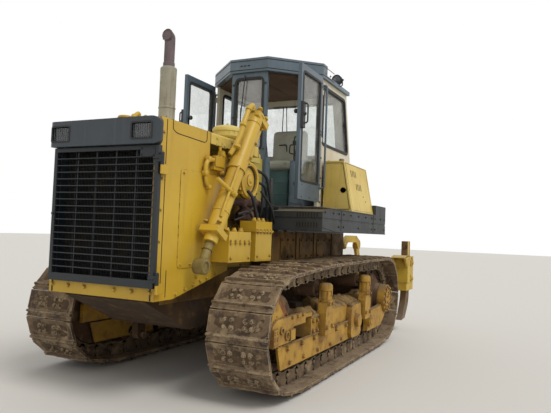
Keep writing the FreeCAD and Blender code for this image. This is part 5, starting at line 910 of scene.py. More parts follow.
    def heap(self, low: Flat, high: Flat, base: float, height: float, step: float = 0.02,
             seed: float = 0.0) -> None:
        """Adds a heap of soil that thins out to nothing at its rim.

        Args:
            low: Its lowest x and y.
            high: Its highest x and y.
            base: The ledge's height.
            height: The most that it rises.
            step: Metres between its points.
            seed: Moves its lumps about.
        """
        sink = 0.004
        nx = max(4, round((high[0] - low[0]) / step))
        ny = max(4, round((high[1] - low[1]) / step))
        rows = []
        for i in range(nx + 1):
            row = []
            for j in range(ny + 1):
                u, v = i / nx, j / ny
                x = low[0] + (high[0] - low[0]) * u
                y = low[1] + (high[1] - low[1]) * v
                rim = min(1.0, 5.0 * min(u, 1 - u)) * min(1.0, 4.0 * min(v, 1 - v))
                lump = 0.62 + 0.55 * noise.noise(Vector((x * 4 + seed, y * 6, seed)))
                lump += 0.34 * abs(noise.noise(Vector((x * 19, y * 19, seed))))
                lump += 0.16 * noise.noise(Vector((x * 45, y * 45, seed)))
                row.append(Vector((x, y, base - sink + height * max(0.0, lump) * math.sqrt(max(rim, 0.0)))))
            rows.append(row)
        self.sheet(rows)

    def mirror(self) -> None:
        """Adds the same again on the machine's other side."""
        made = bmesh.ops.duplicate(self.mesh,
                                   geom=self.mesh.verts[:] + self.mesh.edges[:] + self.mesh.faces[:])["geom"]
        for v in (g for g in made if isinstance(g, bmesh.types.BMVert)):
            v.co.y = -v.co.y
        bmesh.ops.reverse_faces(self.mesh, faces=[g for g in made if isinstance(g, bmesh.types.BMFace)])

    def done(self, finish: Finish | Glass, slot: str = "", body: str = "chassis", bevel: float = 0.0,
             smooth: float = 35.0, replaces: Sequence[str] = (), twice: bool = False) -> bpy.types.Object:
        """Turns the mesh into an object that rides on a body.

        Args:
            finish: Its finish.
            slot: The record's material that it is made of, for a piece that replaces nothing; not used.
            body: The body's name.
            bevel: How far its edges are rounded.
            smooth: Edges flatter than this many degrees are shaded smooth.
            replaces: Solids that it stands for.
            twice: Whether the machine's other side gets the same.

        Returns:
            The object.
        """
        if twice:
            self.mirror()
        bmesh.ops.recalc_face_normals(self.mesh, faces=self.mesh.faces[:])
        data = bpy.data.meshes.new(self.name)
        self.mesh.to_mesh(data)
        self.mesh.free()
        data.polygons.foreach_set("use_smooth", [True] * len(data.polygons))
        data.set_sharp_from_angle(angle=math.radians(smooth))
        data.materials.append(finish.material())
        made = put(self.name, data)
        if bevel:
            rounding = made.modifiers.new("rounding", "BEVEL")
            rounding.width = bevel
            rounding.segments = 2
            rounding.limit_method = "ANGLE"
            rounding.angle_limit = math.radians(40)
            rounding.harden_normals = True
        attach(made, body)
        if replaces:
            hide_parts(*replaces)
        LOG.info("%s on %s, %d faces", self.name, body, len(data.polygons))
        return made


@dataclass
class TrackChain:
    """Both tracks: each shoe with its bar and bolts, each link with its bosses and bushing.

    Args:
        gauge: From one track's middle to the other's.
        width: A shoe's width.
        count: Shoes in one track.
        pin_above: From the pin line out to the shoe's inner face.
        pin_below: From the pin line in to the links' rolling edge.
        plate: The shoe plate's thickness.
        bar_height: How far the grouser bar stands over the plate.
        bar_share: Where the bar stands, as a share of the pitch.
        link_offset: From the track's middle to each row of links.
        link_thickness: A link's thickness.
        stations: Into how many lengths a shoe is divided across its width, so its bar can be worn.
        crust_grid: Squares of each shoe's soil across and along the track.
        lean_least: The least that a shoe's edge leans to clear its neighbour, as a slope.
        lean_most: The most that it leans.
        circles: What the pin line runs round: (x, z, radius), against the clock.
    """

    gauge: float = 2.1
    width: float = 0.58
    count: int = 42
    pin_above: float = 0.088
    pin_below: float = 0.050
    plate: float = 0.022
    bar_height: float = 0.036
    bar_share: float = 0.13
    link_offset: float = 0.096
    link_thickness: float = 0.044
    stations: int = 12
    crust_grid: tuple[int, int] = (8, 6)
    lean_least: float = -0.05
    lean_most: float = 0.28
    circles: tuple[tuple[float, float, float], ...] = (
        (-1.35, 0.610, 0.434),
        (-1.015, 0.3063, 0.1603),
        (1.595, 0.3063, 0.1603),
        (1.876, 0.576, 0.400),
        (0.940, 0.8947, 0.139),
        (-0.420, 0.9074, 0.139),
    )

    def runs(self) -> list[tuple]:
        """Works out the arcs and straight runs of the pin line."""
        leave: list[float] = []
        arrive = [0.0] * len(self.circles)
        for i, (x0, z0, r0) in enumerate(self.circles):
            x1, z1, r1 = self.circles[(i + 1) % len(self.circles)]
            normal = math.atan2(z1 - z0, x1 - x0) - math.acos((r0 - r1) / math.hypot(x1 - x0, z1 - z0))
            leave.append(normal)
            arrive[(i + 1) % len(self.circles)] = normal
        pieces: list[tuple] = []
        for i, (x0, z0, r0) in enumerate(self.circles):
            sweep = (leave[i] - arrive[i]) % (2 * math.pi)
            pieces.append((True, x0, z0, r0, arrive[i], sweep, r0 * sweep))
            x1, z1, r1 = self.circles[(i + 1) % len(self.circles)]
            c, s = math.cos(leave[i]), math.sin(leave[i])
            ends = (x0 + r0 * c, z0 + r0 * s, x1 + r1 * c, z1 + r1 * s)
            pieces.append((False, *ends, 0.0, math.hypot(ends[2] - ends[0], ends[3] - ends[1])))
        return pieces

    def pins(self) -> list[Flat]:
        """Centres of the chain's pins."""
        pieces = self.runs()
        total = sum(p[-1] for p in pieces)
        found = []
        for i in range(self.count):
            left = total * i / self.count
            for turning, a, b, c, d, e, length in pieces:
                if left > length:
                    left -= length
                    continue
                if turning:
                    angle = d + e * left / length
                    found.append((a + c * math.cos(angle), b + c * math.sin(angle)))
                else:
                    share = left / length
                    found.append((a + (c - a) * share, b + (d - b) * share))
                break
        return found

    def shoe_profile(self, length: float, first: float, last: float) -> list[Flat]:
        """The shoe's section: (along the link, away from the pins).

        Args:
            length: From pin to pin.
            first: How much its first edge leans out, as the tangent of half the bend there.
            last: The same for its last edge.

        Returns:
            The section's corners.
        """
        low = self.pin_above
        top = low + self.plate
        crest = top + self.bar_height
        mid = length * self.bar_share

        def start(n: float) -> float:
            """Where the shoe begins at a height."""
            return 0.003 - n * first

        def end(n: float) -> float:
            """Where the shoe ends at a height."""
            return length - 0.003 + n * last

        return [
            (start(low), low), (end(low), low), (end(low + 0.012), low + 0.012),
            (end(top) - 0.006, top - 0.001),
            (mid + 0.075, top), (mid + 0.030, top + 0.002), (mid + 0.019, top + 0.008),
            (mid + 0.014, top + 0.020),
            (mid + 0.011, crest - 0.006), (mid + 0.006, crest - 0.001), (mid - 0.004, crest),
            (mid - 0.009, crest - 0.006),
            (mid - 0.012, top + 0.018), (mid - 0.016, top + 0.007), (start(top) + 0.003, top - 0.001),
            (start(low + 0.014), low + 0.014)]

    def worn(self, n: float, i: int, k: int, along: float, side: int) -> float:
        """Wears a shoe's section: nicks on its bar, waves in its plate and thicker ends.

        Args:
            n: How far the new section stands from the pins there.
            i: Which shoe.
            k: Which station across it.
            along: How far along the shoe.
            side: 1 for the left track, -1 for the right.

        Returns:
            How far the worn one stands.
        """
        from_end = min(k, self.stations - k)
        if n > self.pin_above + self.plate + 0.004:
            nick = noise.noise(Vector((i * 3.7, k * 0.9, 5.0 * side)))
            return min(n - 0.004 - 0.006 * nick - (0.010 if from_end == 0 else 0.0), n)
        if n > self.pin_above + 0.015:
            wave = noise.noise(Vector((i * 5.1 + along * 30, k * 1.3, 2.0 * side)))
            return n + 0.003 * wave + (0.006 if from_end < 2 else -0.001)
        return n

    def link_profile(self, length: float) -> list[Flat]:
        """A link plate's outline with its two round bosses and waisted middle."""
        up, down = self.pin_above, -self.pin_below
        return [
            (-0.030, down + 0.020), (-0.012, down + 0.004), (0.010, down), (0.045, down),
            (0.070, down + 0.012),
            (length - 0.080, down + 0.012), (length - 0.050, down), (length - 0.008, down),
            (length + 0.016, down + 0.006),
            (length + 0.032, down + 0.022), (length + 0.036, 0.004), (length + 0.026, 0.024),
            (length - 0.004, 0.036),
            (length - 0.030, up), (0.030, up), (0.006, 0.036), (-0.026, 0.024), (-0.038, 0.0)]

    def build(self, side: int) -> None:
        """Builds one track.

        Args:
            side: 1 for the left, -1 for the right.
        """
        name = "left" if side > 0 else "right"
        pins = self.pins()
        middle = self.gauge / 2
        inner = middle - self.width / 2
        shoe_top = self.pin_above + self.plate
        shoes, links, soil = (Piece(f"track_{part}_{name}") for part in ("shoes", "links", "soil"))
        for i in range(self.count):
            ax, az = pins[i]
            bx, bz = pins[(i + 1) % self.count]
            length = math.hypot(bx - ax, bz - az)
            tx, tz = (bx - ax) / length, (bz - az) / length
            leans = []
            for far, near, way in ((pins[i - 1], pins[i], -1), (pins[(i + 2) % self.count], (bx, bz), 1)):
                ex, ez = way * (far[0] - near[0]), way * (far[1] - near[1])
                turn = math.atan2(tx * ez - tz * ex, tx * ex + tz * ez) * way
                leans.append(max(self.lean_least, min(self.lean_most, math.tan(turn / 2))))

            def spot(t: float, y: float, n: float) -> Vector:
                """A place on this link: along it, across the track, away from the pins."""
                return Vector((ax + tx * t + tz * n, side * y, az + tz * t - tx * n))

            rings = []
            for k in range(self.stations + 1):
                # The corners are cut off a little inside the shoe's ends.
                mitre = (0.0, -0.022, -0.032, 0.0)[min(k, self.stations - k, 3)]
                y = inner + self.width * k / self.stations + mitre * (1 if k * 2 < self.stations else -1)
                rings.append([spot(t, y, self.worn(n, i, k, t, side))
                              for t, n in self.shoe_profile(length, *leans)])
            shoes.skin(rings)
            crust = []
            across, along = self.crust_grid
            for k in range(across + 1):
                row = []
                for j in range(along + 1):
                    u, v = k / across, j / along
                    rim = min(1.0, 5 * min(u, 1 - u)) * min(1.0, 4 * min(v, 1 - v))
                    lump = 0.5 + noise.noise(Vector((i * 2.3, u * 7, v * 3 + side)))
                    lump += 0.4 * noise.noise(Vector((i, u * 22, v * 9)))
                    row.append(spot(length * (0.30 + 0.64 * v), inner + 0.030 + (self.width - 0.060) * u,
                                    shoe_top - 0.003 + rim * max(0.0, lump) * 0.013))
                crust.append(row)
            soil.sheet(crust)
            for strand in BOTH:
                row = middle + strand * self.link_offset
                shoes.bolts([spot(length * share, row + s * 0.032, shoe_top) for share in (0.50, 0.76)
                             for s in BOTH],
                            spot(0, 0, 1) - spot(0, 0, 0), 0.030)
                links.skin([[spot(t, row + level * self.link_thickness, n)
                             for t, n in self.link_profile(length)]
                            for level in (-0.5, 0.5)])
            pin_reach = self.link_offset + self.link_thickness / 2 + 0.012
            for reach, radius, sides in ((pin_reach, 0.022, 12), (0.078, 0.034, 14)):
                links.bar(spot(0, middle - reach, 0), spot(0, middle + reach, 0), radius, sides)
        shoes.done(TRACK_STEEL, replaces=(f"track_{name}",))
        links.done(TRACK_STEEL, slot="track_steel")
        soil.done(TRACK_SOIL, slot="track_steel")


@dataclass
class TrackFrames:
    """Bolts, hubs, posts and caked soil on the two track frames, their wheels and rollers."""

    centre: float = 1.05
    half: float = 0.17
    top: float = 0.66
    guard: float = 0.022
    idler: Flat = (1.876, 0.576)
    sprocket: Flat = (-1.35, 0.610)
    post_xs: tuple[float, float] = (0.940, -0.420)
    post_tops: tuple[float, float] = (0.955, 0.968)

    def fasteners(self) -> None:
        """Bolts of the guards, slides and drive hub, with the idler slide's caps and the pivot's cover."""
        face = self.centre + self.half + self.guard
        bolts = Piece("frame_bolts")
        bolts.side_bolts((-0.12, 0.20, 0.52, 0.84, 1.16, 1.48, 1.80), face, (0.435,), 0.036)
        bolts.side_bolts((0.34, 0.70, 1.06, 1.42, 1.74), face, (0.30,), 0.030)
        bolts.side_bolts((0.90, 1.00, 1.10, 1.20), face, (0.505, 0.60), 0.030)
        slide = self.centre + self.half + 0.036
        bolts.side_bolts((2.06, 2.11), slide, (0.50, 0.555, 0.61), 0.028)
        bolts.side_bolts((1.50, 1.62, 1.74), slide, (0.700,), 0.024)
        bolts.block((1.70, slide - 0.002, 0.505), (1.80, slide + 0.022, 0.60))
        bolts.block((2.035, slide - 0.002, 0.49), (2.135, slide + 0.016, 0.64))
        bolts.turned((1.85, slide, 0.556), OUT, (
            (-0.002, 0.042), (0.016, 0.042), (0.020, 0.037), (0.020, 0.028), (-0.010, 0.026)), 24)
        bolts.turned((1.96, slide, 0.610), OUT, (
            (-0.002, 0.034), (0.014, 0.034), (0.018, 0.030), (0.018, 0.021), (-0.010, 0.019)), 24)
        x0, z0 = self.sprocket
        ring_y = self.centre + self.half + 0.060 + 0.034
        bolts.bolts(around((x0, ring_y, z0), 0.150, turns(12)), OUT, 0.034)
        bolts.turned((x0, ring_y, z0), OUT, (
            (-0.002, 0.112), (0.010, 0.112), (0.018, 0.100), (0.018, 0.060), (0.004, 0.050), (0.004, 0.030)),
            28)
        bolts.bolts(around((x0, ring_y + 0.018, z0), 0.080, turns(6, 0.3)), OUT, 0.018)
        bolts.turned((-0.625, self.centre + self.half + 0.085, 0.385), OUT, (
            (0.0, 0.050), (0.012, 0.046), (0.016, 0.020)), 20)
        bolts.done(SCRAPED_ENAMEL, slot="frame_paint", twice=True)

    def posts(self) -> None:
        """Round heads of the carrier rollers' posts, with their clamp plates and bolts."""
        piece = Piece("roller_post_heads")
        middle = self.centre + self.half + 0.048
        for x, top in zip(self.post_xs, self.post_tops):
            height = top - 0.765
            piece.turned((x, middle, 0.765), UP, (
                (-0.02, 0.056), (0.0, 0.070), (0.004, 0.0715), (0.026, 0.0715), (0.030, 0.066),
                (height * 0.60, 0.066),
                (height * 0.62, 0.0715), (height - 0.030, 0.0715), (height - 0.012, 0.066),
                (height + 0.004, 0.046),
                (height + 0.004, 0.020)), 32)
            piece.block((x - 0.014, middle + 0.060, top - 0.120), (x + 0.014, middle + 0.0715, top - 0.030))
            piece.block((x - 0.070, middle - 0.046, 0.730), (x + 0.070, middle + 0.056, 0.772))
            piece.bolts([(x + s * 0.045, middle + 0.056, 0.751) for s in BOTH], OUT, 0.026)
            piece.bolts([(x + s * 0.075, middle + 0.048, 0.52) for s in BOTH], OUT, 0.032)
        piece.done(SCRAPED_ENAMEL, bevel=0.004, slot="frame_paint", twice=True)

    def weld_lines(self) -> None:
        """Weld beads where guards, cheek plate and arms meet the frame."""
        face = self.centre + self.half
        beads = Piece("frame_welds")
        guard, cheek = face + self.guard, face + 0.002
        for y, x0, z0, x1, z1, radius in (
            (guard, -0.24, 0.470, 2.0, 0.470, 0.007), (guard, 0.86, 0.640, 1.25, 0.640, 0.006),
            (guard, 0.86, 0.470, 0.86, 0.640, 0.006), (cheek, -0.86, 0.655, -0.50, 0.655, 0.007),
            (cheek, 0.83, 0.655, 0.86, 0.655, 0.006),
        ):
            beads.bead(((x0, y, z0), (x1, y, z1)), radius)
        beads.done(SCRAPED_ENAMEL, slot="frame_paint", twice=True)

    def guards(self) -> None:
        """The bottom rollers' end caps; outside, only those behind the guard's rear end show."""
        piece = Piece("roller_end_caps")
        for x in (1.370 - 0.432 * i for i in range(6)):
            for side in BOTH if x < -0.30 else (-1,):
                y = self.centre + side * (self.half + 0.004)
                piece.turned((x, y, 0.306), (0, side, 0), (
                    (-0.01, 0.058), (0.012, 0.058), (0.018, 0.050), (0.018, 0.020)), 18)
        piece.done(CAST_STEEL, slot="rusty_iron", twice=True)

    def soil(self) -> None:
        """Dry soil heaped on the frames' ledges, over the pivot and on the slides."""
        soil = Piece("frame_soil")
        low, high = self.centre - self.half, self.centre + self.half
        rows = ((-0.86, -0.52, 0.11), (-0.34, 0.22, 0.10), (0.10, 0.62, 0.08), (0.50, 0.87, 0.12),
                (1.02, 1.30, 0.07))
        for n, (x0, x1, height) in enumerate(rows):
            soil.heap((x0, low), (x1, high + 0.004), self.top, height, seed=3.1 * n)
        soil.heap((-0.25, high), (0.10, high + 0.060), 0.648, 0.05, seed=9.0)
        soil.heap((0.86, high), (1.25, high + 0.030), 0.640, 0.04, step=0.01, seed=5.0)
        soil.heap((-0.20, high + 0.020), (1.9, high + 0.034), 0.4695, 0.012, step=0.006, seed=7.0)
        soil.done(SOIL, slot="rusty_iron", twice=True)

    def wheels(self) -> None:
        """Raised rims, hubs and spokes' ribs on the idlers, and bolted segments on the sprockets."""
        rims = Piece("idler_hubs")
        x, z = self.idler
        for side in BOTH:
            y = self.centre + side * 0.062
            rims.turned((x, y, z), (0, side, 0), (
                (-0.01, 0.300), (0.010, 0.296), (0.014, 0.282), (0.014, 0.262), (0.004, 0.250),
                (-0.004, 0.20)), 48)
        rims.done(CAST_STEEL, slot="rusty_iron", twice=True)
        segments = Piece("sprocket_bolts")
        x, z = self.sprocket
        for side in BOTH:
            y = self.centre + side * 0.042
            segments.bolts(around((x, y, z), 0.345, turns(27)), (0, side, 0), 0.034)
        segments.done(CAST_STEEL, slot="rusty_iron", twice=True)

    def idler_guard(self) -> None:
        """The rusty three-cornered guard plate at the front idler."""
        piece = Piece("idler_guard_plates")
        piece.prism([(2.10, 0.712), (1.965, 0.945), (1.730, 0.700)], "y", 1.206, 1.219)
        piece.bolts([(1.80, 1.219, 0.735), (2.02, 1.219, 0.735)], OUT, 0.024)
        piece.done(RUST_PLATE, bevel=0.002, slot="rusty_iron", twice=True)

    def build(self) -> None:
        """Builds both sides."""
        self.fasteners()
        self.idler_guard()
        self.posts()
        self.weld_lines()
        self.guards()
        self.soil()
        self.wheels()


@dataclass
class Nose:
    """The radiator guard's seams, bolts and cap, the lamps' rims and lenses and the opening's black lining,
    which paints the shade inside it.
    """

    face: float = 2.843
    half: float = 0.56
    bottom: float = 0.880
    opening: tuple[float, float, float] = (0.500, 1.010, 2.100)
    band: tuple[float, float, float] = (2.112, 2.330, 2.930)
    lamp_y: float = 0.430
    lamp_size: Flat = (0.200, 0.130)

    def lower_edge(self, x: float) -> float:
        """The side panel's lower edge, which climbs to the rear."""
        return self.bottom + max(0.0, 2.600 - x) * 0.2326

    def lining(self) -> None:
        """The black walls of the radiator opening, which paint the shade inside it."""
        half, low, high = self.opening
        piece = Piece("radiator_opening_shade")
        back, front, t = 2.764, self.face - 0.001, 0.006
        piece.block((back, -half, low), (front, -half + t, high))
        piece.block((back, half - t, low), (front, half, high))
        piece.block((back, -half, low), (front, half, low + t))
        piece.block((back, -half, high - t), (front, half, high))
        piece.done(BLACK_ENAMEL, slot="black_paint")
        fins = Piece("radiator_fins")
        count = 60
        for i in range(count):
            y = -half + 2 * half * (i + 0.5) / count
            fins.block((2.757, y - 0.0012, low), (2.768, y + 0.0012, high))
        fins.done(RADIATOR_CORE, slot="radiator_metal")

    def lamps(self) -> None:
        """Rims and ribbed lenses of the two lamps in the band."""
        rims, lenses = Piece("lamp_rims"), Piece("lamp_lens_ribs")
        middle = (self.band[0] + self.band[1]) / 2
        hw, hh = self.lamp_size[0] / 2, self.lamp_size[1] / 2
        lens = self.band[2] - 0.016
        for side in BOTH:
            y = side * self.lamp_y
            outline = panel((y - hw, middle - hh), (y + hw, middle + hh), 0.014, 4)
            rims.frame_strip(outline, "x", self.band[2] - 0.006, self.band[2] + 0.003, 0.014)
            for k in range(9):
                v = y - hw + 0.012 + (2 * hw - 0.024) * k / 8
                lenses.bar((lens, v, middle - hh + 0.010), (lens, v, middle + hh - 0.010), 0.0035, 8)
            rims.bolts([(self.band[2] - 0.015, y + s * (hw - 0.012), middle + t * (hh - 0.012))
                        for s in BOTH for t in BOTH], AHEAD, 0.010)
        rims.done(RUBBER, slot="black_paint")
        lenses.done(LAMP_DARK, slot="lamp_glass")

    def seams(self) -> None:
        """Panel seams as dark lines and the bolts along the side panels and lower lip."""
        side = self.half + 0.0004
        dark = Piece("nose_seams")
        for route in (
            ((2.694, 2.338), (2.690, 2.262), (2.631, 2.240), (2.217, 2.229), (2.186, 2.250), (2.186, 2.338)),
            ((2.770, 2.330), (2.770, 1.02)),
            ((2.700, 1.120), (2.700, 0.905)),
        ):
            dark.pipe([(x, side, z) for x, z in route], 0.0035, 0.02, 6)
        dark.mirror()
        dark.pipe([(2.694, -side, 2.342), (2.694, -0.26, 2.3675), (2.694, 0.26, 2.3675),
                   (2.694, side, 2.342)], 0.0035, 0.02, 6)
        dark.done(SEAM_DIRT_AND_SHADE, slot="black_paint")
        bolts = Piece("nose_bolts")
        raised = self.half + 0.006
        for x in (1.95, 2.10, 2.20, 2.31, 2.43, 2.56):
            bolts.bolts([(x, side, self.lower_edge(x) + 0.032)], OUT, 0.024)
        bolts.bolts([(x, side, self.lower_edge(x) + 0.095) for x in (2.14, 2.27)], OUT, 0.026)
        bolts.side_bolts((1.84, 2.02, 2.20, 2.38, 2.52), raised, (1.16,), 0.018)
        bolts.side_bolts((1.84, 2.20, 2.52), raised, (1.925,), 0.018)
        bolts.side_bolts((2.808,), side, (1.10, 1.35, 1.60, 1.85, 2.06, 2.22), 0.016)
        bolts.front_bolts(self.face, (0.16, 0.34, 0.52), (0.945,), 0.026)
        bolts.bolts([(self.face, 0.535, z) for z in (1.30, 1.55, 1.80)], AHEAD, 0.016)
        bolts.done(YELLOW_ENAMEL, slot="body_paint", twice=True)

    def lip(self) -> None:
        """Two black rubber seams in the lower lip and the pull hook's pin."""
        piece = Piece("lip_seams")
        for y in (-0.524, 0.524):
            piece.pipe([(self.face + 0.001, y, 0.998), (self.face + 0.001, y, 0.884)], 0.0065, 0.01, 8)
        piece.done(RUBBER, slot="black_paint")
        pin = Piece("pull_hook_pin")
        pin.turned((1.990, -0.340, 0.42), OUT, (
            (0.0, 0.030), (0.006, 0.036), (0.014, 0.036), (0.014, 0.022), (0.150, 0.022), (0.150, 0.034),
            (0.160, 0.034)), 20)
        pin.done(CAST_STEEL, slot="rusty_iron")

    def cap(self) -> None:
        """The radiator's filler cap on the hood, with its wings and chain plate."""
        piece = Piece("radiator_filler_cap")
        x, y, z = 2.60, -0.02, 2.364
        piece.turned((x, y, z), UP, (
            (0.0, 0.075), (0.010, 0.075), (0.014, 0.060), (0.034, 0.056), (0.036, 0.066), (0.050, 0.066),
            (0.056, 0.058), (0.060, 0.020)), 28)
        for side in BOTH:
            piece.block((x - 0.012, y + side * 0.066 - 0.020, z + 0.036),
                        (x + 0.012, y + side * 0.066 + 0.020, z + 0.050))
        piece.bolts(around((x, y, z + 0.010), 0.062, (0.6, 2.2, 3.8, 5.4), "z"), UP, 0.014)
        piece.done(YELLOW_ENAMEL, bevel=0.002, slot="body_paint")

    def build(self) -> None:
        """Builds the nose's dressing."""
        self.lining()
        self.lamps()
        self.seams()
        self.lip()
        self.cap()


@dataclass
class Grille:
    """Hinge barrels, latch, stiffener and bolts on the swinging grille."""

    back: float = 2.844
    front: float = 2.888
    low: float = 0.985
    high: float = 2.106

    def build(self) -> None:
        """Builds everything that swings with the grille."""
        piece = Piece("grille_hardware")
        for z in (1.060, 2.000):
            piece.collar((2.866, 0.600, z), UP, (-0.050, 0.050), 0.010, 0.006, 0.002, 16)
            piece.block((2.880, 0.530, z - 0.028), (2.892, 0.604, z + 0.028))
            piece.bolts([(2.892, y, z) for y in (0.545, 0.575)], AHEAD, 0.014)
        piece.block((self.front - 0.002, 0.400, 2.016), (self.front + 0.004, 0.545, 2.092))
        piece.front_bolts(self.front + 0.004, (0.415, 0.530), (2.030, 2.078), 0.010)
        piece.block((self.front - 0.006, -0.520, 1.50), (self.front + 0.008, -0.488, 1.60))
        piece.turned((self.front + 0.008, -0.504, 1.55), AHEAD, (
            (0.0, 0.014), (0.010, 0.014), (0.014, 0.008)), 16)
        piece.done(GRILLE_ENAMEL, bevel=0.0015, slot="black_paint", body="grille")
        welds = Piece("grille_welds")
        for y in (-0.3084, -0.0868, 0.1348, 0.3564):
            welds.bead(((self.back + 0.010, y, self.low + 0.028), (self.back + 0.010, y, self.high - 0.028)),
                       0.003)
        welds.done(GRILLE_ENAMEL, slot="black_paint", body="grille")


@dataclass
class Stack:
    """The muffler with its seams and straps, the rusty tail pipe, and the pre-cleaner's bowl and clamp."""

    x: float = 2.05
    foot: float = 2.366
    muffler_top: float = 3.010
    muffler: float = 0.078
    pipe: float = 0.046
    pipe_top: float = 3.300
    disc: Point = (1.08, 0.10, 2.475)

    def exhaust(self) -> None:
        """The muffler and the tail pipe with its collar and forward mouth."""
        shell = Piece("exhaust_muffler")
        r = self.muffler
        shell.turned((self.x, 0, self.foot), UP, (
            (-0.004, r + 0.028), (0.012, r + 0.028), (0.016, r + 0.006), (0.030, r), (0.230, r),
            (0.234, r + 0.004),
            (0.246, r + 0.004), (0.250, r), (0.560, r), (0.600, r + 0.002), (0.624, r + 0.001),
            (0.632, r - 0.006),
            (self.muffler_top - self.foot, self.pipe + 0.008)), 40)
        shell.bead(((self.x + r * 0.5, r * 0.866, self.foot + 0.02),
                    (self.x + r * 0.5, r * 0.866, self.muffler_top - 0.05)), 0.003)
        shell.bolts(around((self.x, 0, self.foot + 0.012), 0.092, (0.4 + 1.05 * k for k in range(6)), "z"),
                    UP, 0.016)
        shell.done(MUFFLER_SHEET, replaces=("exhaust_stack",))
        tail = Piece("exhaust_tail_pipe")
        tail.turned((self.x, 0, self.muffler_top - 0.030), UP, (
            (0.0, self.pipe + 0.004), (0.004, self.pipe + 0.010), (0.064, self.pipe + 0.010),
            (0.068, self.pipe)), 32)
        wide = self.pipe + 0.005
        tail.pipe([(self.x, 0, self.muffler_top), (self.x, 0, self.pipe_top + 0.002),
                   (self.x + 0.050, 0, self.pipe_top + 0.010)],
                  wide, 0.048, 28)
        tail.turned((self.x + 0.036, 0, self.pipe_top + 0.009), (1, 0, 0.10), (
            (-0.010, wide), (0.000, wide + 0.005), (0.016, wide + 0.006), (0.018, wide),
            (0.014, wide - 0.004),
            (0.0, wide - 0.006)), 28)
        rim = wide + 0.006
        for a in (-0.9 + 0.45 * k for k in range(5)):
            tail.bolts([(self.x + 0.044, rim * math.sin(a), self.pipe_top - rim * math.cos(a) + 0.009)],
                       (0.2, math.sin(a), -math.cos(a)), 0.011)
        tail.done(HEAT_PIPE, slot="rusty_iron")
        # A dark disc just inside the tail pipe's mouth: painted shade within the pipe.
        mouth = Piece("exhaust_mouth_shade")
        mouth.turned((self.x + 0.038, 0, self.pipe_top + 0.009), (1, 0, 0.10),
                     ((0.0, wide - 0.003), (0.006, wide - 0.004)), 24)
        mouth.done(SEAM_DIRT_AND_SHADE, slot="rusty_iron")

    def precleaner(self) -> None:
        """The pre-cleaner: stepped bowl, dome, centre nut and neck clamp."""
        x, y, z = self.disc
        piece = Piece("precleaner_bowl")
        piece.turned((x, y, z), UP, (
            (-0.004, 0.120), (0.0, 0.150), (0.006, 0.163), (0.030, 0.165), (0.034, 0.158), (0.060, 0.158),
            (0.064, 0.165),
            (0.092, 0.165), (0.100, 0.160), (0.118, 0.140), (0.130, 0.100), (0.133, 0.040), (0.138, 0.026),
            (0.146, 0.010)), 48)
        neck = z - self.foot
        piece.turned((x, y, self.foot - 0.004), UP, (
            (0.0, 0.100), (0.012, 0.100), (0.016, 0.076), (neck * 0.55, 0.074), (neck * 0.56, 0.080),
            (neck * 0.72, 0.080),
            (neck * 0.74, 0.074), (neck, 0.074)), 36)
        for px, py, pz in around((x, y, z + 0.047), 0.158, turns(18), "z"):
            piece.bar((px, py, pz - 0.012), (px, py, pz + 0.012), 0.004, 6)
        piece.block((x + 0.074, y - 0.012, self.foot + neck * 0.58),
                    (x + 0.100, y + 0.012, self.foot + neck * 0.70))
        piece.bolts([(x, y, z + 0.146)], UP, 0.024)
        piece.done(SKY_SHEEN_ENAMEL, replaces=("precleaner",))

    def hood_trim(self) -> None:
        """Hood seams, latches, lifting eye and edge bolts."""
        half, top = 0.56, 2.340
        seams = Piece("hood_seams")
        for x in (2.125, 1.62, 1.19):
            seams.pipe([(x, -half, top - 0.110), (x, -half, top - 0.006), (x, -0.26, top + 0.027),
                        (x, 0.26, top + 0.027),
                        (x, half, top - 0.006), (x, half, top - 0.110)], 0.003, 0.012, 6)
        seams.pipe([(1.19, 0, top + 0.028), (2.125, 0, top + 0.028)], 0.003, 0.01, 6)
        seams.done(SEAM_DIRT_AND_SHADE, slot="black_paint")
        trim = Piece("hood_hardware")
        for x in (1.30, 1.75, 2.02):
            trim.bolts([(x, half, top - 0.040), (x, half, top - 0.100)], OUT, 0.018)
        for x in (1.42, 1.90):
            trim.block((x - 0.035, half - 0.002, top - 0.115), (x + 0.035, half + 0.010, top - 0.065))
            trim.turned((x, half + 0.010, top - 0.090), OUT, ((0.0, 0.016), (0.006, 0.016), (0.010, 0.006)),
                        16)
        trim.pipe([(1.90, 0.30, top + 0.018), (1.90, 0.30, top + 0.060), (1.98, 0.30, top + 0.060),
                   (1.98, 0.30, top + 0.018)],
                  0.008, 0.02, 10)
        trim.done(SKY_SHEEN_ENAMEL, bevel=0.002, slot="body_paint", twice=True)

    def build(self) -> None:
        """Builds the stack, the pre-cleaner and the hood's trim."""
        self.exhaust()
        self.precleaner()
        self.hood_trim()


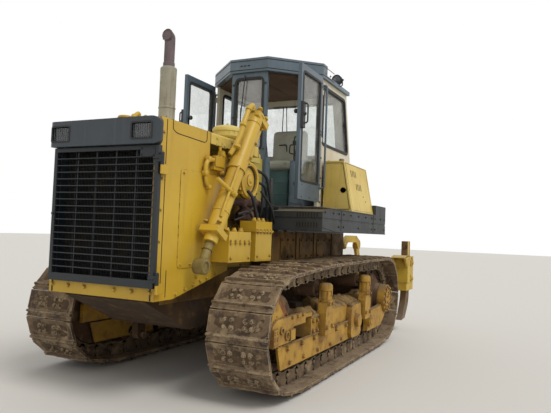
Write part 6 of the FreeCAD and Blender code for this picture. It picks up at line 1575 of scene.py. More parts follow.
@dataclass
class EngineBay:
    """What shows of the engine between nose and cab: heads, manifold, filters, lines and brackets."""

    half: float = 0.300
    front: float = 2.020
    rear: float = 0.760
    cylinders: int = 6
    cylinder_pitch: float = 0.200

    def cylinder_xs(self) -> list[float]:
        """Where the cylinders stand."""
        return [self.rear + 0.11 + i * self.cylinder_pitch for i in range(self.cylinders)]

    def block_side(self) -> None:
        """Heads, covers and bolts on the block's flanks."""
        piece = Piece("engine_heads")
        for x in self.cylinder_xs():
            cover = [(x - 0.085, 1.86, 0.012), (x + 0.085, 1.86, 0.012), (x + 0.085, 2.05, 0.02),
                     (x - 0.085, 2.05, 0.02)]
            piece.prism(rounded(cover, 3), "y", self.half - 0.002, self.half + 0.040)
            piece.bolts([(x + a * 0.065, self.half + 0.040, z) for a in BOTH for z in (1.885, 2.025)], OUT,
                        0.020)
            piece.prism(panel((x - 0.070, 1.42), (x + 0.070, 1.56), 0.02, 3), "y", self.half - 0.002,
                        self.half + 0.016)
            piece.bolts([(x + a * 0.052, self.half + 0.016, z) for a in BOTH for z in (1.437, 1.543)], OUT,
                        0.016)
        piece.block((self.rear + 0.02, self.half - 0.002, 1.20),
                    (self.front - 0.02, self.half + 0.024, 1.235))
        piece.bolts([(self.rear + 0.08 + 0.11 * k, self.half + 0.024, 1.217) for k in range(11)], OUT, 0.016)
        piece.done(OILY_ENAMEL, bevel=0.003, slot="engine_paint", twice=True)

    def manifold(self) -> None:
        """The rusty exhaust manifold, its branches and the turbocharger's housings."""
        piece = Piece("exhaust_manifold")
        piece.pipe([(self.rear + 0.10, 0.40, 1.76), (self.front - 0.10, 0.40, 1.76)], 0.044, 0.02, 18)
        for x in self.cylinder_xs():
            piece.pipe([(x, 0.30, 1.82), (x, 0.36, 1.81), (x, 0.40, 1.77)], 0.028, 0.03, 12)
            piece.block((x - 0.045, 0.300, 1.775), (x + 0.045, 0.314, 1.855))
            piece.bolts([(x + s * 0.034, 0.314, 1.815) for s in BOTH], OUT, 0.016)
        piece.turned((1.22, 0.44, 1.60), AHEAD, (
            (-0.060, 0.050), (-0.055, 0.085), (-0.02, 0.105), (0.02, 0.105), (0.045, 0.080), (0.060, 0.045),
            (0.090, 0.040)), 28)
        piece.pipe([(1.22, 0.42, 1.70), (1.22, 0.40, 1.76)], 0.040, 0.02, 14)
        piece.done(RUSTY_PIPE, slot="rusty_iron", twice=True)

    def filters(self) -> None:
        """Spin-on filters under their heads and the starter."""
        piece = Piece("engine_filters")
        for x in (0.92, 1.06, 1.72):
            piece.turned((x, 0.42, 1.30), UP, (
                (0.0, 0.030), (0.006, 0.046), (0.030, 0.052), (0.180, 0.052), (0.186, 0.046), (0.200, 0.034),
                (0.225, 0.034)), 24)
            piece.block((x - 0.055, 0.298, 1.515), (x + 0.055, 0.470, 1.560))
        piece.turned((1.30, 0.40, 1.30), AHEAD, (
            (0.0, 0.040), (0.006, 0.062), (0.16, 0.062), (0.165, 0.072), (0.23, 0.072), (0.235, 0.040)), 24)
        piece.done(BLACK_PLASTIC, bevel=0.002, slot="black_plastic", twice=True)

    def lines(self) -> None:
        """Black rubber-covered lines, and steel pipes each clamped at both ends."""
        black = Piece("engine_lines")
        routes = (
            (((1.46, 0.60, 1.86), (1.46, 0.655, 1.80), (1.30, 0.66, 1.50), (1.24, 0.62, 1.30),
              (1.02, 0.56, 1.46)), 0.017),
            (((1.28, 0.56, 2.10), (1.10, 0.62, 2.06), (0.98, 0.62, 1.78), (0.86, 0.58, 1.50)), 0.016),
            (((1.24, 0.52, 1.98), (1.06, 0.585, 1.96), (0.96, 0.57, 1.70), (0.90, 0.52, 1.48)), 0.013),
            (((1.18, 0.60, 1.88), (1.02, 0.655, 1.72), (0.94, 0.655, 1.56), (0.80, 0.60, 1.48)), 0.013),
            (((0.74, 0.50, 2.05), (0.86, 0.56, 1.90), (0.84, 0.57, 1.66), (0.80, 0.53, 1.48)), 0.022),
            (((0.72, 0.44, 1.94), (0.92, 0.50, 1.86), (0.96, 0.50, 1.66), (0.92, 0.42, 1.55)), 0.018),
            (((1.62, 0.585, 1.62), (1.50, 0.620, 1.66), (1.36, 0.600, 1.62), (1.20, 0.56, 1.50)), 0.012),
            (((1.66, 0.57, 1.56), (1.52, 0.60, 1.60), (1.30, 0.59, 1.70), (1.12, 0.50, 1.86)), 0.010),
        )
        for route, radius in routes:
            black.pipe(route, radius, 0.09, 12)
        black.done(RUBBER, slot="black_plastic", twice=True)
        steel = Piece("engine_pipes")
        for route, radius in (
            (((1.95, 0.33, 2.02), (1.95, 0.46, 2.02), (1.66, 0.50, 1.96), (1.64, 0.50, 1.70),
              (1.64, 0.40, 1.60)), 0.020),
            (((1.88, 0.33, 2.08), (1.78, 0.44, 2.10), (1.62, 0.46, 2.04)), 0.014),
            (((0.84, 0.32, 1.70), (0.84, 0.40, 1.66), (0.84, 0.40, 1.30), (1.10, 0.38, 1.22)), 0.012),
            (((1.50, 0.34, 1.66), (1.50, 0.40, 1.40), (1.62, 0.40, 1.26)), 0.010),
            (((0.98, 0.34, 2.08), (1.12, 0.40, 2.10), (1.22, 0.40, 2.06)), 0.012),
        ):
            steel.pipe(route, radius, 0.05, 10)
            for end, inner in ((route[0], route[1]), (route[-1], route[-2])):
                steel.turned(end, tuple(Vector(inner) - Vector(end)), (
                    (0.0, radius * 1.2), (0.001, radius * 1.7), (radius * 1.6, radius * 1.7),
                    (radius * 1.8, radius)), 6)
        steel.done(OILY_ENAMEL, slot="engine_paint", twice=True)

    def cleaner(self) -> None:
        """The air cleaner's clamp ring, wing nut, drain and the dark gasket behind its dish."""
        x, z, y = 1.435, 1.970, 0.610
        ring = Piece("air_cleaner_cover")
        ring.turned((x, y - 0.040, z), OUT, (
            (0.0, 0.178), (0.0, 0.188), (0.018, 0.188), (0.024, 0.181), (0.040, 0.181), (0.043, 0.174),
            (0.043, 0.160),
            (0.038, 0.153), (0.016, 0.147), (0.010, 0.120), (0.016, 0.096), (0.026, 0.080), (0.030, 0.058),
            (0.034, 0.046),
            (0.042, 0.030), (0.050, 0.022), (0.052, 0.008)), 48)
        ring.block((x + 0.150, y - 0.050, z - 0.110), (x + 0.185, y - 0.014, z - 0.080))
        for px, _, pz in around((x, y, z), 0.186, turns(4, math.pi / 4)):
            ring.block((px - 0.016, y - 0.060, pz - 0.016), (px + 0.016, y - 0.012, pz + 0.016))
        ring.done(YELLOW_ENAMEL, slot="body_paint", twice=True)
        seal = Piece("air_cleaner_seals")
        for r, level in ((0.184, -0.052), (0.135, -0.026)):
            seal.ring((x, y + level, z), OUT, r, 0.008)
        seal.done(RUBBER, slot="black_plastic", twice=True)

    def boxes(self) -> None:
        """Bolted flanges and seams on the four boxes beside the engine, and pipe ends over them."""
        piece = Piece("side_box_bolts")
        for x0, x1, low, high in ((1.19, 1.54, 1.18, 1.56), (1.64, 2.05, 1.17, 1.45)):
            level = high - 0.090
            for k in range(5):
                x = x0 + 0.03 + (x1 - x0 - 0.06) * k / 4
                piece.bolts([(x, 0.757, level)], UP, 0.020)
                piece.bolts([(x, 0.757, level - 0.016)], DOWN, 0.020)
            piece.bolts([(x0 + 0.04, 0.750, low + 0.04), (x1 - 0.04, 0.750, low + 0.04)], OUT, 0.022)
            piece.bead(((x0, 0.748, low + 0.002), (x1, 0.748, low + 0.002)), 0.005)
            for k in range(3):
                x = x0 + 0.08 + (x1 - x0 - 0.16) * k / 2
                piece.turned((x, 0.68, high), UP, (
                    (-0.002, 0.026), (0.014, 0.026), (0.018, 0.018), (0.034, 0.018), (0.036, 0.012)), 16)
        piece.done(YELLOW_ENAMEL, slot="body_paint", twice=True)

    def yokes(self) -> None:
        """Elbow pipes, swivel fittings and cap bolts round the cylinders' inner bearings."""
        piece = Piece("bearing_pipes")
        block = [(1.955, 2.030), (2.110, 2.030), (2.110, 2.125)]
        block += [(px, pz) for px, _, pz in around((2.040, 0, 2.150), 0.034, (-0.5, -1.1, -1.7, -2.3, -2.9))]
        block += [(1.990, 2.190), (1.955, 2.180)]
        piece.prism(block, "y", 0.562, 0.616)
        piece.block((1.94, 0.562, 2.000), (2.125, 0.608, 2.032))
        piece.pipe([(2.10, 0.586, 2.085), (2.19, 0.590, 2.085), (2.235, 0.590, 2.035),
                    (2.235, 0.590, 1.945)], 0.021, 0.06, 16)
        piece.pipe([(2.235, 0.590, 1.96), (2.225, 0.592, 1.88), (2.17, 0.588, 1.835)], 0.016, 0.05, 12)
        for x, z, r in ((2.19, 2.085, 0.028), (2.235, 1.955, 0.028), (2.17, 1.835, 0.024)):
            piece.turned((x, 0.562, z), OUT, ((0.0, r * 0.8), (0.004, r), (0.046, r), (0.052, r * 0.6)), 8)
        piece.side_bolts((1.80, 1.985), 0.605, (1.985, 2.145), 0.030)
        piece.bar((1.975, 0.570, 2.185), (1.975, 0.570, 2.225), 0.016, 12)
        piece.done(YELLOW_ENAMEL, slot="body_paint", twice=True)

    def build(self) -> None:
        """Builds the engine bay's visible fittings."""
        self.block_side()
        self.manifold()
        self.filters()
        self.lines()
        self.cleaner()
        self.boxes()
        self.yokes()


@dataclass
class LiftCylinder:
    """One blade-lift cylinder's head elbow, pipes, clamps, gland bolts and rod-end dirt."""

    side: int
    trunnion: Point = (1.860, 0.700, 2.060)
    tilt: float = 31.0
    tube: float = 0.077
    head: float = 0.640
    gland: float = 0.664

    def place(self, along: float, across: float, out: float) -> Point:
        """A place on the cylinder: down its axis, forward of it and outward of it."""
        a = math.radians(self.tilt)
        x, y, z = self.trunnion
        return (x + along * math.sin(a) + across * math.cos(a), self.side * (y + out),
                z - along * math.cos(a) + across * math.sin(a))

    def corners(self, along: float) -> list[Point]:
        """The four bolts' places on a square head or gland."""
        return [self.place(along, a * 0.068, b * 0.068) for a in BOTH for b in BOTH]

    def route(self, *places: tuple[float, float, float]) -> list[Point]:
        """Places on the cylinder as a pipe's route."""
        return [self.place(*place) for place in places]

    def along(self, amount: float = 1.0) -> Point:
        """The way down the axis."""
        a = math.radians(self.tilt)
        return (math.sin(a) * amount, 0.0, -math.cos(a) * amount)

    def build(self) -> None:
        """Builds the tube's and the rod's dressing."""
        name = "left" if self.side > 0 else "right"
        body = f"{name}_lift_tube"
        piece = Piece(f"lift_tube_fittings_{name}")
        for at in (-self.head + 0.012, -self.head + 0.120):
            piece.collar(self.place(at, 0, 0), self.along(), (0.0, 0.022), self.tube, 0.006, 0.002, 36)
        piece.bolts(self.corners(-self.head - 0.002), self.along(-1.0), 0.034)
        piece.pipe(self.route((-0.62, 0.080, 0), (-0.67, 0.118, 0), (-0.58, 0.152, 0), (-0.40, 0.150, 0),
                              (-0.28, 0.128, 0), (-0.14, 0.118, -0.02), (-0.05, 0.112, -0.05)), 0.024, 0.06,
                              14)
        for at, across in ((-0.58, 0.150), (-0.38, 0.150), (-0.14, 0.118)):
            piece.collar(self.place(at, across, 0), self.along(), (-0.018, 0.018), 0.026, 0.008, 0.002, 8)
        piece.bar(self.place(-0.575, -0.112, 0.006), self.place(-0.150, -0.112, 0.006), 0.030, 4)
        piece.pipe(self.route((-0.650, 0.020, 0), (-0.672, -0.050, 0), (-0.615, -0.112, 0),
                              (-0.540, -0.112, 0)),
                   0.025, 0.045, 14)
        for at, across in ((-0.672, -0.020), (-0.612, -0.112)):
            piece.collar(self.place(at, across, 0), self.along(), (-0.022, 0.022), 0.028, 0.009, 0.002, 8)
        piece.bolts([self.place(at, -0.112, 0.034) for at in (-0.55, -0.36, -0.18)], (0, self.side, 0), 0.020)
        for at in (0.30, 0.50):
            piece.collar(self.place(at, 0, 0), self.along(), (0.0, 0.028), self.tube, 0.004, 0.001, 36)
        piece.pipe(self.route((0.05, 0.060, 0.060), (0.09, 0.075, 0.066), (0.52, 0.075, 0.066),
                              (0.60, 0.060, 0.060)),
                   0.013, 0.03, 10)
        piece.bar(self.place(0.330, 0.250, 0.02), self.place(0.330, 0.02, 0.080), 0.020, 14)
        tilt = math.radians(self.tilt)
        piece.collar(self.place(0.330, 0.03, 0.078), (math.cos(tilt), 0.0, math.sin(tilt)), (-0.030, 0.030),
                     0.020, 0.012, 0.004, 12)
        piece.bolts(self.corners(self.gland + 0.062), self.along(), 0.028)
        piece.bolts(self.corners(self.gland - 0.004), self.along(-1.0), 0.028)
        for t in turns(6):
            piece.bar(*(self.place(self.gland + at, 0.058 * math.cos(t), 0.058 * math.sin(t))
                        for at in (0.058, 0.092)),
                      0.008, 8)
        piece.done(YELLOW_ENAMEL, slot="body_paint", body=body)
        seal = Piece(f"lift_rod_wiper_{name}")
        seal.ring(self.place(self.gland + 0.070, 0, 0), self.along(), 0.052, 0.009)
        seal.done(RUBBER, slot="black_plastic", body=body)
        eye = Piece(f"lift_rod_eye_details_{name}")
        for s in BOTH:
            eye.turned((2.407, self.side * 0.700 + s * 0.046, 1.150), (0, s, 0), (
                (-0.002, 0.062), (0.004, 0.062), (0.006, 0.056), (0.006, 0.040), (-0.020, 0.038)), 32)
        eye.bead([self.place(0.905, 0.044 * math.cos(k * math.pi / 8), 0.044 * math.sin(k * math.pi / 8))
                  for k in range(17)], 0.006)
        eye.done(EYE_STEEL, slot="rod_chrome", body=f"{name}_lift_rod")


def rear_wall(z: float) -> float:
    """The x of the cab's rear wall, which leans forward above its belt line, at a height."""
    return -1.230 + 0.240 * max(0.0, (z - 2.5) / 0.890)


@dataclass
class Cab:
    """Window seals, lining, wipers, levers, roof trim, rails and the doors' locks and handles."""

    half: float = 0.750
    floor: float = 1.775
    eave: float = 3.390
    front: float = 0.440
    front_half: float = 0.245
    post: float = -0.030

    def seals(self) -> None:
        """Black rubber seals round every pane."""
        piece = Piece("window_seals")
        corner, border, low, high = 0.06, 0.09, 2.580, 3.300
        piece.frame_strip(panel((-0.19, 2.44), (0.19, 3.32), corner), "x", self.front - 0.050,
                          self.front + 0.007, 0.030)
        outline = rounded([(-0.130, low, corner), (-0.130, high, corner),
                           (rear_wall(high) + border, high, corner),
                           (rear_wall(low) + border, low, corner)])
        for side in BOTH:
            inner, outer = side * (self.half - 0.046), side * (self.half + 0.008)
            piece.frame_strip(outline, "y", *sorted((inner, outer)), 0.036)
        piece.done(RUBBER, slot="black_plastic")

    def lining(self) -> None:
        """The brown roof lining with three strips along it, and the floor mat."""
        piece = Piece("roof_lining")
        inset = 0.045
        plan = [(self.front - inset, -self.front_half + 0.02), (self.front - inset, self.front_half - 0.02),
                (self.post - 0.02, self.half - inset), (-0.945, self.half - inset),
                (-0.945, -self.half + inset),
                (self.post - 0.02, -self.half + inset)]
        piece.prism(plan, "z", self.eave - 0.022, self.eave - 0.004)
        for y in (-0.35, 0.0, 0.35):
            piece.block((-0.93, y - 0.012, self.eave - 0.027),
                        (0.30 if y == 0.0 else 0.1, y + 0.012, self.eave - 0.020))
        piece.done(HEADLINER, slot="cream_paint")
        mat = Piece("floor_mat")
        mat.prism([(0.36, -0.22), (0.36, 0.22), (-0.02, 0.66), (-1.0, 0.66), (-1.0, -0.66), (-0.02, -0.66)],
                  "z",
                  self.floor + 0.001, self.floor + 0.010)
        for k in range(18):
            x = 0.30 - 0.07 * k
            mat.block((x, -0.2, self.floor + 0.008), (x + 0.02, 0.2, self.floor + 0.013))
        mat.done(RUBBER, slot="black_plastic")

    def wipers(self) -> None:
        """Wiper arms and blades on the rear and front panes, with the motor behind the visor."""
        piece = Piece("wipers")
        for y0, y1 in ((-0.205, -0.236), (-0.160, -0.160)):
            piece.bar((-0.985, y0, 3.32), (-1.035, y1, 2.90), 0.0065, 8)
        piece.block((-1.05, -0.26, 2.74), (-1.035, -0.14, 2.905))
        piece.pipe([(0.455, -0.06, 3.36), (0.458, -0.06, 3.30), (0.452, -0.10, 2.86)], 0.007, 0.02, 8)
        piece.block((0.444, -0.108, 2.52), (0.456, -0.096, 2.96))
        piece.done(BLACK_PLASTIC, slot="black_plastic")

    def fascia(self) -> None:
        """Roof edge seams, slots in the visor, and bolts on the cab's front, its sides and along the eave."""
        piece = Piece("roof_seams")
        over = 0.035
        edge = [(self.front + over, -self.front_half - 0.014), (self.front + over, self.front_half + 0.014),
                (self.post + 0.014, self.half + over), (-0.40, self.half + over)]
        for level in (3.420, 3.530):
            piece.pipe([(x + 0.001, y, level) for x, y in edge], 0.004, 0.01, 6)
            piece.pipe([(x + 0.001, -y, level) for x, y in edge[1:]], 0.004, 0.01, 6)
        # Dark blocks on the visor paint the shade inside its slots.
        for y in (-0.10, -0.05, 0.0):
            piece.block((self.front + over - 0.002, y - 0.016, 3.462),
                        (self.front + over + 0.002, y + 0.016, 3.476))
        piece.done(SEAM_DIRT_AND_SHADE, slot="black_paint")
        bolts = Piece("cab_bolts")
        bolts.front_bolts(self.front, (-0.222, 0.222), (1.85, 2.15, 2.45, 2.85, 3.25), 0.016)
        bolts.side_bolts((-0.10, -0.9, -1.1), self.half, (1.85, 2.15, 2.40), 0.018)
        bolts.side_bolts((-0.10, -0.25, -0.40), self.half + over, (3.46,), 0.016)
        bolts.done(DULL_ZINC, slot="cab_paint", twice=True)

    def rails(self) -> None:
        """Grab rails behind the doors, with their feet."""
        piece = Piece("grab_rails")
        x, y = -0.085, self.half + 0.062
        piece.pipe([(x, self.half, 3.300), (x, y, 3.300), (x, y, 2.02), (x, self.half, 2.02)], 0.013, 0.04,
                   12)
        for z in (3.300, 2.02):
            piece.turned((x, self.half - 0.002, z), OUT, ((0.0, 0.030), (0.006, 0.030), (0.008, 0.016)), 16)
        piece.done(CAB_ENAMEL, slot="cab_paint", twice=True)

    def controls(self) -> None:
        """Levers, pedals, an instrument panel and console lids, as such a cab has."""
        piece = Piece("levers")
        for x, y, lean in ((-0.04, 0.44, 0.06), (-0.14, 0.44, 0.03), (-0.10, -0.47, 0.05),
                           (-0.24, -0.47, 0.02)):
            piece.pipe([(x, y, 2.35), (x + lean * 0.3, y, 2.44), (x + lean, y, 2.56)], 0.008, 0.03, 8)
            piece.turned((x + lean, y, 2.555), (lean * 0.4, 0, 1), (
                (0.0, 0.010), (0.008, 0.020), (0.030, 0.024), (0.050, 0.020), (0.060, 0.008)), 16)
        for y in (-0.16, 0.16):
            piece.pipe([(0.30, y, 1.78), (0.26, y, 1.90), (0.22, y, 1.97)], 0.010, 0.03, 8)
            piece.block((0.16, y - 0.05, 1.965), (0.25, y + 0.05, 1.985))
        piece.done(BLACK_PLASTIC, bevel=0.002, slot="black_plastic")
        panel = Piece("console_lids")
        for side in BOTH:
            y0, y1 = sorted((side * 0.395, side * 0.575))
            panel.block((-0.50, y0, 2.358), (-0.02, y1, 2.372))
            panel.block((0.008, y0 + 0.01, 1.82), (0.016, y1 - 0.01, 2.33))
            panel.front_bolts(0.016, (y0 + 0.025, y1 - 0.025), (1.845, 2.305), 0.012)
            panel.block((0.016, (y0 + y1) / 2 - 0.014, 2.12), (0.024, (y0 + y1) / 2 + 0.014, 2.17))
        panel.block((0.27, -0.235, 2.06), (0.385, 0.235, 2.36))
        panel.done(CONSOLE_ENAMEL, bevel=0.004, slot="console_paint")

    def doors(self) -> None:
        """Each door's seals, lock block, handles, hinge barrels and bolts."""
        for side, name in ((1, "left"), (-1, "right")):
            outer, inner = side * 0.794, side * 0.752
            seal = Piece(f"door_seal_{name}")
            pane = panel((0.077, 2.050), (0.608, 3.298), 0.04)
            seal.frame_strip(pane, "y", *sorted((side * 0.748, side * 0.798)), 0.026)
            seal.done(RUBBER, slot="black_plastic", body=f"{name}_door")
            lock = Piece(f"door_lock_{name}")
            lock.block((0.600, outer - side * 0.002, 2.640), (0.668, outer + side * 0.034, 2.940))
            lock.turned((0.634, outer + side * 0.034, 2.80), (0, side, 0), (
                (0.0, 0.026), (0.004, 0.026), (0.008, 0.020), (0.020, 0.016), (0.024, 0.008)), 20)
            for x, face, handle in (
                (0.634, outer, ((0.03, 2.92), (0.075, 2.91), (0.075, 2.70), (0.03, 2.69))),
                (0.610, inner, ((0.0, 2.55), (-0.045, 2.55), (-0.045, 2.28), (0.0, 2.28))),
            ):
                lock.pipe([(x, face + side * out, z) for out, z in handle], 0.009, 0.03, 10)
            lock.turned((0.620, inner, 2.84), (0, -side, 0), (
                (0.0, 0.012), (0.020, 0.012), (0.024, 0.026), (0.044, 0.028), (0.056, 0.018)), 20)
            lock.done(BLACK_PLASTIC, bevel=0.003, slot="black_plastic", body=f"{name}_door")
            hinge = Piece(f"door_hinges_{name}")
            for z in (2.000, 2.650, 3.240):
                hinge.collar((-0.0051, side * 0.7732, z - 0.004), UP, (0.0, 0.080), 0.008, 0.005, 0.002, 16)
                hinge.block((0.010, outer, z + 0.006), (0.066, outer + side * 0.005, z + 0.066))
                hinge.bolts([(0.046, outer + side * 0.005, z + d) for d in (0.018, 0.054)], (0, side, 0),
                            0.014)
            hinge.bolts([(x, outer, z) for x in (0.12, 0.34, 0.56) for z in (1.875, 2.012)], (0, side, 0),
                        0.012)
            hinge.done(CAB_ENAMEL, bevel=0.0015, slot="cab_paint", body=f"{name}_door")

    def lamps(self) -> None:
        """The two work lamps: shell, cooling ribs, bezel, lens and bracket."""
        shell, lens = Piece("work_lamp_shells"), Piece("work_lamp_lenses")
        for side in BOTH:
            x, y, z = -0.640, side * 0.740, 3.515
            shell.turned((x - 0.045, y, z), AHEAD, (
                (0.0, 0.030), (0.004, 0.048), (0.020, 0.056), (0.024, 0.064), (0.060, 0.064), (0.072, 0.068),
                (0.088, 0.068),
                (0.090, 0.060), (0.082, 0.056)), 32)
            for k in range(4):
                shell.collar((x - 0.020 + 0.011 * k, y, z), AHEAD, (0.0, 0.005), 0.060, 0.007, 0.001, 28)
            stirrup = ((-0.070, 0.010), (-0.072, -0.080), (0.072, -0.080), (0.070, 0.010))
            shell.pipe([(x, y + out, z + up) for out, up in stirrup], 0.008, 0.02, 8)
            shell.bolts([(x, y + 0.074, z)], OUT, 0.020)
            shell.bolts([(x, y, z - 0.078)], UP, 0.020)
            lens.turned((x + 0.030, y, z), AHEAD,
                        ((0.0, 0.052), (0.008, 0.054), (0.012, 0.048), (0.014, 0.020)), 32)
        shell.done(BLACK_PLASTIC, replaces=("work_lamps",))
        lens.done(LAMP_DARK, slot="lamp_glass")

    def build(self) -> None:
        """Builds the cab's dressing."""
        self.seals()
        self.lining()
        self.wipers()
        self.fascia()
        self.rails()
        self.controls()
        self.doors()
        self.lamps()


@dataclass
class Seat:
    """The driver's seat: a teal base, a crowned cushion and a high back, with their piping."""

    low: Point = (-0.690, -0.160, 1.775)
    high: Point = (-0.080, 0.340, 2.850)
    base_top: float = 2.250
    cushion: float = 0.130
    back: float = 0.125

    def pad(self, name: str, low: Point, high: Point, crown: Point, corner: float) -> None:
        """Makes one crowned pad whose sides pull in between its corners.

        Args:
            name: The piece's name.
            low: Its lowest corner.
            high: Its highest corner.
            crown: How far its faces swell along x, y and z; a negative one pulls in.
            corner: How far its edges are rounded.
        """
        piece = Piece(name)
        bmesh.ops.create_cube(piece.mesh, size=2.0)
        bmesh.ops.subdivide_edges(piece.mesh, edges=piece.mesh.edges[:], cuts=13, use_grid_fill=True)
        half = (Vector(high) - Vector(low)) / 2
        centre = (Vector(high) + Vector(low)) / 2
        for v in piece.mesh.verts:
            u = v.co.copy()
            p = u * half
            core = Vector([max(-h + corner, min(h - corner, c)) for h, c in zip(half, p)])
            off = p - core
            if off.length > 1e-6:
                p = core + off.normalized() * corner
            for axis in range(3):
                a, b = (axis + 1) % 3, (axis + 2) % 3
                if abs(u[axis]) > 0.999:
                    p[axis] += math.copysign(crown[axis], u[axis]) * (1 - u[a] ** 2) * (1 - u[b] ** 2)
            v.co = centre + p
        made = piece.done(SEAT_VINYL, smooth=80, replaces=("seat",))
        cover = made.modifiers.new("smooth_cover", "SUBSURF")
        cover.levels = cover.render_levels = 1

    def build(self) -> None:
        """Builds the seat."""
        x0, y0, z0 = self.low
        x1, y1, z1 = self.high
        base = Piece("seat_base")
        base.prism(panel((x0 + 0.04, y0 + 0.04), (x1 - 0.04, y1 - 0.04), 0.03, 4), "z", z0, self.base_top)
        for level in (1.95, 2.10):
            base.bead([(x1 - 0.04, y0 + 0.06, level), (x1 - 0.04, y1 - 0.06, level)], 0.004)
        base.done(TEAL_VINYL, bevel=0.006, replaces=("seat",))
        self.pad("seat_cushion", (x0 + 0.12, y0, self.base_top), (x1, y1, self.base_top + self.cushion),
                 (0.006, -0.004, 0.016), 0.045)
        self.pad("seat_back", (x0, y0 + 0.004, self.base_top + 0.02), (x0 + self.back, y1 - 0.004, z1),
                 (0.014, -0.006, -0.004), 0.048)
        trim = Piece("seat_straps")
        face = x0 + self.back + 0.012
        for route in (
            ((-0.045, 2.654), (0.068, 2.655), (0.075, 2.562)),
            ((0.241, 2.656), (0.121, 2.653), (0.112, 2.543), (0.228, 2.513), (0.282, 2.557)),
        ):
            trim.pipe([(face, y, z) for y, z in route], 0.008, 0.02, 8)
        trim.done(RUBBER, slot="black_plastic")


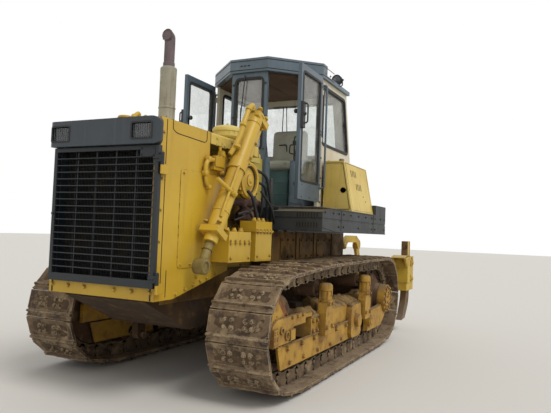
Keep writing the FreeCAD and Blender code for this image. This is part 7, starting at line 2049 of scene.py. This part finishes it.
@dataclass
class Decks:
    """Trim of fenders, tanks and hull: edge strips, caps, seams, bolts, steps and door lids."""

    fender: tuple[float, float, float, float] = (0.600, 1.200, -1.560, 0.930)
    top: float = 1.735
    bottom: float = 1.485

    def fenders(self) -> None:
        """Rolled edges, seams, bolts and tread strips of the fenders."""
        inner, outer, rear, front = self.fender
        piece = Piece("fender_edges")
        piece.pipe([(front, inner + 0.02, self.top), (front, outer, self.top),
                    (rear + 0.50, outer, self.top)], 0.007, 0.02, 8)
        piece.pipe([(front - 0.004, outer, self.bottom + 0.045), (front - 0.420, outer, self.bottom + 0.003),
                    (rear, outer, self.bottom + 0.003)], 0.006, 0.02, 8)
        for x in (0.340, -0.950):
            piece.bar((x, outer + 0.001, self.bottom + 0.01), (x, outer + 0.001, self.top - 0.004), 0.004, 6)
        piece.side_bolts((0.86, 0.60, 0.42, 0.26, 0.0, -0.3, -0.6, -0.87, -1.03, -1.3, -1.5), outer,
                         (1.690,), 0.018)
        piece.side_bolts((0.42, 0.26, -0.3, -0.87, -1.03, -1.5), outer, (1.545,), 0.018)
        for x in (0.86 - 0.04 * k for k in range(22)):
            for y in (0.78 + 0.07 * j for j in range(6)):
                piece.block((x, y, self.top - 0.001), (x + 0.006, y + 0.045, self.top + 0.003))
        piece.done(FENDER_ENAMEL, slot="black_paint", twice=True)

    def slots(self) -> None:
        """Shade inside the cooling slots of fender fronts and tanks."""
        piece = Piece("slot_shade")
        front = self.fender[3]
        for y in (0.910 + 0.032 * k for k in range(8)):
            for z in (1.528, 1.632):
                piece.block((front - 0.004, y - 0.001, z - 0.001), (front + 0.0015, y + 0.012, z + 0.051))
        for first, count, low, high in ((-0.340, 4, 2.190, 2.270), (-0.480, 4, 2.030, 2.110),
                                        (-0.710, 1, 1.950, 1.968),
                                        (-0.780, 1, 1.890, 1.908)):
            y0, y1 = (1.1662 - (z - self.top) * 0.1968 for z in (low, high))
            mouth = [(y0 - 0.004, low), (y0 + 0.0015, low), (y1 + 0.0015, high), (y1 - 0.004, high)]
            for x in (first - 0.060 * k for k in range(count)):
                piece.prism(mouth, "x", x - 0.016, x + 0.001)
        piece.done(SEAM_DIRT_AND_SHADE, slot="black_paint", twice=True)

    def tanks(self) -> None:
        """Filler caps, bolts, lid seams and the drain plug on the side tanks."""
        cap = Piece("tank_caps")
        cap.turned((-0.290, 0.96, 2.363), UP, (
            (0.0, 0.034), (0.008, 0.034), (0.010, 0.026), (0.020, 0.026), (0.022, 0.032), (0.040, 0.032),
            (0.046, 0.022)), 24)
        cap.bolts([(x, 0.82, 2.365) for x in (-0.2, -0.6, -1.0)], UP, 0.018)
        cap.done(DULL_ZINC, slot="body_paint", twice=True)
        seams = Piece("tank_seams")
        seams.pipe([(-0.1385, 0.80, 2.340), (-0.1385, 1.030, 2.340), (-0.1385, 1.135, 1.770),
                    (-0.1385, 0.80, 1.770)], 0.003, 0.02, 6)
        seams.pipe([(-0.18, 1.0465, 2.345), (-1.02, 1.0465, 2.345), (-1.02, 1.158, 1.765),
                    (-0.18, 1.158, 1.765), (-0.18, 1.0465, 2.345)],
                   0.0025, 0.02, 6)
        for spread in BOTH:
            seams.turned((-0.1395, 1.044, 2.003), AHEAD, ((0.0, 0.034), (0.002, 0.034)), 20)
            seams.block((-0.1415, 1.044 + spread * 0.030 - 0.008, 1.995),
                        (-0.1385, 1.044 + spread * 0.030 + 0.008, 2.011))
        seams.done(SEAM_DIRT_AND_SHADE, slot="black_paint", twice=True)

    def hull(self) -> None:
        """Ribs' weld beads, inspection plates, bolts and pipes under the fenders."""
        piece = Piece("hull_fittings")
        face = 0.600
        for x in (0.204, -0.354, -1.006):
            for s in BOTH:
                piece.bead(((x + s * 0.018, face, 1.10), (x + s * 0.018, face, 1.465)), 0.005)
        piece.bead(((0.70, face, 1.085), (-1.48, face, 1.085)), 0.007)
        for x0, x1 in ((0.30, 0.66), (-0.28, 0.12), (-0.92, -0.44)):
            piece.block((x0, face - 0.002, 1.16), (x1, face + 0.008, 1.40))
            piece.bolts([(x, face + 0.008, z) for x in (x0 + 0.03, (x0 + x1) / 2, x1 - 0.03)
                         for z in (1.185, 1.375)], OUT, 0.022)
        piece.pipe([(0.72, 0.46, 1.465), (0.76, 0.52, 1.42), (0.90, 0.50, 1.20), (1.16, 0.46, 1.16)], 0.018,
                   0.06, 10)
        piece.done(MUD_AND_SHADE_ENAMEL, slot="hull_paint", twice=True)
        valves = Piece("housing_valves")
        for x, y, h in ((0.62, 0.52, 0.17), (0.70, 0.44, 0.13), (0.54, 0.56, 0.12)):
            valves.block((x - 0.045, y - 0.04, 1.468), (x + 0.045, y + 0.04, 1.468 + h))
            valves.turned((x, y, 1.468 + h), UP,
                          ((0.0, 0.026), (0.020, 0.026), (0.026, 0.018), (0.060, 0.016), (0.064, 0.008)), 14)
            valves.bolts([(x + a * 0.03, y + 0.04, 1.468 + h * 0.5) for a in BOTH], OUT, 0.014)
        valves.done(OILY_ENAMEL, bevel=0.003, slot="engine_paint", twice=True)
        guard = Piece("guard_bolts")
        guard.bolts([(x, y, 0.374) for x in (-0.3, 0.2, 0.7, 1.2, 1.7) for y in (-0.36, 0.36)], DOWN, 0.040)
        guard.front_bolts(-1.501, (-0.46, -0.28, 0.28, 0.46), (0.56, 0.80), 0.034, BACK)
        guard.done(BELLY_MUD_AND_SHADE, slot="hull_paint")

    def rear(self) -> None:
        """The rear window's seal, the rear wall's screws and seam, and the lids on the fenders' rear."""
        piece = Piece("rear_seals")
        outline = [(-0.56, 2.58), (0.56, 2.58), (0.56, 3.29), (-0.56, 3.29)]
        for (ya, za), (yb, zb) in zip(outline, outline[1:] + outline[:1]):
            piece.bar((self.behind(za), ya, za), (self.behind(zb), yb, zb), 0.016, 8)
        piece.done(RUBBER, slot="black_plastic")
        wall = Piece("rear_wall_fixings")
        for y in (-0.70, -0.35, 0.0, 0.35, 0.70):
            wall.bolts([(self.behind(z) + 0.004, y, z) for z in (1.80, 2.46)], BACK, 0.020)
        for y in (-0.70, 0.70):
            wall.bolts([(self.behind(z) + 0.004, y, z) for z in (2.02, 2.24, 2.75, 3.00, 3.25)],
                       (-1, 0, 0.25), 0.018)
        wall.done(DULL_ZINC, slot="cab_paint")
        seam = Piece("rear_wall_seam")
        seam.bar((self.behind(2.42) + 0.003, -0.748, 2.42), (self.behind(2.42) + 0.003, 0.748, 2.42), 0.004,
                 6)
        seam.done(SEAM_DIRT_AND_SHADE, slot="black_paint")
        lids = Piece("rear_lids")
        for side in BOTH:
            y0, y1 = sorted((side * 0.800, side * 1.160))
            lids.block((-1.568, y0, 1.540), (-1.558, y1, 1.830))
            lids.front_bolts(-1.568, (y0 + 0.02, y1 - 0.02), (1.56, 1.81), 0.020, BACK)
            lids.turned((-1.568, side * 0.98, 1.78), BACK, ((0.0, 0.020), (0.010, 0.020), (0.014, 0.010)), 16)
        lids.done(FENDER_ENAMEL, bevel=0.003, slot="black_paint")

    def behind(self, z: float) -> float:
        """Just behind the rear wall's outer face at a height."""
        return rear_wall(z) - 0.004

    def build(self) -> None:
        """Builds the decks' dressing."""
        self.fenders()
        self.slots()
        self.tanks()
        self.hull()
        self.rear()


@dataclass
class Ripper:
    """Pin heads, keepers, welds, pipes and soil of the ripper's moving bodies."""

    pin_x: float = -1.660
    lower: float = 0.620
    upper: float = 1.300
    link: float = 0.740

    def keepers(self, piece: Piece, z: float, y: float, side: int) -> None:
        """Adds a bracket pin's round head, keeper plate and screw on one side."""
        x = self.pin_x
        piece.turned((x, side * y, z), (0, side, 0), (
            (-0.002, 0.046), (0.010, 0.046), (0.014, 0.040), (0.014, 0.012), (0.010, 0.010)), 24)
        piece.block((x - 0.014, side * (y + 0.012), z - 0.040), (x + 0.014, side * (y + 0.020), z + 0.014))
        piece.bolts([(x, side * (y + 0.020), z - 0.028)], (0, side, 0), 0.014)

    def fixed(self) -> None:
        """Keepers, webs' welds and bolts on the bracket at the hull's rear."""
        piece = Piece("ripper_bracket_details")
        for z, y in ((self.lower, 0.466), (self.upper, 0.566)):
            for side in BOTH:
                self.keepers(piece, z, y, side)
        piece.front_bolts(-1.535, (-0.46, -0.34, -0.12, 0.12, 0.34, 0.46), (0.88, 1.02), 0.034, BACK)
        for y in (-0.50, 0.50):
            piece.bead(((-1.505, y, 0.60), (-1.505, y, 1.34)), 0.007)
        piece.done(YELLOW_ENAMEL, slot="body_paint")

    def arms(self) -> None:
        """Weld beads along the lower arms."""
        piece = Piece("ripper_arm_details")
        x0, x1, z = self.pin_x - 0.10, self.pin_x - self.link + 0.10, self.lower + 0.058
        for y in (-0.460, -0.380, 0.380, 0.460):
            piece.bead(((x0, y, z), (x1, y, z)), 0.006)
        piece.done(RIPPER_ENAMEL, slot="body_paint", body="ripper_arm_frame")

    def beam(self) -> None:
        """The beam's wings, pocket rims, shank pins with handles, shank tops, welds and caked soil."""
        shank_ys = (-1.23, 0.0, 1.23)
        cheek = [(-2.482, 1.108), (-2.480, 0.980), (-2.380, 1.090), (-2.330, 1.128), (-2.360, 1.150),
                 (-2.480, 1.170),
                 (-2.640, 1.160), (-2.656, 1.108)]
        roof = [(-2.330, 1.128), (-2.345, 1.146), (-2.480, 1.172), (-2.640, 1.162), (-2.640, 1.148),
                (-2.480, 1.156)]
        piece = Piece("ripper_beam_details")
        for y in shank_ys:
            side = -1 if y < 0 else 1
            for z in (0.800, 1.050):
                piece.turned((-2.765, y + side * 0.098, z), (0, side, 0), (
                    (-0.004, 0.060), (0.004, 0.060), (0.010, 0.052), (0.010, 0.034), (0.030, 0.032),
                    (0.034, 0.024)), 24)
            lift = 0.105 if y else 0.150
            piece.pipe([(-2.765, y + side * 0.126, 1.050), (-2.765, y + side * lift, 1.120),
                        (-2.730, y + side * 0.100, 1.135)], 0.008, 0.02, 8)
            for low, high in ((y - 0.098, y - 0.060), (y + 0.060, y + 0.098)):
                piece.prism([(-2.885, 0.742), (-2.668, 0.742), (-2.668, 0.766), (-2.885, 0.766)], "y", low,
                            high)
                piece.prism([(-2.885, 1.088), (-2.660, 1.088), (-2.640, 1.140), (-2.720, 1.150),
                             (-2.885, 1.112)],
                            "y", low, high)
        for side in BOTH:
            for a, b, outline in ((1.105, 1.135, cheek), (1.300, 1.332, cheek), (1.105, 1.332, roof)):
                piece.prism(outline, "y", *sorted((side * a, side * b)))
            for x, a, b, z in ((-2.478, 0.15, 1.10, 1.106), (-2.478, 0.52, 1.32, 0.744),
                               (-2.660, 0.12, 1.10, 1.106)):
                piece.bead(((x, side * a, z), (x, side * b, z)), 0.008)
        for y in shank_ys:
            piece.block((-2.814, y - 0.0475, 1.112), (-2.712, y + 0.0475, 1.3925))
        piece.done(RIPPER_ENAMEL, bevel=0.004, slot="body_paint", body="ripper_toolbar")
        soil = Piece("ripper_soil")
        for n, (a, b) in enumerate(((-1.05, -0.55), (-0.40, -0.12), (0.14, 0.42), (0.50, 1.08))):
            soil.heap((-2.655, a), (-2.485, b), 1.110, 0.035, step=0.015, seed=2.0 * n)
        soil.done(SOIL, slot="rusty_iron", body="ripper_toolbar")

    def cylinders(self) -> None:
        """Feed pipes, gland rings and hose ends of the two ripper cylinders."""
        piece = Piece("ripper_tube_fittings")
        top, foot = Vector((-1.620, 0, 1.240)), Vector((-2.280, 0, 0.640))
        way = (foot - top).normalized()
        over = Vector((way.z, 0, -way.x))
        for y in (-0.200, 0.200):
            def spot(along: float, up: float, out: float = 0.0) -> Point:
                """A place on this cylinder."""
                return tuple(top + way * along - over * up + Vector((0, y + out, 0)))

            piece.turned(spot(0.480, 0), tuple(way), (
                (0.0, 0.060), (0.002, 0.068), (0.040, 0.068), (0.042, 0.062), (0.090, 0.062),
                (0.094, 0.050)), 28)
            piece.pipe([spot(0.130, 0.058), spot(0.150, 0.086), spot(0.44, 0.086), spot(0.455, 0.058)],
                       0.010, 0.03, 10)
            piece.bolts([spot(0.524, 0.048, s * 0.034) for s in BOTH], tuple(way), 0.018)
        piece.done(YELLOW_ENAMEL, slot="body_paint", body="ripper_cylinder_tubes")

    def build(self) -> None:
        """Builds the ripper's dressing."""
        self.fixed()
        self.arms()
        self.beam()
        self.cylinders()


@dataclass
class Studio:
    """The camera at the photograph's viewing angle, a pale floor and soft light."""

    focal_share: float = 566.16 / 551
    yaw: float = 25.90
    pitch: float = 2.575
    roll: float = 2.194
    eye: Point = (6.4257, 3.3227, 1.461)
    sky_strength: float = 0.62
    sun_strength: float = 1.35

    def camera(self) -> None:
        """Sets the camera from the photograph's fitted angles."""
        yaw, pitch, roll = (math.radians(a) for a in (self.yaw, self.pitch, self.roll))
        level = Vector((-math.cos(yaw), -math.sin(yaw), 0.0))
        up = Vector((0.0, 0.0, 1.0))
        right = level.cross(up)
        ahead = level * math.cos(pitch) + up * math.sin(pitch)
        over = -level * math.sin(pitch) + up * math.cos(pitch)
        x = right * math.cos(roll) + over * math.sin(roll)
        y = -right * math.sin(roll) + over * math.cos(roll)
        data = bpy.data.cameras.new("camera")
        data.sensor_width = 36.0
        data.lens = 36.0 * self.focal_share
        data.clip_end = 200.0
        made = put("camera", data)
        made.matrix_world = Matrix.Translation(self.eye) @ Matrix((x, y, -ahead)).transposed().to_4x4()
        bpy.context.scene.camera = made

    def floor(self) -> None:
        """Lays a pale floor under the tracks."""
        mesh = bmesh.new()
        bmesh.ops.create_grid(mesh, x_segments=2, y_segments=2, size=60.0)
        data = bpy.data.meshes.new("floor")
        mesh.to_mesh(data)
        mesh.free()
        surface = bpy.data.materials.new("painted_concrete_pale")
        tree = fresh_tree(surface)
        shader = add(tree, "ShaderNodeBsdfPrincipled", {"Base Color": linear("#d9d6d0"), "Roughness": 0.9})
        add(tree, "ShaderNodeOutputMaterial", {"Surface": shader.outputs["BSDF"]})
        data.materials.append(surface)
        made = put("floor", data)
        made.location.z = -0.001

    def light(self) -> None:
        """Lights the machine from a white sky and one broad soft sun on its left."""
        scene = bpy.context.scene
        scene.view_settings.view_transform = "Standard"
        sky = bpy.data.worlds.new("sky")
        scene.world = sky
        tree = fresh_tree(sky)
        path = add(tree, "ShaderNodeLightPath")
        seen = add(tree, "ShaderNodeMath", {
            0: path.outputs["Is Camera Ray"], 1: path.outputs["Is Glossy Ray"]},
            operation="MAXIMUM").outputs["Value"]
        seen = add(tree, "ShaderNodeMath", {
            0: seen, 1: path.outputs["Is Transmission Ray"]}, operation="MAXIMUM").outputs["Value"]
        soft = add(tree, "ShaderNodeBackground", {"Color": linear("#ffffff"), "Strength": self.sky_strength})
        plain = add(tree, "ShaderNodeBackground", {"Color": linear("#ffffff"), "Strength": 1.0})
        both = add(tree, "ShaderNodeMixShader", {
            0: seen, 1: soft.outputs["Background"], 2: plain.outputs["Background"]})
        add(tree, "ShaderNodeOutputWorld", {"Surface": both.outputs["Shader"]})
        data = bpy.data.lights.new("sun", "SUN")
        data.energy = self.sun_strength
        data.angle = math.radians(24)
        data.color = (1.0, 0.985, 0.95)
        put("sun", data).rotation_euler = Vector((0.25, 0.75, 1.0)).to_track_quat("Z", "Y").to_euler()

    def build(self) -> None:
        """Builds the whole setting."""
        self.camera()
        self.floor()
        self.light()


def dress_nodes() -> None:
    """Gives each solid that stays its own finish."""
    for name, finish in NODE_FINISHES.items():
        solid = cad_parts[name]
        solid.data.materials.clear()
        solid.data.materials.append(finish.material())


def main() -> None:
    """Builds the machine's looks in order."""
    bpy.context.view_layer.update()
    dress_nodes()
    tracks = TrackChain()
    for side in (1, -1):
        tracks.build(side)
    TrackFrames().build()
    Nose().build()
    Grille().build()
    Stack().build()
    EngineBay().build()
    for side in (1, -1):
        LiftCylinder(side).build()
    Cab().build()
    Seat().build()
    Decks().build()
    Ripper().build()
    Studio().build()


if __name__ == "__main__":
    logging.basicConfig(level=logging.INFO, format="%(message)s")
    main()
